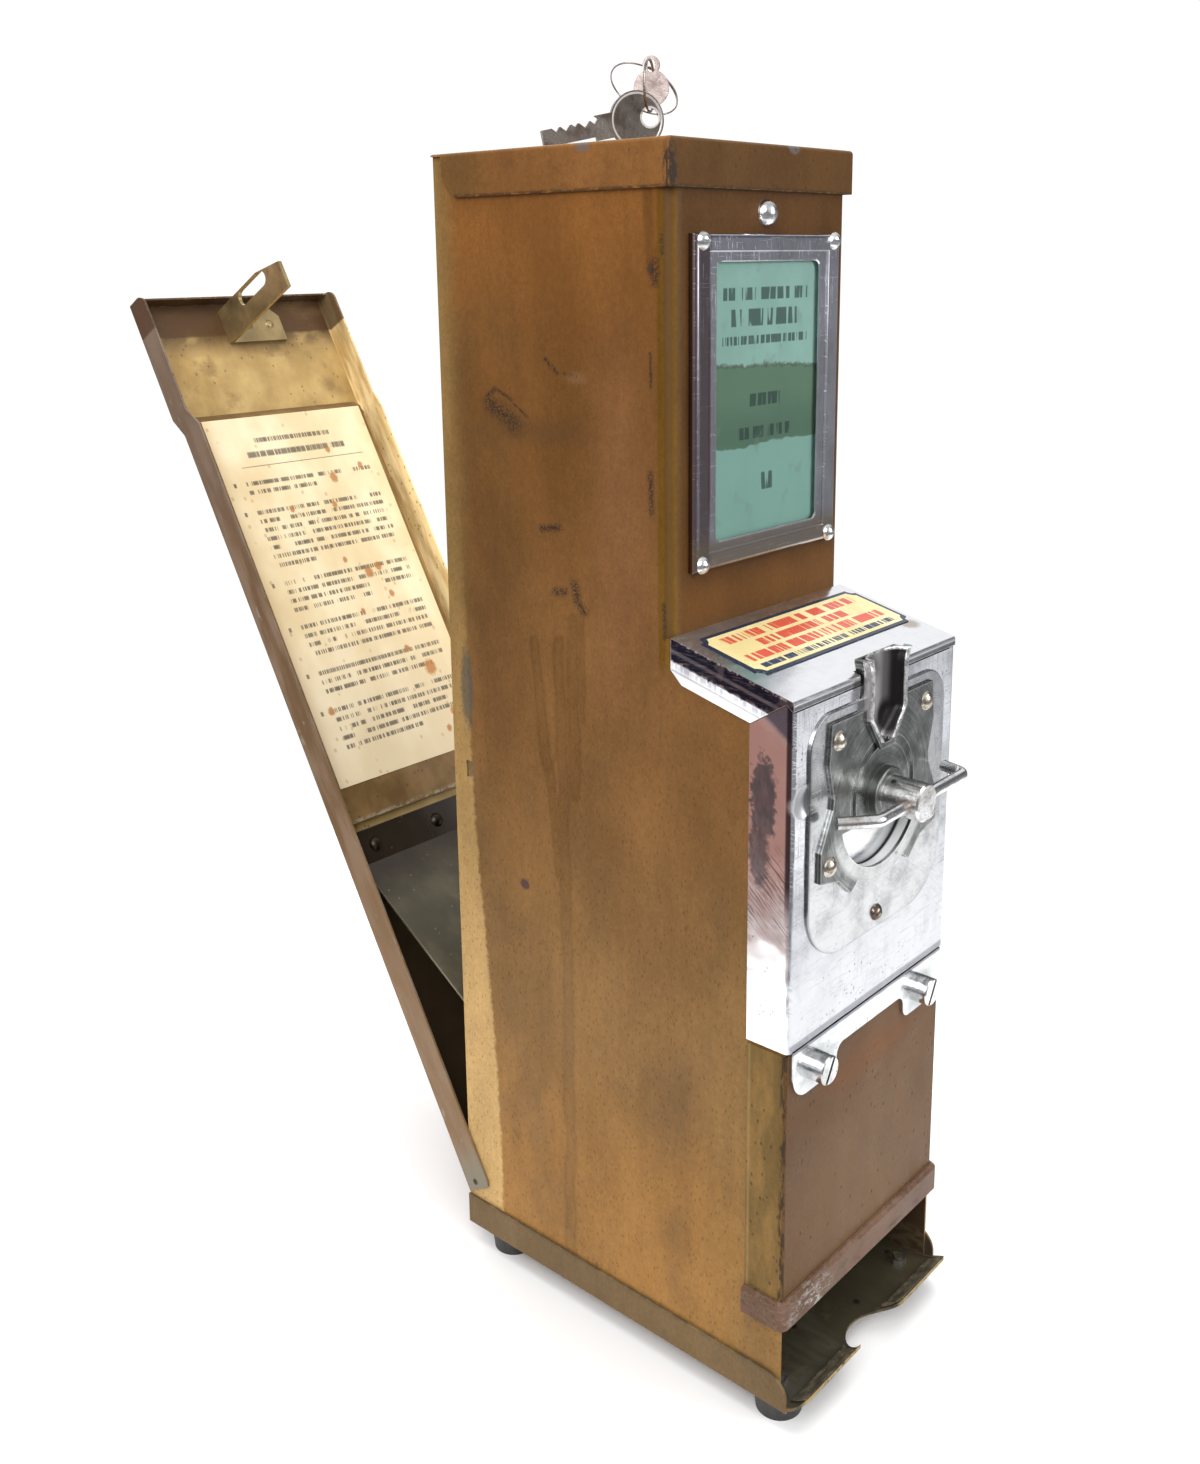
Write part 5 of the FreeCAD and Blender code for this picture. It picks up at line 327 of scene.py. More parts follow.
def lacquer_grain(paint, tone, amount=0.2):
    """Soft cloudy shading and fine grain over a lacquer colour."""
    cloud = paint.noise((38, 38, 62), 3.0, 0.55)
    brushed = paint.noise((4.0, 4.0, 90), 2.0, 0.5, shift=3.1)
    fine = paint.noise(0.8, 2.0, 0.7, shift=7.7)
    mixed = cloud * 0.6 + (brushed * 0.1 + fine * 0.3)
    mottle = paint.noise((1.7, 1.7, 2.5), 3.0, 0.75, shift=17.0).step(0.32, 0.68)
    tone = paint.shade(tone, mottle.scale(0.92, 1.08))
    return paint.shade(tone, mixed.step(0.32, 0.68).scale(1 - amount, 1 + amount))


def orange_peel(paint, marks=None):
    """Fine waves of sprayed lacquer, with the marks sunk in."""
    height = paint.noise(1.6, 2.0, 0.5) * 0.3 + paint.noise(9.0, 2.0) * 0.7
    if marks is not None:
        height = height - marks * 0.5
    paint.bump(height, 0.2, 0.0003)


def gloss(paint, low, high, marks=None):
    """Roughness between low and high, with dull marks."""
    rough = paint.noise((14, 14, 22), 4.0, 0.65, shift=11.0).step(0.3, 0.72).scale(low, high)
    if marks is not None:
        rough = rough + marks * 0.25
    return rough


def finish_lacquer(paint, tone, low, high, marks, shine=LACQUER_SHINE):
    """Sets the colour, the gloss between low and high and the waves of sprayed lacquer."""
    orange_peel(paint, marks)
    rough = gloss(paint, low, high, marks)
    return paint.finish(Base_Color=tone, Roughness=rough, Specular_IOR_Level=shine)


def side_tone(paint):
    """Brown lacquer of the big side: golden at the foot, redder above with a painted highlight, smudged
    near the rear edge.
    """
    tone = paint.ramp(paint.height, SIDE_TONES)
    rear = paint.depth.step(62, 22) * paint.height.step(230, 330)
    rear = rear * paint.height.step(450, 410)
    rear = rear * paint.noise((26, 22, 44), 3.0, 0.6, shift=2.0).step(0.3, 0.62)
    tone = tone.covered(rear * 0.75, SMUDGE)
    grey = paint.noise((50, 34, 60), 3.0, 0.6, shift=8.0).step(0.5, 0.7) * paint.height.step(300, 200)
    tone = tone.covered(grey * 0.5, (0.15, 0.085, 0.032))
    # Painted highlight: a soft pink band on the upper side towards the front.
    rosy_highlight = paint.depth.inside(86, 110, 14) * paint.height.inside(285, 400, 50)
    return tone.covered(rosy_highlight * 0.6, ROSY_HIGHLIGHT)


def faded_edge(paint):
    """Paler strip along the walls' rear edges, sharp low down and soft at the top."""
    wide = paint.height.step(250, 40).scale(10.5, 22)
    wide = wide - paint.height.step(260, 440) * 3.5
    uneven = (paint.noise((2, 5, 3), 4.0, 0.7) - 0.5) * 4.5
    over = paint.depth - wide + uneven
    sharp = over.step(1.2, -1.2)
    soft = over.step(9, -9)
    blend = paint.height.step(250, 340)
    return sharp * (1.0 - blend) + soft * blend


def side_dirt(paint):
    """Fine dark specks drawn out downwards, dense in the lower half."""
    low = paint.height.step(400, 150).scale(0.35, 1.0)
    dense = paint.specks((1.9, 1.5, 3.0), 0.3) * low
    sparse = paint.specks((4.0, 3.2, 6.0), 0.1, 4.0)
    crowded = paint.noise(24, 3.0, shift=5.0).step(0.54, 0.68)
    clustered = paint.specks((1.2, 1.0, 1.6), 0.4, 9.0) * crowded
    return (dense * 0.55).larger((sparse * 0.8).larger(clustered * 0.5))


LEFT = -57.0
# Marks on the left side: start and end as depth and height, then the width.
SCUFFS = (((27.2, 388), (31.9, 391.5), 1.6), ((33, 391), (41, 387.5), 1.0), ((27.6, 387), (30, 384.0), 2.6),
          ((29, 385), (39, 380.6), 4.6), ((36, 382), (42.6, 377.6), 5.2), ((60, 404), (66, 399), 1.2),
          ((70, 399), (76, 398), 0.9), ((56, 337.6), (66, 339), 2.0), ((73.4, 317), (74.2, 311.5), 3.0),
          ((75, 310), (78.2, 307.5), 2.6), ((63, 313), (68, 313.5), 2.4), ((114.6, 440), (114.6, 433), 2.6),
          ((112.2, 364), (112.6, 350), 1.8), ((118, 316), (118.4, 303), 1.2),
          ((112.4, 408), (112.6, 396), 0.9), ((117.6, 449), (117.8, 443), 1.1), ((42, 386), (50, 381), 0.7))
DRIPS = (((50.5, 290), (57.5, 232), 5.0), ((57.5, 236), (62.5, 192), 4.0), ((64.5, 292), (66.0, 170), 5.6),
         ((66.0, 176), (64.0, 16), 5.4), ((72.8, 302), (71.8, 230), 5.8), ((78.0, 306), (77.4, 262), 2.4))


def side_stroke(paint, start, end, width, soft, place=None):
    """A straight mark on the left side."""
    return paint.stroke((LEFT, *start), (LEFT, *end), width, soft, place)


def left_scuffs(paint):
    """The single scuffs of the left side, broken up by noise."""
    marks = largest(side_stroke(paint, *scuff, 0.9) for scuff in SCUFFS)
    return marks * paint.noise(0.9, 4.0, 0.8).step(0.38, 0.56)


def left_drips(paint):
    """Long dried drips down the left side, and their darker outlines."""
    wander = (paint.noise((30, 30, 26), 2.0, 0.5, shift=4.4) - 0.5) * 7.0
    place = paint.vector("ADD", paint.place, paint.join(Y=wander))
    drips, rims = [], []
    for start, end, width in DRIPS:
        drip = side_stroke(paint, start, end, width, 0.3, place)
        drips.append(drip)
        rims.append(drip - side_stroke(paint, start, end, width * 0.7, 0.35, place))
    return largest(drips), largest(rims)


def body_lacquer():
    """Brown lacquer of the housing, scuffed and stained on its left side."""
    paint = Paint("body_lacquer")
    tone = side_tone(paint)
    upper = paint.height.step(286, 296)
    corner = paint.depth.inside(115.6, 121.8, 0.9) * upper
    corner = corner * paint.noise((6, 4, 26), 3.0, 0.6).scale(0.6, 1.2)
    tone = tone.covered(corner * 0.85, OLIVE)
    # Painted highlight along the rounded front corner.
    ridge = paint.depth.inside(119.2, 121.2, 0.8) * upper
    tone = tone.covered(ridge * 0.35, (0.24, 0.135, 0.03))
    low_corner = paint.depth.step(128, 158) * paint.height.step(230, 150)
    tone = tone.covered(low_corner * 0.35, (0.215, 0.13, 0.04))
    front = paint.depth.step(121.3, 121.9) * (upper * paint.facing((0, -1, 0)))
    shadow = paint.spot((0, 122, 388), (49, 8, 64), 0.06, 0.05, 12.0)
    front_tone = paint.colour(shadow * 0.5, FRONT_TONE, (0.05, 0.024, 0.01))
    left = paint.x.step(-50, -53) * paint.noise((6, 6, 30), 3.0, 0.6)
    front_tone = front_tone.covered(left, (0.12, 0.07, 0.026))
    # Painted reflection: a lighter band across the front under the window.
    front_tone = front_tone.covered(paint.height.inside(306, 321, 7) * 0.5, (0.16, 0.07, 0.019))
    tone = tone.covered(front, front_tone)
    faded = faded_edge(paint)
    pale = paint.colour(paint.height.step(60, 330), FADED, FADED_HIGH)
    tone = tone.covered(faded, pale)
    tone = lacquer_grain(paint, tone)
    outer = abs(paint.x).step(56.4, 56.8)
    # Painted shade: the walls' inner faces darker.
    inner = (1.0 - outer) * paint.depth.step(121.6, 120.4)
    tone = tone.covered(inner * 0.6, (0.085, 0.04, 0.016))
    # Painted shade: the inner faces low down nearly black.
    low_inner_shade = paint.inward() * paint.height.step(160, 140)
    tone = tone.covered(low_inner_shade * 0.9, (0.026, 0.016, 0.012))
    stain = paint.spot((LEFT, 9.5, 263), (3, 3.6, 17), 0.3, 1.2, 2.0) * 0.75
    tone = tone.covered(stain, (0.085, 0.083, 0.066))
    dirt = side_dirt(paint) * outer.scale(0.35, 1.0)
    tone = tone.covered(dirt * 0.7, DIRT)
    drips, rims = left_drips(paint)
    tone = tone.shade(drips.scale(1.0, 0.86))
    tone = tone.shade((rims * paint.noise((6, 6, 20), 3.0, 0.7)).scale(1.0, 0.62))
    short = side_stroke(paint, (111.6, 464), (112.6, 438), 4.2, 0.5)
    tone = tone.shade(short.scale(1.0, 0.72))
    drop = paint.spot((LEFT, 112.6, 437.6), (3, 1.5, 1.9), 0.4)
    tone = tone.covered(drop * 0.75, (0.055, 0.04, 0.032))
    scuffs = left_scuffs(paint)
    tone = tone.covered(scuffs * 0.9, (0.022, 0.018, 0.015))
    light = paint.spot((LEFT, 76, 397.5), (3, 5, 2.0), 0.7, 1.4, 1.5)
    tone = tone.covered(light * 0.3, (0.27, 0.16, 0.085))
    smear = paint.spot((LEFT, 58, 376), (3, 20, 5), 0.7, 1.0, 6.0)
    tone = tone.covered(smear * 0.35, (0.085, 0.048, 0.02))
    dot = paint.spot((LEFT, 41.5, 182), (3, 2.6, 2.2), 0.3, 0.5)
    tone = tone.covered(dot * 0.8, (0.05, 0.03, 0.04))
    nicks = paint.worn_edges(0.9, 0.52, 0.62, (2, 2, 5), 4.0, 0.7)
    tone = tone.covered(nicks * 0.75, (0.06, 0.045, 0.03))
    foot = paint.height.step(17, 12) * paint.noise((9, 7, 3), 3.0).step(0.36, 0.6)
    tone = tone.covered(foot * 0.6, (0.11, 0.085, 0.05))
    marks = scuffs.larger(dirt * 0.6)
    orange_peel(paint, marks)
    wet = drips * -0.08
    return paint.finish(Base_Color=tone, Roughness=gloss(paint, 0.32, 0.48, marks) + wet,
                        Specular_IOR_Level=LACQUER_SHINE)


def cap_lacquer():
    """Cap: dark in front, worn along its edges, chipped at its left corner."""
    paint = Paint("cap_lacquer")
    front = paint.depth.step(122.0, 122.8)
    tone = paint.colour(front, (0.222, 0.1, 0.03), (0.102, 0.048, 0.014))
    dull = paint.depth.step(42, 12) * 0.55
    tone = tone.covered(dull, (0.135, 0.08, 0.026))
    tone = lacquer_grain(paint, tone)
    worn = paint.worn_edges(1.2, 0.36, 0.52, (5, 5, 2), 4.0, 0.7)
    tone = tone.covered(worn * 0.6, (0.33, 0.195, 0.065))
    corner = paint.spot((-57.8, 122.4, 472), (2.6, 2.8, 10), 0.35, 1.3, 1.6)
    chips = corner * paint.noise((1.2, 1.2, 4), 4.0, 0.75).step(0.42, 0.5)
    near_top = paint.height.inside(474, 482.5, 0.8)
    chipped = paint.depth.inside(99, 119, 2) * paint.noise((2, 1.4, 6), 4.0, 0.7).step(0.6, 0.68)
    top_chips = near_top * chipped
    chips = chips.larger(top_chips * 0.8)
    tone = tone.covered(chips * 0.85, CHIP)
    for centre in ((-58.5, 82, 481.4), (16, 123, 481.6)):
        grey = paint.spot(centre, (3.6, 3.6, 2.2), 0.3, 0.9, 1.5)
        tone = tone.covered(grey * 0.7, (0.13, 0.125, 0.12))
    # Painted shadow: a dark line along the gap under the cap's lower edge.
    rim = paint.height.step(467.2, 465.8) * paint.noise((3, 3, 1), 4.0).step(0.36, 0.5)
    tone = tone.covered(rim * 0.8, (0.035, 0.022, 0.012))
    stains = paint.noise((16, 12, 7), 5.0, 0.72, shift=6.0).step(0.5, 0.66)
    tone = tone.covered(stains * 0.35, (0.105, 0.055, 0.02))
    specks = paint.specks((2.4, 2.0, 3.0), 0.14, 2.0)
    tone = tone.covered(specks * 0.6, DIRT)
    flat = paint.facing((0, 0, 1))
    scratches = flat * paint.noise((40, 0.7, 3), 3.0, 0.7).step(0.62, 0.7)
    tone = tone.covered(scratches * 0.4, (0.34, 0.22, 0.1))
    return finish_lacquer(paint, tone, 0.32, 0.48, chips.larger(worn))


TRAY_EDGE = (0.36, 0.27, 0.12)


def pan_lacquer():
    """Golden brown outside, olive grey and grimy inside the tray, chipped to metal along the lip."""
    paint = Paint("pan_lacquer")
    tone = lacquer_grain(paint, (0.15, 0.096, 0.042))
    inner = abs(paint.x).step(57.15, 57.0).larger(paint.inward())
    inner = inner * paint.height.step(0.3, 0.7)
    across = paint.x * 0.004 + 0.5
    grime = across + (paint.noise((9, 34, 9), 4.0, 0.6) - 0.5) * 0.7
    olive = paint.ramp(grime, ((0.2, (0.082, 0.078, 0.058)), (0.5, (0.048, 0.04, 0.024)),
                               (0.95, (0.07, 0.058, 0.034))))
    nose_shade = paint.depth.step(172, 184)
    olive = olive.covered(nose_shade * 0.5, (0.04, 0.034, 0.022))
    # Painted shade: darker further back, under the housing.
    deep = paint.depth.step(150, 120)
    olive = olive.covered(deep * 0.6, (0.03, 0.024, 0.016))
    tone = tone.covered(inner, olive)
    rust = paint.noise((16, 12, 9), 4.0, 0.65, shift=4.0).step(0.56, 0.68) * 0.45
    tone = tone.covered(rust, (0.115, 0.085, 0.05))
    nose = paint.depth.step(184.6, 186.6)
    gold = nose * paint.noise((5, 4, 3), 4.0, 0.7, shift=8.0).step(0.34, 0.5)
    tone = tone.covered(gold * 0.85, TRAY_EDGE)
    bare = nose * paint.noise((3, 3, 2), 4.0, 0.7, shift=1.0).step(0.58, 0.66)
    tone = tone.covered(bare * 0.8, (0.36, 0.34, 0.28))
    dots = inner * paint.specks((6, 6, 6), 0.1, 7.0)
    tone = tone.covered(dots * 0.9, (0.01, 0.009, 0.008))
    worn = paint.worn_edges(0.8, 0.44, 0.6, (6, 6, 3))
    tone = tone.covered(worn * 0.5, (0.34, 0.24, 0.11))
    rim = paint.height.step(12.6, 14.4) * paint.noise((4, 4, 2), 4.0).step(0.36, 0.55)
    tone = tone.covered(rim * 0.7, (0.085, 0.062, 0.034))
    specks = paint.specks((1.9, 1.6, 2.4), 0.2, 1.0)
    tone = tone.covered(specks * 0.4, DIRT)
    marks = bare.larger(gold)
    return finish_lacquer(paint, tone, 0.36, 0.55, marks)


def hem_metal():
    """Folded strip inside the tray's lip: grimy olive, pitted and rusty along its ridge."""
    paint = Paint("hem_metal")
    cloud = paint.noise((5, 5, 5), 4.0, 0.7).step(0.36, 0.66)
    tone = paint.colour(cloud, (0.06, 0.052, 0.036), (0.15, 0.128, 0.088))
    rust = paint.noise((4, 3, 3), 5.0, 0.75, shift=5.0).step(0.55, 0.63)
    tone = tone.covered(rust * 0.7, (0.115, 0.07, 0.035))
    pale = paint.noise((2.6, 2, 2), 4.0, 0.75, shift=2.0).step(0.62, 0.68)
    tone = tone.covered(pale * 0.6, (0.33, 0.29, 0.21))
    paint.bump(paint.noise(1.4, 5.0, 0.75), 0.6, 0.0006)
    return paint.finish(Base_Color=tone, Roughness=gloss(paint, 0.4, 0.6),
                        Specular_IOR_Level=LACQUER_SHINE)


def front_lacquer():
    """Panel over the lower front: pinkish brown in front, golden olive where it turns the corner."""
    paint = Paint("front_lacquer")
    front = paint.depth.step(174.9, 175.7)
    middle = paint.spot((6, 176, 76), (46, 60, 56), 0.7)
    pink = paint.colour(middle, PANEL_TONE, (0.132, 0.072, 0.032))
    low = paint.height.step(66, 44)
    pink = pink.covered(low * 0.6, (0.104, 0.058, 0.026))
    high = paint.height.step(100, 122) * paint.noise((22, 22, 9), 3.0).step(0.3, 0.6)
    pink = pink.covered(high * 0.7, (0.112, 0.05, 0.015))
    stain = paint.spot((0, 176, 127), (31, 6, 6), 0.5, 0.7, 9.0)
    pink = pink.covered(stain * 0.8, (0.135, 0.052, 0.012))
    flange = paint.colour(paint.noise((9, 9, 26), 3.0, 0.6).step(0.34, 0.66), (0.15, 0.094, 0.03),
                          (0.225, 0.132, 0.042))
    bend = paint.depth.step(170, 175)
    flange = flange.covered(bend * 0.45, (0.11, 0.068, 0.02))
    tone = flange.covered(front, pink)
    tone = lacquer_grain(paint, tone, 0.14)
    oval = paint.spot((27, 176, 84), (12, 6, 21), 0.05, 0.12, 12.0)
    ring = oval * (1.0 - paint.spot((27, 176, 84), (11.3, 6, 20.3), 0.05, 0.12, 12.0))
    tone = tone.covered(ring * 0.45, (0.105, 0.068, 0.028))
    corner = paint.x.step(-55.9, -56.9) * paint.depth.step(173.4, 174.8)
    black = corner * paint.noise((2, 2, 7), 4.0, 0.7, shift=1.0).step(0.46, 0.56)
    tone = tone.covered(black * 0.8, (0.03, 0.022, 0.014))
    light = paint.depth.inside(159.2, 160.4, 0.5) * paint.x.step(-57, -57.4)
    tone = tone.covered(light * 0.35, (0.36, 0.25, 0.1))
    specks = paint.specks((2.4, 2.4, 3.4), 0.1, 3.0)
    tone = tone.covered(specks * 0.6, DIRT)
    fine = paint.noise((26, 26, 0.6), 3.0, 0.7, shift=6.0, twist=0.6).step(0.68, 0.74)
    tone = tone.covered(fine * 0.12, (0.3, 0.2, 0.13))
    return finish_lacquer(paint, tone, 0.26, 0.4, specks, 0.5 * LACQUER_SHINE)


def band_lacquer():
    """Mauve brown band across the front, chipped pale near its left corner."""
    paint = Paint("band_lacquer")
    tone = lacquer_grain(paint, (0.118, 0.066, 0.038), 0.35)
    mauve = paint.noise((14, 14, 5), 4.0, 0.65, shift=6.0).step(0.42, 0.62)
    tone = tone.covered(mauve * 0.5, (0.135, 0.074, 0.056))
    area = paint.spot((-41, 178, 41), (13, 9, 6), 0.6, 0.8, 6.0)
    area = (area * 1.0).larger(0.12)
    pale = paint.noise((4.5, 4.5, 2.2), 5.0, 0.75, shift=2.0, twist=0.8).step(0.5, 0.58)
    tone = tone.covered(pale * area * 0.85, (0.4, 0.38, 0.35))
    rusty = paint.noise((9, 9, 3), 4.0, 0.7, shift=4.0).step(0.58, 0.66)
    tone = tone.covered(rusty * 0.6, (0.15, 0.07, 0.042))
    dark = paint.noise((10, 10, 4), 4.0, 0.7, shift=9.0).step(0.56, 0.68)
    tone = tone.covered(dark * 0.6, (0.036, 0.028, 0.022))
    worn = paint.worn_edges(0.7, 0.44, 0.58, (5, 5, 2))
    tone = tone.covered(worn * 0.5, (0.3, 0.24, 0.19))
    return finish_lacquer(paint, tone, 0.32, 0.5, pale)


def door_gold(paint):
    """Golden lacquer inside the door, with brown stains below the top flange and painted shade near its
    foot.
    """
    gold = paint.colour(paint.noise((30, 30, 40), 3.0, 0.6).step(0.35, 0.65), (0.36, 0.23, 0.08),
                        (0.54, 0.37, 0.15))
    stain = paint.noise((17, 17, 15), 4.0, 0.6, shift=5.0).step(0.52, 0.68) * 0.6
    gold = gold.covered(stain, (0.22, 0.14, 0.055))
    deep = paint.height.step(448, 468) * paint.noise((26, 26, 12), 3.0).step(0.25, 0.5)
    gold = gold.covered(deep * 0.9, (0.075, 0.042, 0.02))
    # Painted shade: near black low down on the door's inside.
    below = paint.height.step(172, 158)
    return gold.covered(below * 0.95, (0.024, 0.015, 0.009))


def door_lacquer():
    """Gold lacquer inside the door, brown on its flanges and outside."""
    paint = Paint("door_lacquer", door=True)
    sheet = -0.9 + paint.height.step(412, 419) * -3.0
    inner = (paint.depth - sheet).step(-0.25, 0.25)
    brown = paint.colour(paint.noise((9, 9, 40), 3.0, 0.6, shift=1.5).step(0.35, 0.68),
                         (0.165, 0.098, 0.046), (0.255, 0.18, 0.118))
    brown = brown.covered(paint.height.step(300, 430) * 0.5, (0.215, 0.17, 0.135))
    brown = brown.covered(paint.height.step(250, 120) * 0.5, (0.235, 0.135, 0.055))
    golden = paint.colour(paint.noise((9, 9, 45), 3.0, 0.6, shift=2.5).step(0.35, 0.62),
                          (0.58, 0.39, 0.155), (0.98, 0.78, 0.42))
    left_out = paint.x.step(-58.0, -58.3)
    flange = abs(paint.x).step(56.8, 57.3)
    brown = brown.covered(paint.x.step(0, 1), golden)
    outside = paint.ramp(paint.height, SIDE_TONES)
    smudges = paint.noise((40, 40, 60), 4.0, 0.65, shift=12.0).step(0.46, 0.68)
    outside = lacquer_grain(paint, outside.covered(smudges * 0.45, SMUDGE))
    tone = outside.covered(inner, door_gold(paint))
    tone = tone.covered(flange, brown)
    # Painted shade: a dark band on the inner face at the door's top, under the cap.
    top = paint.height.step(464.5, 466) * inner
    tone = tone.covered(top * 0.85, (0.085, 0.042, 0.018))
    foot = paint.height.step(46, 24) * left_out
    tone = tone.covered(foot * 0.75, (0.2, 0.19, 0.14))
    fine = paint.noise(1.1, 3.0, 0.7, shift=7.0)
    tone = tone.shade(fine.scale(0.88, 1.12))
    worn = paint.worn_edges(0.8, 0.5, 0.6, (2.2, 2.2, 9), 4.0, 0.7, shift=3.3)
    patches = flange * paint.noise((5, 5, 14), 4.0, 0.7, shift=9.3).step(0.66, 0.7)
    worn = worn.larger(patches)
    tone = tone.covered(worn * 0.65, (0.31, 0.32, 0.28))
    specks = paint.specks((2.2, 2.2, 3.2), 0.1, 6.0)
    tone = tone.covered(specks * 0.5, DIRT)
    orange_peel(paint, worn)
    return paint.finish(Base_Color=tone, Roughness=gloss(paint, 0.3, 0.5, worn), Metallic=0.12,
                        Specular_IOR_Level=0.3)


def liner_metal():
    """Brown sheet behind the instruction sheet, worn bare along its foot."""
    paint = Paint("liner_metal", door=True)
    tone = paint.colour(paint.noise((22, 22, 30), 4.0, 0.6).step(0.35, 0.65), (0.145, 0.08, 0.028),
                        (0.245, 0.145, 0.055))
    edge = paint.height.step(200.5, 198.6) * paint.noise((3, 3, 3), 4.0).step(0.4, 0.6)
    tone = tone.covered(edge * 0.6, (0.4, 0.38, 0.3))
    # Painted shade: a darker band along the fold at the sheet's top.
    top = paint.height.step(414.6, 418)
    tone = tone.covered(top * 0.7, (0.12, 0.068, 0.024))
    specks = paint.specks((2.4, 2.4, 2.8), 0.12, 1.0)
    tone = tone.covered(specks * 0.5, DIRT)
    orange_peel(paint)
    return paint.finish(Base_Color=tone, Roughness=gloss(paint, 0.32, 0.5), Metallic=0.25)


# ---------------------------------------------------------------- printed pieces
def word_marks(paint, across, drop, line, letter, ink=0.52, shift=0.0):
    """Generic lines of print: strokes of ink broken into words, with no letters in them."""
    row = paint.math("FLOOR", drop / line)
    within = paint.math("FRACT", drop / line)
    word = paint.noise_at(paint.join(X=across / (letter * 6), Y=row, Z=shift), 1.0)
    stroke = paint.noise_at(paint.join(X=across / (letter * 0.5), Y=row * 3.7, Z=shift), 0.0)
    tall = within.inside(0.26, 0.72, 0.08)
    return tall * (word.step(0.36, 0.42) * stroke.step(ink + 0.06, ink - 0.06))


# The instruction sheet: height of its upper edge, distance between lines, and the rule's two
# edges below that upper edge.
SHEET_TOP = 414.4
SHEET_LINE = 4.85
SHEET_RULE = (27.2, 27.6)
# Paragraphs: top below the sheet's upper edge, number of lines and X where the last line ends.
PARAGRAPHS = ((34, 2, 4), (50, 7, -14), (89, 4, 12), (113, 4, 42), (138, 3, 34), (158, 5, 12))
# Rust spots on the sheet: X, height and size.
RUST_SPOTS = ((16, 375, 2.4), (36, 380, 1.6), (-17, 361, 1.4), (10, 360, 1.5), (15, 320, 2.4),
              (22, 322, 2.0), (3, 329, 1.3), (24, 306, 1.6), (30, 262, 3.4), (20, 275, 1.6),
              (34, 236, 2.0), (-39, 254, 1.8), (27, 228, 1.6), (2, 300, 1.2), (19, 391, 1.5))


def heading(paint, drop, top, bottom, half, line, *words):
    """One line of a heading, centred on the sheet."""
    place = drop.inside(top, bottom, 0.3) * paint.x.inside(-half, half, 0.5)
    return word_marks(paint, paint.x, drop - top, line, *words) * place


def paragraph(paint, drop, top, lines, last):
    """A block of print whose last line is short, with a mark for its number in the margin."""
    bottom = top + lines * SHEET_LINE
    block = drop.inside(top, bottom, 0.2) * paint.x.inside(-38, 42, 0.4)
    last_line = drop.inside(top + (lines - 1) * SHEET_LINE, bottom, 0.1)
    block = block * (1.0 - last_line * paint.x.step(last - 0.4, last + 0.4))
    words = word_marks(paint, paint.x, drop - top, SHEET_LINE, 1.25, 0.55, top * 0.13)
    number = drop.inside(top + 1.3, top + 3.6, 0.2) * paint.x.inside(-45.5, -44, 0.3)
    return (block * words).larger(number)


def printed_paper():
    """Aged sheet with a ruled heading and six paragraphs of generic print."""
    paint = Paint("printed_paper", door=True)
    drop = SHEET_TOP - paint.height
    tone = paint.colour(paint.noise((40, 40, 55), 3.0, 0.6).step(0.35, 0.68), (0.72, 0.56, 0.32),
                        (0.86, 0.72, 0.48))
    edge = abs(paint.x).step(43, 50)
    tone = tone.covered(edge * 0.4, (0.78, 0.55, 0.28))
    lower = paint.height.step(320, 225)
    tone = tone.covered(lower * 0.45, (0.66, 0.56, 0.4))
    ink = heading(paint, drop, 10.5, 16, 24, 5.6, 1.4, 0.57)
    title = heading(paint, drop, 17.5, 24.3, 31, 7.0, 2.0, 0.62, 5.0)
    rule = drop.inside(*SHEET_RULE, 0.15) * paint.x.inside(-37, 41, 0.5)
    ink = ink.larger(title.larger(rule))
    for block in PARAGRAPHS:
        ink = ink.larger(paragraph(paint, drop, *block))
    faint = paint.noise(9, 3.0, shift=4.0).scale(0.6, 1.0)
    tone = tone.covered(ink * faint, (0.045, 0.034, 0.026))
    rust = largest(paint.spot((x, 4, height), (size, 9, size * 1.25), 0.35, 1.1, 1.8)
                   for x, height, size in RUST_SPOTS)
    tone = tone.covered(rust * 0.85, (0.42, 0.155, 0.03))
    foxing = paint.specks((3.5, 3.5, 4.5), 0.12, 8.0) * 0.5
    tone = tone.covered(foxing, (0.45, 0.27, 0.12))
    paint.bump(paint.noise(2.4, 3.0) + paint.noise((30, 30, 60), 2.0) * 3.0, 0.3, 0.0005)
    return paint.finish(Base_Color=tone, Roughness=0.62)


# Bars on the price card: height, half the length and thickness.
CARD_BARS = ((428, 28, 4.6), (419.2, 22, 6.4), (410.8, 28, 3.2), (388, 10, 4.8), (375.5, 17, 4.6),
             (356.0, 5.5, 6.8))


def card_bar(paint, height, half, thick):
    """A broken bar that stands for one line of the card's text."""
    broken = paint.noise((thick * 0.42, 9, 40), 1.0, shift=height).step(0.56, 0.52)
    tall = paint.height.inside(height - thick / 2, height + thick / 2, 0.25)
    return paint.x.inside(-half, half, 0.3) * broken * tall


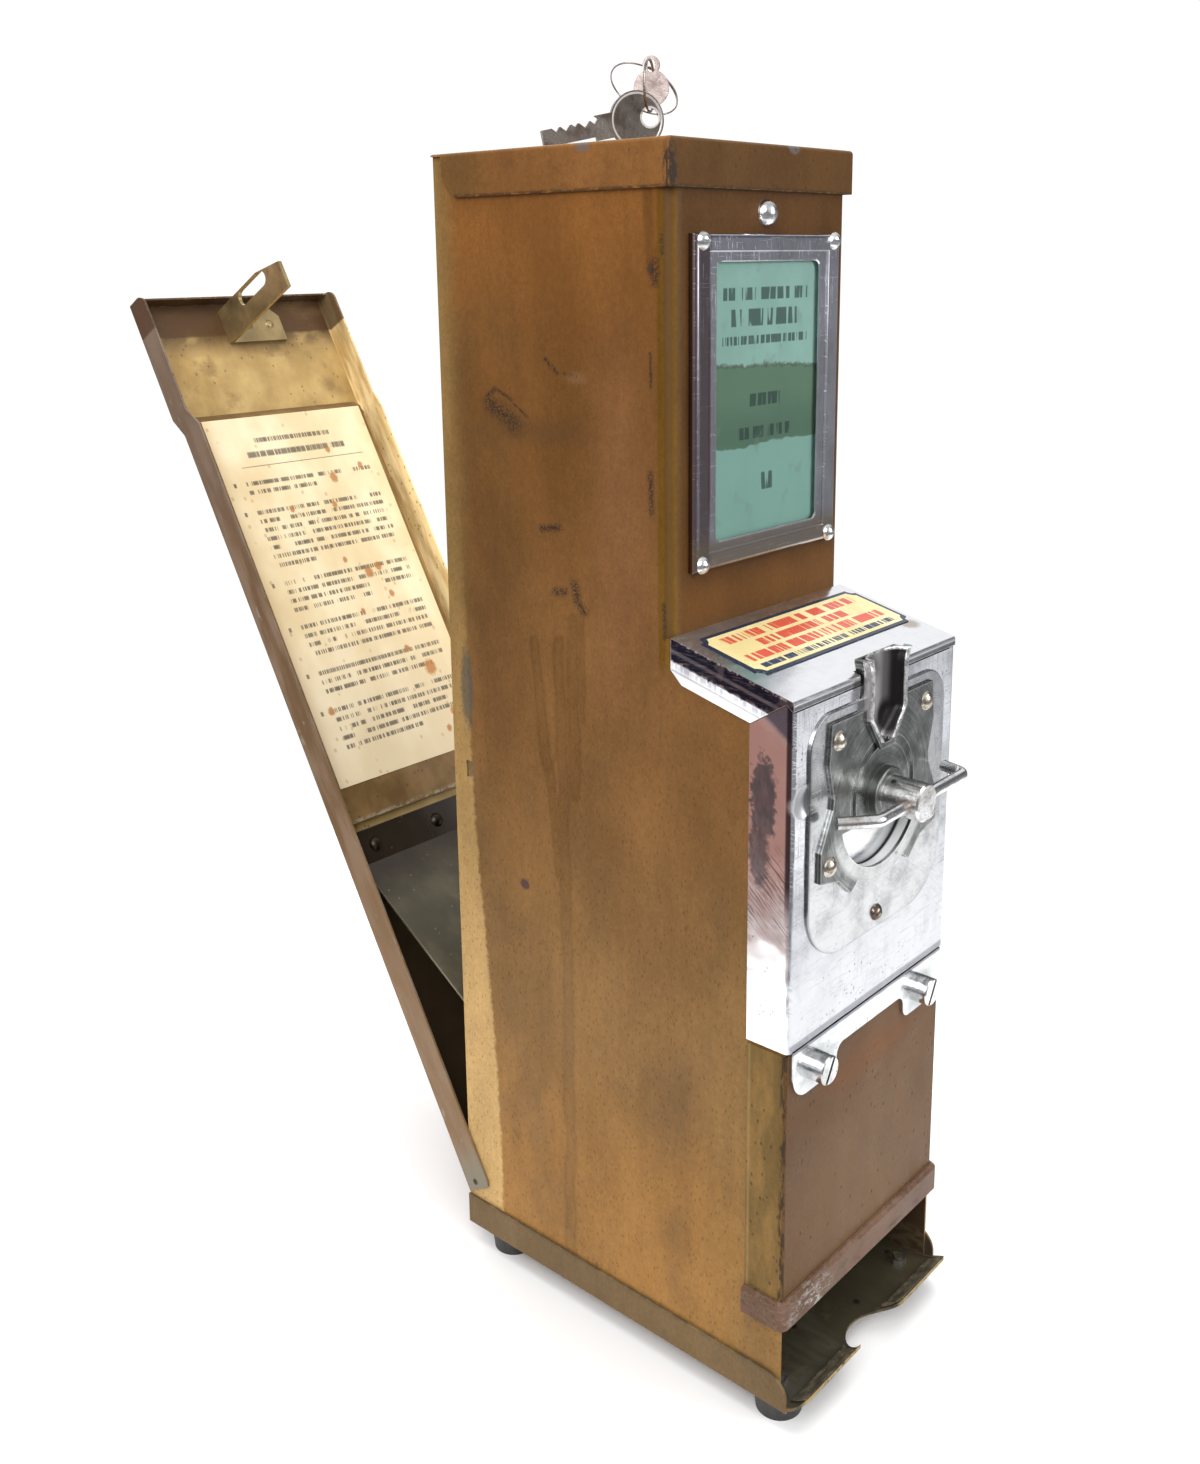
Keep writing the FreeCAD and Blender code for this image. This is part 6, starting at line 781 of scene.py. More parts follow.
def price_card():
    """Mint card behind the glass with generic bars and a darker band torn at its upper edge."""
    paint = Paint("price_card")
    tone = paint.colour(paint.noise((30, 5, 40), 3.0, 0.6).step(0.35, 0.68), (0.46, 0.78, 0.68),
                        (0.56, 0.9, 0.8))
    torn = (paint.noise((5, 5, 5), 4.0, 0.7, shift=2.0) - 0.5) * 7.0
    slope = paint.x * 0.05
    level = paint.height + (torn + slope)
    top = level.step(401.2, 400.2)
    wave = (paint.noise((14, 5, 14), 3.0, 0.6, shift=6.0) - 0.5) * 6.0
    bottom = (paint.height + wave).step(370.0, 371.2)
    band = paint.colour(paint.height.step(374, 392), (0.15, 0.29, 0.19), (0.2, 0.37, 0.24))
    tone = tone.covered(top * bottom, band)
    rip = level.inside(400.0, 401.4, 0.4) * paint.noise((4, 4, 4), 3.0, 0.7)
    tone = tone.covered(rip, (0.105, 0.09, 0.045))
    lower = 1.0 - bottom
    tone = tone.covered(lower, (0.4, 0.72, 0.62))
    bars = largest(card_bar(paint, *bar) for bar in CARD_BARS)
    tone = tone.covered(bars * 0.8, (0.022, 0.07, 0.062))
    stain = paint.noise((12, 5, 14), 4.0, 0.6, shift=7.0).step(0.56, 0.7) * 0.35
    tone = tone.covered(stain, (0.3, 0.42, 0.3))
    paint.bump(paint.noise(1.5, 3.0), 0.15, 0.0003)
    return paint.finish(Base_Color=tone, Roughness=0.55)


PLATE_RED = (0.56, 0.085, 0.050)
PLATE_NAVY = (0.02, 0.035, 0.08)
# Bars on the plate: distance from its rear edge, thickness, half the length and colour.
PLATE_BARS = ((4.0, 4.9, 45, PLATE_RED), (10.8, 4.7, 30, PLATE_RED), (17.4, 5.0, 46, PLATE_RED),
              (24.6, 3.0, 46, PLATE_NAVY))


def yellow_plate():
    """Enamelled plate on the hood: navy rim, three red bars over a navy one, all generic."""
    paint = Paint("yellow_plate")
    low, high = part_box("instruction_plate")
    left, right = low.x * 1000, high.x * 1000
    near, far = (REAR_Y - high.y) * 1000, (REAR_Y - low.y) * 1000
    middle_x, middle_depth = (left + right) / 2, (near + far) / 2
    tone = paint.colour(paint.noise((24, 24, 24), 3.0, 0.6).step(0.35, 0.7), (0.66, 0.54, 0.25),
                        (0.78, 0.68, 0.38))
    beside = (paint.x - left).smaller(right - paint.x)
    edge = beside.smaller((paint.depth - near).smaller(far - paint.depth))
    corner = paint.join(X=abs(paint.x - middle_x) - (right - left) / 2,
                        Y=abs(paint.depth - middle_depth) - (far - near) / 2)
    border = edge.step(1.9, 1.6).larger(paint.measure("LENGTH", corner).step(5.4, 5.1))
    tone = tone.covered(border, (0.013, 0.022, 0.045))
    drop = paint.depth - near
    for top, thick, half, tint in PLATE_BARS:
        across = paint.x.inside(middle_x - half, middle_x + half, 0.3)
        inside = drop.inside(top, top + thick, 0.2)
        broken = paint.noise((thick * 0.4, 60, 60), 1.0, shift=top).step(0.56, 0.52)
        tone = tone.covered(across * inside * broken, tint)
    flaked = paint.noise((2.0, 2.0, 2.0), 5.0, 0.75, shift=3.0).step(0.62, 0.68)
    worn = flaked * paint.noise(20, 2.0, shift=1.0).step(0.45, 0.6)
    tone = tone.covered(worn * 0.7, (0.42, 0.38, 0.27))
    paint.bump(border * -0.4 + paint.noise(3.0, 3.0), 0.2, 0.0003)
    return paint.finish(Base_Color=tone, Roughness=gloss(paint, 0.2, 0.36, worn))


# ---------------------------------------------------------------- bare and plated metal
SHAFT_HEIGHT = (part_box("handle_shaft")[0].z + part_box("handle_shaft")[1].z) * 500 - 1000 * PAN_Z


def scratched(paint, size=0.35, length=16.0, low=0.6, high=0.72):
    """Fine scratches in three directions."""
    one = paint.noise((size, length, length), 2.0, 0.6, shift=2.0, twist=0.3)
    two = paint.noise((length, length, size), 2.0, 0.6, shift=5.0, twist=0.3)
    slanting = paint.turned("Y_AXIS", 0.9)
    spread = paint.vector("MULTIPLY", slanting, (1 / size, 1 / length, 1 / length))
    three = paint.noise_at(spread, 2.0)
    return one.step(low, high).larger(two.step(low, high).larger(three.step(low, high)))


def pitted(paint, size, share, shift, patch, low, high):
    """Small pits that lie together in patches."""
    return paint.specks(size, share, shift) * paint.noise(patch, 3.0).step(low, high)


def hatched(paint, angle=0.75, size=0.3, length=9.0):
    """Dense slanting scratches on the cover's side."""
    spread = paint.vector("MULTIPLY", paint.turned("X_AXIS", angle), (1 / length, 1 / length, 1 / size))
    return paint.noise_at(spread, 3.0).step(0.52, 0.62)


def chromed_sheet():
    """Old chrome of the coin front: scratched and hazy; on its side painted reflections, coppery and dark
    grey, and a painted shadow at the top; a painted highlight on the bulge.
    """
    paint = Paint("chromed_sheet")
    scratches = scratched(paint)
    haze = paint.noise((26, 26, 22), 5.0, 0.62, shift=4.0).step(0.42, 0.72)
    side = paint.x.step(-57.3, -57.7)
    scratches = scratches * (1.0 - side)
    bright = paint.colour(haze, (0.52, 0.535, 0.56), (0.37, 0.38, 0.41))
    low = paint.height.step(196, 170) * 0.7
    bright = bright.covered(low, (0.6, 0.61, 0.63))
    upper = paint.height.step(218, 258) * haze.scale(0.8, 0.5)
    bright = bright.covered(upper, (0.9, 0.91, 0.95))
    tone = bright.covered(side, (0.93, 0.94, 0.96))
    pits = pitted(paint, 1.7, 0.3, 3.0, 22, 0.52, 0.62)
    tone = tone.covered(pits * 0.8, (0.12, 0.11, 0.1))
    ragged = (paint.noise((4, 4, 13), 4.0, 0.7) - 0.5) * 30
    # Painted reflection: worn marks the coppery patch on the side's upper part, below the painted shadow.
    worn = side * (paint.height + ragged).step(204, 226)
    # Painted shadow: the side dark above a slanting line at its top.
    top = (paint.height + (paint.depth - 158) * 0.7).step(289, 284)
    tone = tone.covered((1.0 - top) * side, (0.2, 0.2, 0.26))
    tone = tone.covered(worn * top * 0.85, (0.74, 0.51, 0.46))
    # Painted reflection: a dark grey patch on the side.
    patch = paint.spot((-57.9, 164.8, 251), (3, 5.6, 16), 0.16, 1.5, 3.6)
    tail = paint.spot((-57.9, 163.0, 230), (3, 4.4, 13), 0.3, 1.6, 3.6)
    patch = patch.larger(tail * 0.9)
    patch = patch * paint.noise((2.5, 2.5, 9), 3.0, 0.7).scale(0.55, 1.25)
    tone = tone.covered(patch * side, (0.17, 0.175, 0.2))
    hatch = hatched(paint) * paint.height.inside(200, 230, 9)
    tone = tone.covered(hatch * side * 0.85, (0.14, 0.125, 0.145))
    crease = paint.depth.inside(174.6, 176.8, 0.5) * side
    crease = crease * paint.height.step(200, 222)
    tone = tone.covered(crease * 0.9, (0.035, 0.022, 0.035))
    front = paint.depth.step(176.9, 177.4)
    foot = front * paint.height.inside(154.2, 157.0, 0.5)
    tone = tone.covered(foot * 0.7, (0.16, 0.155, 0.19))
    cloudy = front * paint.noise((7, 30, 20), 4.0, 0.6, shift=8.0).step(0.55, 0.7)
    tone = tone.covered(cloudy * 0.35, (0.38, 0.385, 0.41))
    rough = haze.scale(0.1, 0.24) + scratches * 0.12
    rough = rough + worn.larger(hatch) * 0.08
    # Painted highlight: a white round spot on the bulge beside the shaft.
    dimple_highlight = paint.spot((-51.2, 176.5, SHAFT_HEIGHT + 10.2), (6.6, 5, 6.6), 0.15)
    tone = tone.covered(dimple_highlight * 0.8, (0.9, 0.91, 0.93))
    rough = rough + dimple_highlight * 0.25
    waves = paint.noise((30, 30, 24), 2.0, 0.5, shift=9.0)
    paint.bump(waves * 3.0 + scratches * -0.12, 0.3, 0.0008)
    return paint.finish_metal(tone, rough)


def hood_chrome():
    """Chrome of the hood: scuffed, dull grey round the plate and bright to the right front as painted
    reflection, dark along its rolled edges as painted shade.
    """
    paint = Paint("hood_chrome")
    scratches = scratched(paint, 0.4, 7.0, 0.56, 0.68)
    # Painted reflection: the top lighter towards the right and front, mixed with scuffs.
    lighter = paint.x * 0.01 + (paint.depth - 134) * 0.035
    scuff = paint.noise((9, 5, 5), 4.0, 0.6, shift=4.0).step(0.42, 0.6)
    lighter = lighter + (scuff - 0.5) * 0.35
    top = paint.colour(lighter.step(-0.75, 0.15), (0.6, 0.61, 0.64), (0.97, 0.98, 1.0))
    side = paint.facing((-1, 0, 0))
    drop = 304.4 - (paint.depth - 122) * 0.267 - paint.height
    ragged = (paint.noise((5, 3, 4), 4.0, 0.7, shift=2.0) - 0.5) * 5.0
    low = (drop + ragged).step(8.0, 9.6)
    # Painted shadow: the side dark under the rolled edge, with a lighter bead; painted reflection in the
    # dark lines below it.
    reflected_streaks = paint.noise((9, 2.6, 30), 4.0, 0.7, shift=6.0).step(0.4, 0.62)
    bead = drop.inside(4.2, 5.6, 0.4) * paint.noise((14, 14, 3), 3.0, 0.7, shift=3.0)
    upper_skirt = paint.colour(bead, (0.026, 0.03, 0.062), (0.4, 0.42, 0.46))
    skirt = upper_skirt.covered(low, (0.97, 0.98, 1.0))
    middle = drop.step(13.0, 10.0) * low
    skirt = skirt.covered(reflected_streaks * middle * 0.7, (0.26, 0.28, 0.36))
    skirt = skirt.covered(drop.inside(11.8, 12.6, 0.3) * 0.6, (0.26, 0.27, 0.31))
    tone = top.covered(side, skirt)
    # Painted shade: the hood's front face dark.
    front = paint.depth.step(174.9, 175.6) * drop.step(1.0, 1.8)
    tone = tone.covered(front * 0.85, (0.065, 0.062, 0.075))
    tone = tone.covered(scratches * 0.15, (0.8, 0.81, 0.84))
    # Worn edges, with a painted highlight along them.
    bright = paint.worn_edges(0.8, 0.3, 0.45, (3, 3, 3), 4.0, 0.7)
    tone = tone.covered(bright * 0.85, (0.97, 0.98, 1.0))
    rubbed = paint.x.step(-50, -56) * drop.step(1.2, 0.6)
    rubbed = rubbed * paint.noise((3, 2, 3), 4.0, 0.75, shift=12.0).step(0.5, 0.58)
    tone = tone.covered(rubbed * 0.8, (0.92, 0.94, 0.98))
    rust = paint.spot((50, 161, 294), (5, 3, 5), 0.4, 0.9, 2.0)
    tone = tone.covered(rust * 0.7, (0.42, 0.33, 0.22))
    rough = scuff * 0.06 + lighter.step(0.0, -0.8).scale(0.2, 0.36)
    lean = (drop - 8.8).larger(0.0) * -0.34 * side
    waves = paint.noise((24, 24, 12), 2.0, 0.5, shift=9.0) * 0.5
    paint.bump(waves + (lean + scratches * -0.002), 1.0, 0.001)
    return paint.finish_metal(tone, rough)


def strap_chrome():
    """Chromed strap, smudged grey round the two screws."""
    paint = Paint("strap_chrome")
    scratches = scratched(paint, 0.35, 12.0)
    tone = paint.colour(paint.noise((12, 12, 8), 4.0, 0.65).step(0.38, 0.66), (0.86, 0.87, 0.9),
                        (0.58, 0.6, 0.62))
    for side in (-1, 1):
        smudge_and_shade = paint.spot((38.8 * side, 177, 141.5), (11, 6, 9), 0.6, 1.0, 4.0)
        tone = tone.covered(smudge_and_shade * 0.75, (0.26, 0.28, 0.27))
    pits = pitted(paint, 1.6, 0.3, 3.0, 14, 0.5, 0.6)
    tone = tone.covered(pits * 0.7, (0.1, 0.095, 0.09))
    edge = paint.edges(0.6)
    tone = tone.covered(edge * 0.6, (0.2, 0.2, 0.22))
    top = paint.height.step(152.2, 153.2)
    tone = tone.covered(top * 0.8, (0.075, 0.07, 0.09))
    paint.bump(paint.noise((16, 16, 9), 2.0) + scratches * -0.1, 0.3, 0.0006)
    return paint.finish_metal(tone, 0.15 + scratches * 0.1)


def turned_rings(paint):
    """Distance from the shaft, and wavering noise in rings about it as left by turning."""
    flat = paint.vector("MULTIPLY", paint.vector("SUBTRACT", paint.place, (0, 0, SHAFT_HEIGHT)),
                        (1, 0, 1))
    radius = paint.measure("LENGTH", flat)
    ring = paint.join(X=radius * 1.8)
    ring = paint.vector("ADD", ring, paint.vector("MULTIPLY", paint.place, (0.05, 0.05, 0.05)))
    swirl = paint.noise_at(ring, 3.0)
    return radius, swirl


def coin_casting():
    """Dark worn nickel with turning marks, polished bright round the window at its foot."""
    paint = Paint("coin_casting")
    radius, swirl = turned_rings(paint)
    tarnish = paint.noise((10, 10, 12), 5.0, 0.66, shift=3.0).step(0.34, 0.68)
    tone = paint.colour(tarnish, (0.215, 0.225, 0.22), (0.105, 0.11, 0.107))
    tone = tone.shade(swirl.step(0.32, 0.68).scale(0.72, 1.35))
    below = paint.height.step(238, 222) * radius.step(37, 33.5)
    polished = below * paint.noise((5, 5, 5), 4.0, 0.7, shift=5.0).step(0.2, 0.42)
    tone = tone.covered(polished * 0.7, (0.66, 0.67, 0.67))
    hub = radius.step(14.5, 12.5)
    tone = tone.covered(hub * 0.5, (0.2, 0.205, 0.195))
    throat = paint.height.step(271, 276) * paint.facing((0, -1, 0))
    throat = throat * abs(paint.x).step(12.2, 11.4)
    tone = tone.covered(throat * 0.8, (0.2, 0.185, 0.18))
    edge = paint.edges(0.9, 0.985, 0.88)
    bright = edge * paint.noise((3, 3, 3), 3.0).scale(0.5, 1.1)
    tone = tone.covered(bright * 0.75, (0.82, 0.83, 0.82))
    pits = pitted(paint, 1.3, 0.3, 5.0, 9, 0.46, 0.6)
    tone = tone.covered(pits * 0.6, (0.05, 0.045, 0.04))
    rough = tarnish.scale(0.24, 0.4) - polished * 0.1
    paint.bump(swirl * 0.5 + paint.noise(2.2, 3.0) * 0.5, 0.35, 0.0003)
    return paint.finish_metal(tone, rough)


def coin_plate_metal():
    """Bright plate under the casting, its rolled border dull and dark."""
    paint = Paint("coin_plate_metal")
    scratches = scratched(paint, 0.35, 9.0)
    haze = paint.noise((18, 18, 18), 4.0, 0.65, shift=3.0).step(0.4, 0.7)
    tone = paint.colour(haze, (0.55, 0.56, 0.57), (0.38, 0.39, 0.4))
    upper = paint.height.step(232, 268) * paint.x.step(-34, -14).scale(0.1, 0.75)
    tone = tone.covered(upper * haze.scale(0.6, 1.0), (0.44, 0.46, 0.49))
    left = paint.x.step(-46.6, -48.2)
    border = left * paint.height.step(192, 206)
    border = paint.edges(1.0, 0.995, 0.93).larger(border * 0.8)
    tone = tone.covered(border * 0.8, (0.115, 0.115, 0.13))
    pits = pitted(paint, 1.5, 0.3, 5.0, 12, 0.54, 0.64)
    tone = tone.covered(pits * 0.7, (0.1, 0.09, 0.08))
    rough = haze.scale(0.16, 0.3) + scratches * 0.1
    paint.bump(paint.noise((14, 14, 14), 2.0) + scratches * -0.1, 0.3, 0.0006)
    return paint.finish_metal(tone, rough)


def disc_metal():
    """Polished disc behind the window, with faint turning marks and painted sheen and shade in rings."""
    paint = Paint("disc_metal")
    radius, swirl = turned_rings(paint)
    # Painted sheen and shade: brightest part way out, darker towards the rim.
    rings = ((12, (0.62, 0.64, 0.66)), (22, (0.9, 0.91, 0.9)), (27, (0.7, 0.72, 0.74)),
             (31, (0.36, 0.37, 0.38)))
    tone = paint.ramp(radius, rings)
    tone = tone.shade(swirl.scale(0.8, 1.15))
    paint.bump(swirl * 0.3 + paint.noise((9, 9, 9), 2.0), 0.3, 0.0005)
    return paint.finish_metal(tone, 0.2)


def frame_chrome():
    """Smooth blue-grey chrome of the window frame, with painted highlights along its edges and a painted
    reflection on its left rail.
    """
    paint = Paint("frame_chrome")
    cloud = paint.noise((24, 24, 34), 3.0, 0.55, shift=3.0).step(0.34, 0.68)
    tone = paint.colour(cloud, (0.66, 0.67, 0.73), (0.42, 0.42, 0.46))
    # Painted reflection: the left rail dark, red-brown in a strip near the glass.
    left = paint.x.step(-36.5, -39.5)
    tone = tone.covered(left * 0.8, (0.15, 0.1, 0.105))
    red = paint.x.inside(-39.4, -37.4, 0.5) * paint.height.inside(345, 425, 12)
    tone = tone.covered(red * 0.7, (0.155, 0.035, 0.025))
    # Painted highlight: a light line near the left rail's outer edge.
    outline = paint.x.inside(-46.0, -44.6, 0.4) * paint.noise((4, 4, 30), 3.0, 0.6)
    tone = tone.covered(outline, (0.62, 0.61, 0.62))
    low = paint.height.step(343, 333)
    tone = tone.covered(low * 0.75, (0.33, 0.26, 0.18))
    # Painted highlight along the edges.
    edge = paint.edges(0.7, 0.985, 0.86)
    tone = tone.covered(edge * 0.7, (0.97, 0.97, 1.0))
    outer = paint.depth.step(123.0, 122.4)
    tone = tone.covered(outer * 0.8, (0.17, 0.13, 0.11))
    pits = pitted(paint, 1.5, 0.25, 2.0, 16, 0.56, 0.66)
    tone = tone.covered(pits * 0.5, (0.1, 0.09, 0.09))
    scratches = scratched(paint, 0.35, 14.0, 0.64, 0.74)
    paint.bump(paint.noise((20, 20, 30), 2.0) + scratches * -0.08, 0.3, 0.0006)
    rough = cloud.scale(0.12, 0.22) + scratches * 0.08
    return paint.finish_metal(tone, rough)


KEY_BOW = (-13.56, 69.9, 493.7)
KEY_HOLE = (-8.88, 72.6, 494.8)


def worn_nickel(name, tone_low, tone_high, rough_low, rough_high, worn=None):
    """Nickel or steel with tarnish, pits and scratches, brighter along worn edges."""
    paint = Paint(name)
    tarnish = paint.noise((7, 7, 7), 5.0, 0.66, shift=3.0).step(0.36, 0.68)
    tone = paint.colour(tarnish, tone_high, tone_low)
    scratches = scratched(paint, 0.4, 9.0)
    pits = pitted(paint, 1.4, 0.25, 5.0, 9, 0.48, 0.62)
    tone = tone.covered(pits * 0.6, (0.07, 0.06, 0.05))
    edge = paint.edges(0.45)
    tone = tone.covered(edge * 0.6, worn or tuple((min(0.95, 1.5 * c + 0.1) for c in tone_high)))
    if name == "key_metal":
        bow = paint.away(KEY_BOW)
        hole = paint.away(KEY_HOLE)
        rims = bow.inside(9.7, 10.4, 0.25).larger(hole.inside(3.3, 4.2, 0.25))
        tone = tone.covered(bow.step(11.2, 9.5) * 0.4, (0.075, 0.062, 0.055))
        tone = tone.covered(rims * 0.9, (0.92, 0.88, 0.84))
    rough = tarnish.scale(rough_low, rough_high) + pits * 0.2
    height = scratches * -0.2 + paint.noise(2.2, 3.0) * 0.3
    paint.bump(height, 0.3, 0.0003)
    return paint.finish_metal(tone, rough)


def handle_steel():
    """Polished steel of the shaft and handle, rusty where the rod enters the shaft."""
    paint = Paint("handle_steel")
    tarnish = paint.noise((6, 6, 6), 4.0, 0.66).step(0.38, 0.7)
    tone = paint.colour(tarnish, (0.78, 0.78, 0.78), (0.42, 0.4, 0.38))
    rust = paint.spot((-9.5, 193.4, SHAFT_HEIGHT), (4.2, 3.4, 3.4), 0.5, 1.1, 1.4)
    tone = tone.covered(rust * 0.75, (0.16, 0.075, 0.04))
    specks = paint.specks(1.1, 0.25, 2.0)
    tone = tone.covered(specks * 0.5, (0.12, 0.09, 0.07))
    edge = paint.edges(0.5)
    tone = tone.covered(edge * 0.5, (0.92, 0.92, 0.92))
    paint.bump(paint.noise(1.2, 3.0) + rust, 0.3, 0.0002)
    rough = tarnish.scale(0.13, 0.32) + rust * 0.3
    return paint.finish_metal(tone, rough)


def plate_rivet_metal():
    """Nickel rivets; the one at the plate's foot has rusted."""
    paint = Paint("plate_rivet_metal")
    tarnish = paint.noise(2.4, 4.0, 0.7).step(0.4, 0.66)
    tone = paint.colour(tarnish, (0.6, 0.55, 0.48), (0.26, 0.22, 0.17))
    rust = paint.spot((0, 179, 190.5), (5.5, 6, 5.5), 0.3, 0.5, 1.0)
    rust = rust * paint.noise(1.6, 3.0, shift=3.0).step(0.34, 0.5)
    tone = tone.covered(rust * 0.9, (0.075, 0.04, 0.025))
    paint.bump(paint.noise(0.8, 3.0), 0.3, 0.0002)
    rough = tarnish.scale(0.16, 0.34) + rust * 0.2
    return paint.finish_metal(tone, rough)


def plated_steel(name, tone, spread=0.25, rough=(0.28, 0.5), door=False, metallic=1.0):
    """Zinc-plated or lightly oxidised sheet steel with spangle, scratches and stains."""
    paint = Paint(name, door)
    cloud = paint.noise((15, 15, 18), 4.0, 0.6).step(0.3, 0.7)
    made = paint.shade(tone, cloud.scale(1 - spread, 1 + spread))
    scratches = scratched(paint, 0.5, 14.0, 0.64, 0.74)
    made = made.covered(scratches * 0.3, tuple((min(1, c * 1.7) for c in tone)))
    stain = paint.noise((7, 7, 9), 5.0, 0.7, shift=8.0).step(0.58, 0.7)
    made = made.covered(stain * 0.5, tuple((c * 0.35 for c in tone)))
    paint.bump(scratches * -0.2 + paint.noise(3.0, 3.0), 0.25, 0.0003)
    return paint.finish_metal(made, cloud.scale(*rough), metallic)


def deflector_paint():
    """Dark olive paint with a painted shadow under the liner, worn to metal along the plate's edge."""
    paint = Paint("deflector_paint", door=True)
    cloud = paint.noise((26, 26, 30), 3.0, 0.6).step(0.32, 0.7)
    tone = paint.colour(cloud, (0.066, 0.056, 0.034), (0.12, 0.103, 0.064))
    # Painted shadow: the upper part, under the liner, near black.
    high = paint.height.step(150, 176)
    tone = tone.covered(high * 0.85, (0.02, 0.012, 0.007))
    edge = paint.edges(0.6)
    tone = tone.covered(edge * 0.7, (0.4, 0.36, 0.25))
    specks = paint.specks((2.0, 2.0, 2.4), 0.08, 2.0)
    tone = tone.covered(specks * 0.4, (0.24, 0.22, 0.16))
    paint.bump(paint.noise(2.0, 3.0), 0.2, 0.0003)
    return paint.finish(Base_Color=tone, Roughness=gloss(paint, 0.26, 0.42), Metallic=0.3)


def clear_glass():
    """Window glass: clear, with a thin greenish smear and a gloss that grows at a slant."""
    paint = Paint("clear_glass")
    smear = paint.noise((12, 12, 26), 4.0, 0.65).step(0.48, 0.78)
    slant = paint.node("ShaderNodeFresnel", {"IOR": 1.5})["Fac"]
    cover = slant * 0.9 + smear * 0.06
    paint.bump(paint.noise((24, 24, 30), 2.0), 0.05, 0.0006)
    return paint.finish(Base_Color=(0.16, 0.22, 0.2), Roughness=smear.scale(0.04, 0.2), Alpha=cover,
                        Specular_IOR_Level=0.8)


def black_rubber():
    """Dusty rubber of the feet."""
    paint = Paint("black_rubber")
    dust = paint.noise((5, 5, 3), 4.0, 0.7).step(0.45, 0.75)
    tone = paint.colour(dust, (0.018, 0.018, 0.018), (0.06, 0.056, 0.05))
    paint.bump(paint.noise(1.0, 4.0, 0.7), 0.3, 0.0002)
    return paint.finish(Base_Color=tone, Roughness=dust.scale(0.45, 0.75))


def weight_iron():
    """Rough cast iron of the follower weight."""
    paint = Paint("weight_iron")
    cast = paint.noise(2.0, 5.0, 0.7)
    tone = paint.colour(cast.step(0.35, 0.65), (0.035, 0.034, 0.034), (0.095, 0.088, 0.082))
    rust = paint.noise(8, 4.0, shift=3.0).step(0.58, 0.7)
    tone = tone.covered(rust * 0.6, (0.13, 0.05, 0.02))
    paint.bump(cast, 0.5, 0.0005)
    return paint.finish(Base_Color=tone, Roughness=0.6, Metallic=0.4)


SCREW_NICKEL = worn_nickel("screw_nickel", (0.46, 0.46, 0.45), (0.86, 0.87, 0.88), 0.12, 0.28)
RING_WIRE = worn_nickel("ring_wire", (0.20, 0.16, 0.14), (0.50, 0.45, 0.42), 0.2, 0.34, (0.09, 0.07, 0.06))
DARK_SHEET = plated_steel("dark_sheet", (0.11, 0.085, 0.055), 0.35)

dress(body_lacquer(), "housing_shell", "shelf_rivets")
dress(cap_lacquer(), "top_cap")
dress(pan_lacquer(), "base_pan", "foot_screws")
dress(front_lacquer(), "front_panel")
dress(band_lacquer(), "delivery_band")
dress(door_lacquer(), "door_panel")
dress(liner_metal(), "door_liner")
dress(printed_paper(), "instruction_sheet")
dress(price_card(), "price_card")
dress(yellow_plate(), "instruction_plate")
dress(clear_glass(), "window_glass")
dress(chromed_sheet(), "mechanism_cover")
dress(hood_chrome(), "hood")
dress(strap_chrome(), "fixing_strap")
dress(coin_casting(), "coin_head", "shaft_collar")
dress(coin_plate_metal(), "coin_plate")
dress(disc_metal(), "coin_disc")
dress(frame_chrome(), "window_frame")
dress(handle_steel(), "handle_shaft", "handle_rod")
dress(plate_rivet_metal(), "plate_rivets")
dress(SCREW_NICKEL, "fixing_screws", "window_screws", "bracket_bolt", "lock_body")
dress(worn_nickel("key_metal", (0.115, 0.092, 0.075), (0.30, 0.265, 0.235), 0.26, 0.42),
      "round_key", "lock_plug")
dress(RING_WIRE, "key_ring")
dress(worn_nickel("tag_metal", (0.25, 0.20, 0.19), (0.42, 0.35, 0.33), 0.3, 0.45, (0.10, 0.075, 0.07)),
      "key_tag")
dress(plated_steel("zinc_sheet", (0.46, 0.45, 0.42)), "mechanism_frame", "bearing_plate", "ejector_bed",
      "folder_chute", "chute_bracket", "ejector", "rack_slide", "coin_hopper", "lock_cam")
dress(DARK_SHEET, "delivery_ramp", "cash_box", "cash_box_lid", "cash_box_shelf")
dress(plated_steel("hasp_brass", (0.42, 0.31, 0.15), 0.22, (0.3, 0.46), door=True, metallic=0.75),
      "hasp_bracket", "hasp_rivets")
dress(plated_steel("small_steel", (0.5, 0.49, 0.46)), "rivet_spacers", "bracket_nut", "foot_nuts",
      "shaft_clip", "guide_rod", "lock_nut", "cam_screw")
dress(plated_steel("door_fastener", (0.055, 0.045, 0.032), 0.3, (0.3, 0.45), door=True),
      "deflector_screws", "hinge_rod")
dress(plated_steel("gear_brass", (0.56, 0.38, 0.14), 0.2, (0.2, 0.36)), "drive_pinion")
dress(deflector_paint(), "deflector_plate")
dress(weight_iron(), "follower_weight")
dress(black_rubber(), "rubber_feet")


# ---------------------------------------------------------------- pieces of the scene alone
def add_skin(shape, places, closed):
    """Faces between neighbouring rows of points; closed rows also get a cap at both ends."""
    rows = [[shape.verts.new(place) for place in row] for row in places]
    count = len(rows[0])
    for one, two in zip(rows, rows[1:]):
        for index in range(count if closed else count - 1):
            after = (index + 1) % count
            shape.faces.new((one[index], one[after], two[after], two[index]))
    if closed:
        shape.faces.new(rows[0])
        shape.faces.new(rows[-1])


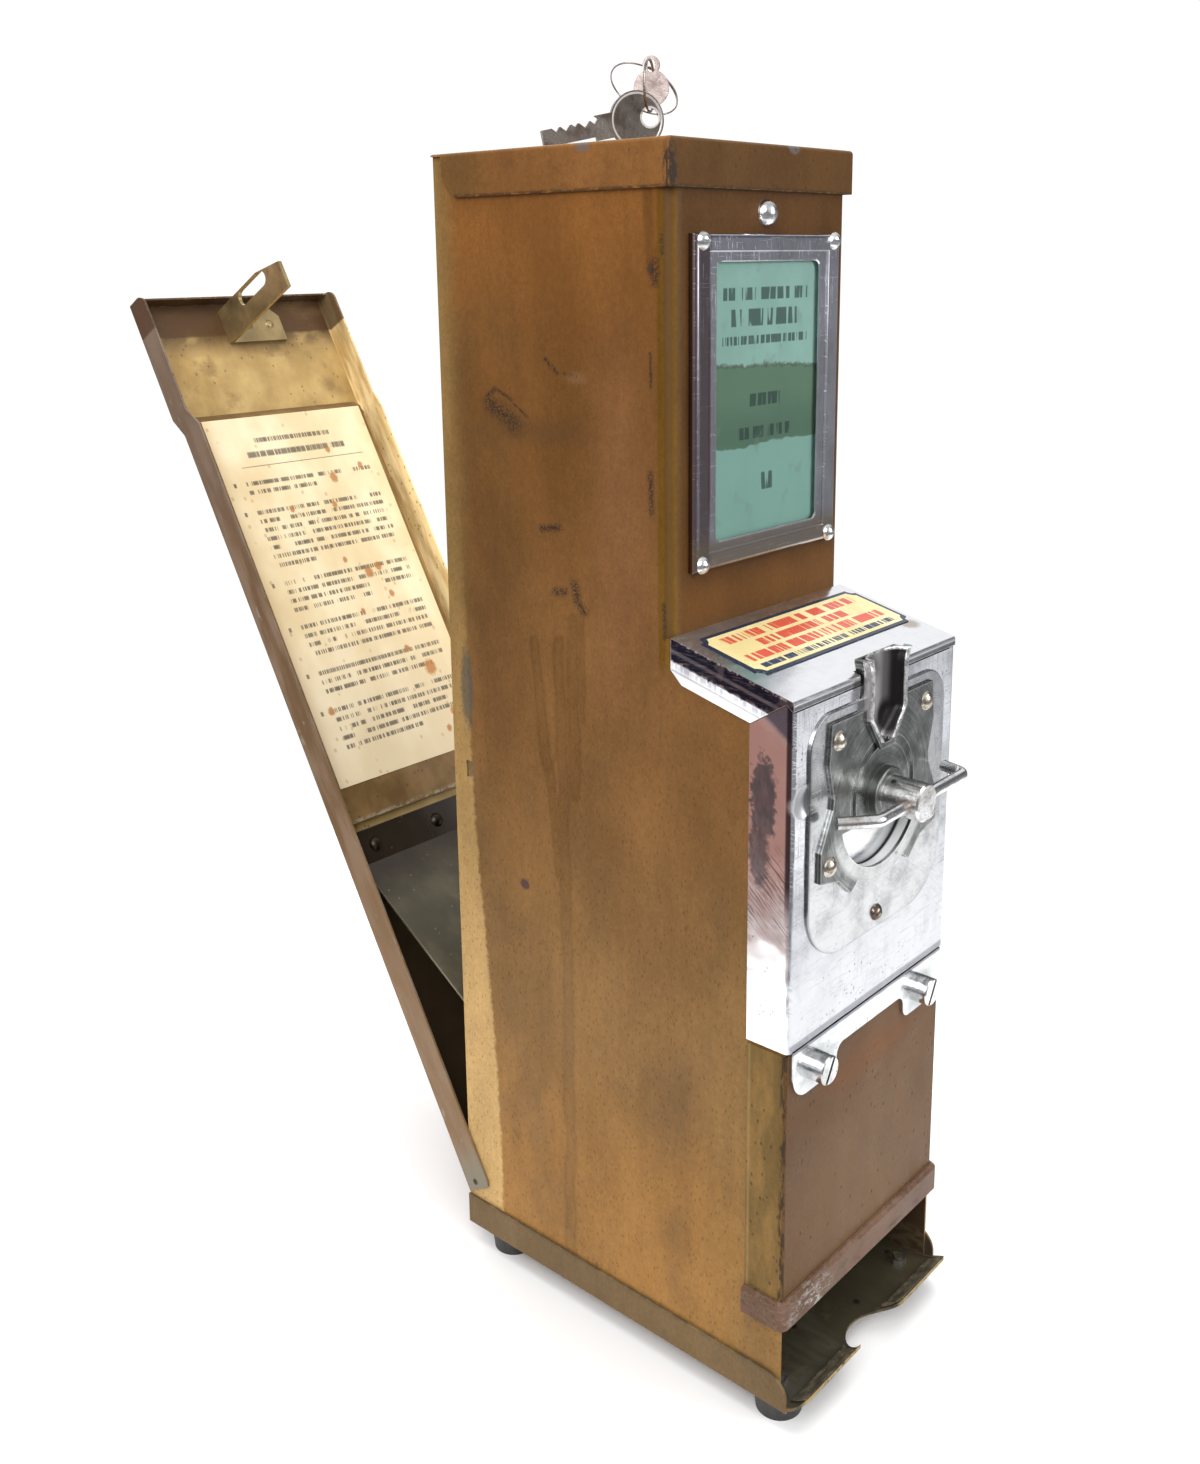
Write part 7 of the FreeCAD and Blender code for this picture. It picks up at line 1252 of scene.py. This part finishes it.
def new_piece(name, skins, closed, material):
    """A smooth piece that rides on the housing, made of skins, each a list of rows of points."""
    shape = bmesh.new()
    for rows in skins:
        add_skin(shape, rows, closed)
    if closed:
        bmesh.ops.recalc_face_normals(shape, faces=shape.faces)
    mesh = bpy.data.meshes.new(name)
    shape.to_mesh(mesh)
    shape.free()
    for face in mesh.polygons:
        face.use_smooth = True
    mesh.materials.append(material)
    piece = bpy.data.objects.new(name, mesh)
    bpy.context.scene.collection.objects.link(piece)
    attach(piece, "housing")


def at(x, depth, height):
    """A point in metres from X, depth and height in millimetres."""
    return Vector((x * MM, REAR_Y - depth * MM, PAN_Z + height * MM))


LIP_AXIS = (172.0, 19.4)
LIP_RADIUS = 18.4
NOTCH_DEPTH = 190.0
NOTCH_RADIUS = 18.6
HEM_THICK = 0.9
HEM_START = math.radians(22)
HEM_END = math.radians(50)
HEM_REACH = 54.0
HEM_STEPS = 40
# The strip's outline: share of the way round the lip and rise in sheet thicknesses.
HEM_PROFILE = ((0.0, 0.0), (0.0, 0.7), (0.1, 1.25), (0.2, 1.0), (0.55, 0.8), (0.92, 0.75), (1.0, 0.35),
               (1.0, 0.0))


def hem_ends(x):
    """The strip's first and last angle round the lip's axis at one place across."""
    if abs(x) >= NOTCH_RADIUS:
        return HEM_START, HEM_END
    depth = NOTCH_DEPTH - math.sqrt(NOTCH_RADIUS ** 2 - x ** 2)
    reach = math.asin(max(0.0, min(1.0, (depth - LIP_AXIS[0]) / LIP_RADIUS)))
    return HEM_START, max(HEM_START, min(HEM_END, reach))


def hem_row(x):
    """The strip's outline at one place across."""
    start, end = hem_ends(x)
    row = []
    for share, rise in HEM_PROFILE:
        angle = start + (end - start) * share
        wave = 0.12 * math.sin(x * 0.9) * math.sin(x * 0.37 + 5 * share)
        radius = LIP_RADIUS - 0.02 - HEM_THICK * rise * (1 + wave)
        depth, height = LIP_AXIS
        row.append(at(x, depth + radius * math.sin(angle), height - radius * math.cos(angle)))
    return row


def lip_hem():
    """Strip folded back inside the tray's lip, in two halves beside the finger notch."""
    depth_start = LIP_AXIS[0] + LIP_RADIUS * math.sin(HEM_START)
    inner_x = math.sqrt(NOTCH_RADIUS ** 2 - (NOTCH_DEPTH - depth_start) ** 2)
    reaches = [inner_x + (HEM_REACH - inner_x) * step / HEM_STEPS for step in range(HEM_STEPS + 1)]
    halves = [[hem_row(side * reach) for reach in reaches] for side in (-1, 1)]
    new_piece("lip_hem", halves, True, hem_metal())


RING_CENTRE = (-3.12, 65.13, 506.56)
RING_AXIS = (0.210, 0.717, -0.664)
RING_RADIUS = 14.24
RING_WIRE_RADIUS = 0.32
RING_TURNS = 1.25
RING_STEPS = 150
WIRE_SIDES = 8


def second_ring():
    """Wire ring through the key's bow, its ends lying side by side for a quarter turn."""
    axis = Vector(RING_AXIS).normalized()
    first = axis.orthogonal().normalized()
    second = axis.cross(first)
    rows = []
    for step in range(RING_STEPS + 1):
        share = step / RING_STEPS
        angle = 2 * math.pi * RING_TURNS * share
        outward = math.cos(angle) * first + math.sin(angle) * second
        aside = axis * (share - 0.5) * 2.2 * RING_WIRE_RADIUS * MM
        middle = at(*RING_CENTRE) + outward * RING_RADIUS * MM + aside
        row = []
        for side in range(WIRE_SIDES):
            turn = 2 * math.pi * side / WIRE_SIDES
            offset = math.cos(turn) * outward + math.sin(turn) * axis
            row.append(middle + offset * RING_WIRE_RADIUS * MM)
        rows.append(row)
    new_piece("second_ring", [rows], True, RING_WIRE)


def window_metal():
    """Wall round the disc's window, painted near white for the metal's sheen, with a dark line against the
    disc.
    """
    paint = Paint("window_metal")
    line = paint.depth.step(174.9, 174.4)
    cloud = paint.noise((7, 7, 7), 3.0, 0.6)
    # Painted sheen: a near-white, nearly matt tone stands in for the bright metal.
    tone = paint.colour(cloud, (0.74, 0.75, 0.75), (0.92, 0.92, 0.92))
    tone = tone.covered(line * 0.85, (0.05, 0.05, 0.05))
    paint.bump(paint.noise((6, 6, 6), 2.0), 0.2, 0.0004)
    return paint.finish(Base_Color=tone, Roughness=0.35, Metallic=0.1)


WALL_RADIUS = 29.85
WALL_REAR = 174.05
WALL_FRONT = 178.3
WALL_STEPS = 80
# Share of the wall's depth and how far it is sunk towards the shaft.
WALL_PROFILE = ((0.0, 0.0), (0.35, 0.25), (0.7, 0.2), (1.0, 0.0))


def window_wall():
    """Sheet wall between the casting's window and the disc, open towards the shaft."""
    rows = []
    for step in range(WALL_STEPS + 1):
        angle = math.radians(-100 + 200 * step / WALL_STEPS)
        row = []
        for share, sink in WALL_PROFILE:
            radius = WALL_RADIUS - sink
            depth = WALL_REAR + (WALL_FRONT - WALL_REAR) * share
            row.append(at(radius * math.sin(angle), depth, SHAFT_HEIGHT - radius * math.cos(angle)))
        rows.append(row)
    new_piece("window_wall", [rows], False, window_metal())


def throat_metal():
    """Burnished inside of the coin throat with painted light and shade, and lips worn bright with painted
    highlights.
    """
    paint = Paint("throat_metal")
    # Painted light and shade: light on the left, black on the right.
    light_and_shade_tones = ((-11, (0.4, 0.38, 0.38)), (-5, (0.24, 0.22, 0.22)), (1, (0.42, 0.4, 0.4)),
             (5.5, (0.15, 0.14, 0.14)), (9, (0.014, 0.012, 0.012)))
    tone = paint.ramp(paint.x, light_and_shade_tones)
    # Painted shade: darker near the top of the middle.
    smudge_and_shade = paint.spot((-2, 176, 289), (4, 5, 4), 0.7, 0.8, 4.0)
    tone = tone.covered(smudge_and_shade * 0.6, (0.1, 0.1, 0.11))
    # Painted highlight: a soft light patch in the middle.
    glow = paint.spot((-3, 176, 277), (4, 5, 9), 0.8, 0.5, 5.0)
    tone = tone.covered(glow * 0.7, (0.66, 0.62, 0.61))
    # Painted shadow: black in the slot at the lower right.
    hole = paint.spot((5.5, 177, 269), (4.5, 6, 7), 0.35, 0.3, 4.0)
    tone = tone.covered(hole * 0.95, (0.008, 0.007, 0.007))
    lips = paint.depth.step(180.9, 181.5).larger(paint.height.step(294.6, 295.4))
    # Painted highlight on the worn lips, broken by noise and fainter low down.
    shine = paint.noise((2.2, 2.2, 3), 4.0, 0.75).step(0.36, 0.6).scale(0.15, 0.95)
    shine = shine * paint.height.step(266, 276).scale(0.5, 1.0)
    tone = tone.covered(lips * 0.8, (0.14, 0.14, 0.14))
    tone = tone.covered(lips * shine, (0.86, 0.87, 0.87))
    paint.bump(paint.noise((3, 3, 6), 3.0) + paint.noise(0.9, 2.0), 0.25, 0.0003)
    rough = lips.scale(0.34, 0.2)
    return paint.finish(Base_Color=tone, Roughness=rough, Metallic=0.7)


THROAT_HALF = 10.9
THROAT_FRONT = 181.4
THROAT_REAR = 175.5
THROAT_TIP = 262.2
THROAT_TOP = 295.5
THROAT_STEPS = 26
# How far outside the throat and in front of its face each point of the left lip lies.
THROAT_LIP = ((2.35, -3.2), (2.35, -0.3), (2.0, 0.35), (1.1, 0.7), (0.3, 0.4))
# Heights of the upper lip's rows and how much wider they are.
THROAT_RIM = ((296.0, 0.25), (296.1, 0.9), (295.7, 1.3))


def throat_half(height):
    """Half the throat's width at one height: a point at its foot, flared at its top."""
    if height < 272.5:
        return 2.4 + (height - 261.5) * (THROAT_HALF - 2.4) / 11
    return THROAT_HALF + max(0.0, min(1.0, (height - 291) / 3.5))


def throat_row(height, grow, wave):
    """Points of the lining at one height, from the left lip's outside to the right lip's."""
    half = throat_half(min(height, THROAT_TOP)) - 0.05 + grow
    room = (THROAT_FRONT - THROAT_REAR) + 0.5 * grow
    row = []
    for reach, front in THROAT_LIP:
        row.append((-half - (reach + wave), THROAT_FRONT + front))
    for step in range(17):
        angle = math.radians(-90 + 180 * step / 16)
        across = math.copysign(abs(math.sin(angle)) ** 0.85, math.sin(angle))
        row.append((half * across, THROAT_FRONT - room * abs(math.cos(angle)) ** 0.7))
    for reach, front in reversed(THROAT_LIP):
        row.append((half + reach + wave, THROAT_FRONT + front))
    return row


def throat_lining():
    """Smooth lining of the coin throat with rolled lips, over the casting's squared channel."""
    heights = [THROAT_TIP + (THROAT_TOP - THROAT_TIP) * step / THROAT_STEPS
               for step in range(THROAT_STEPS + 1)]
    rows = []
    for height, grow in (*((height, 0.0) for height in heights), *THROAT_RIM):
        wave = 0.16 * math.sin(height * 0.9) + 0.12 * math.sin(height * 0.37)
        rows.append([at(x, depth, height) for x, depth in throat_row(height, grow, wave)])
    new_piece("throat_lining", [rows], False, throat_metal())


lip_hem()
second_ring()
window_wall()
throat_lining()


# ---------------------------------------------------------------- floor, light and camera
FLOOR_CENTRE = (0.15, -0.10)
FLOOR_RADIUS = 0.55


def floor_material():
    """Plain matt white."""
    material = bpy.data.materials.new("white_floor")
    material.use_nodes = True
    shader = material.node_tree.nodes["Principled BSDF"]
    shader.inputs["Base Color"].default_value = (0.93, 0.93, 0.93, 1)
    shader.inputs["Roughness"].default_value = 0.8
    shader.inputs["Specular IOR Level"].default_value = 0.1
    return material


def make_floor():
    """Round white floor that the machine stands on."""
    shape = bmesh.new()
    bmesh.ops.create_circle(shape, cap_ends=True, segments=128, radius=FLOOR_RADIUS)
    bmesh.ops.translate(shape, verts=shape.verts, vec=(*FLOOR_CENTRE, 0))
    mesh = bpy.data.meshes.new("floor")
    shape.to_mesh(mesh)
    shape.free()
    floor = bpy.data.objects.new("floor", mesh)
    bpy.context.scene.collection.objects.link(floor)
    floor.data.materials.append(floor_material())


ROOM = (0.30, 0.30, 0.31)
ROOM_WARM = (0.46, 0.33, 0.30)
DIM = (0.13, 0.13, 0.15)
CEILING = (0.85, 0.85, 0.85)
PANEL = (0.95, 0.95, 0.96)
SEEN = (1.05, 1.05, 1.05)
# Direction, the cosines at which a panel begins and is full, and its light.
PANELS = (((-0.8, 0.6, -0.35), 0.55, 0.85, ROOM_WARM), ((0.75, -0.45, -0.48), 0.955, 0.985, PANEL),
          ((0.8, 0.2, 0.56), 0.90, 0.98, PANEL), ((0.1, -0.9, 0.5), 0.80, 0.92, PANEL),
          ((-0.9, -0.3, 0.4), 0.86, 0.95, PANEL), ((0, 0, 1), 0.45, 0.85, CEILING))


def make_world():
    """Studio room: dim round the horizon, warm behind, with broad bright panels for the metal."""
    world = bpy.data.worlds.new("studio")
    bpy.context.scene.world = world
    sky = Nodes(world)
    direction = sky.node("ShaderNodeTexCoord")["Generated"]

    def towards(axis, low, high):
        """1 in directions near an axis and 0 away from it."""
        return sky.measure("DOT_PRODUCT", direction, Vector(axis).normalized()).step(low, high)

    tone = sky.colour(towards((0, 0, 1), -0.1, 0.25), ROOM, DIM)
    for axis, low, high, light in PANELS:
        tone = tone.covered(towards(axis, low, high), light)
    tone = tone.covered(sky.node("ShaderNodeLightPath")["Is Camera Ray"], SEEN)
    sky.put(sky.tree.nodes["Background"].inputs["Color"], tone)


def area_light(name, place, target, size, power, mirrored=True):
    """A rectangular lamp aimed at a target; metal mirrors it or not."""
    data = bpy.data.lights.new(name, "AREA")
    data.shape = "RECTANGLE"
    data.size, data.size_y = size
    data.energy = power
    light = bpy.data.objects.new(name, data)
    light.location = place
    light.rotation_euler = (Vector(target) - Vector(place)).to_track_quat("-Z", "Y").to_euler()
    bpy.context.scene.collection.objects.link(light)
    light.visible_camera = False
    light.visible_glossy = mirrored


CAMERA_AT = Vector((-0.45746, -0.46183, 0.45079))
CAMERA_HEADING = math.radians(48.62)
CAMERA_TILT = math.radians(-12.607)
CAMERA_ROLL = math.radians(-0.645)
FOCAL_PIXELS = 1435.05
PHOTO_SIZE = (1200, 1464)
OPTICAL_CENTRE = (612.64, 579.89)
SENSOR_WIDTH = 36.0


def make_camera():
    """The photograph's camera: place, heading, tilt and lens as fitted to the housing's edges."""
    data = bpy.data.cameras.new("camera")
    camera = bpy.data.objects.new("camera", data)
    bpy.context.scene.collection.objects.link(camera)
    flat = math.cos(CAMERA_TILT)
    forward = Vector((flat * math.sin(CAMERA_HEADING), flat * math.cos(CAMERA_HEADING),
                      math.sin(CAMERA_TILT)))
    right = forward.cross(Vector((0, 0, 1))).normalized()
    up = right.cross(forward)
    across = right * math.cos(CAMERA_ROLL) + up * math.sin(CAMERA_ROLL)
    above = up * math.cos(CAMERA_ROLL) - right * math.sin(CAMERA_ROLL)
    turn = Matrix((across, above, -forward)).transposed()
    camera.matrix_world = Matrix.Translation(CAMERA_AT) @ turn.to_4x4()
    data.sensor_fit = "AUTO"
    data.sensor_width = SENSOR_WIDTH
    data.lens = FOCAL_PIXELS * SENSOR_WIDTH / PHOTO_SIZE[1]
    data.shift_x = (PHOTO_SIZE[0] / 2 - OPTICAL_CENTRE[0]) / PHOTO_SIZE[1]
    data.shift_y = (OPTICAL_CENTRE[1] - PHOTO_SIZE[1] / 2) / PHOTO_SIZE[1]
    data.clip_start = 0.01
    bpy.context.scene.camera = camera


make_floor()
make_world()
area_light("key", (-1.3, -0.8, 1.3), (0, 0, 0.25), (1.2, 1.2), 22)
area_light("front", (0.7, -1.6, 0.9), (0, -0.1, 0.22), (1.0, 1.2), 10)
area_light("top", (0.1, 0.0, 2.0), (0, 0, 0.2), (1.8, 1.8), 26, mirrored=False)
area_light("back", (0.7, 1.5, 1.0), (0, 0, 0.25), (1.2, 1.2), 10)
make_camera()
bpy.context.scene.view_settings.view_transform = "Standard"
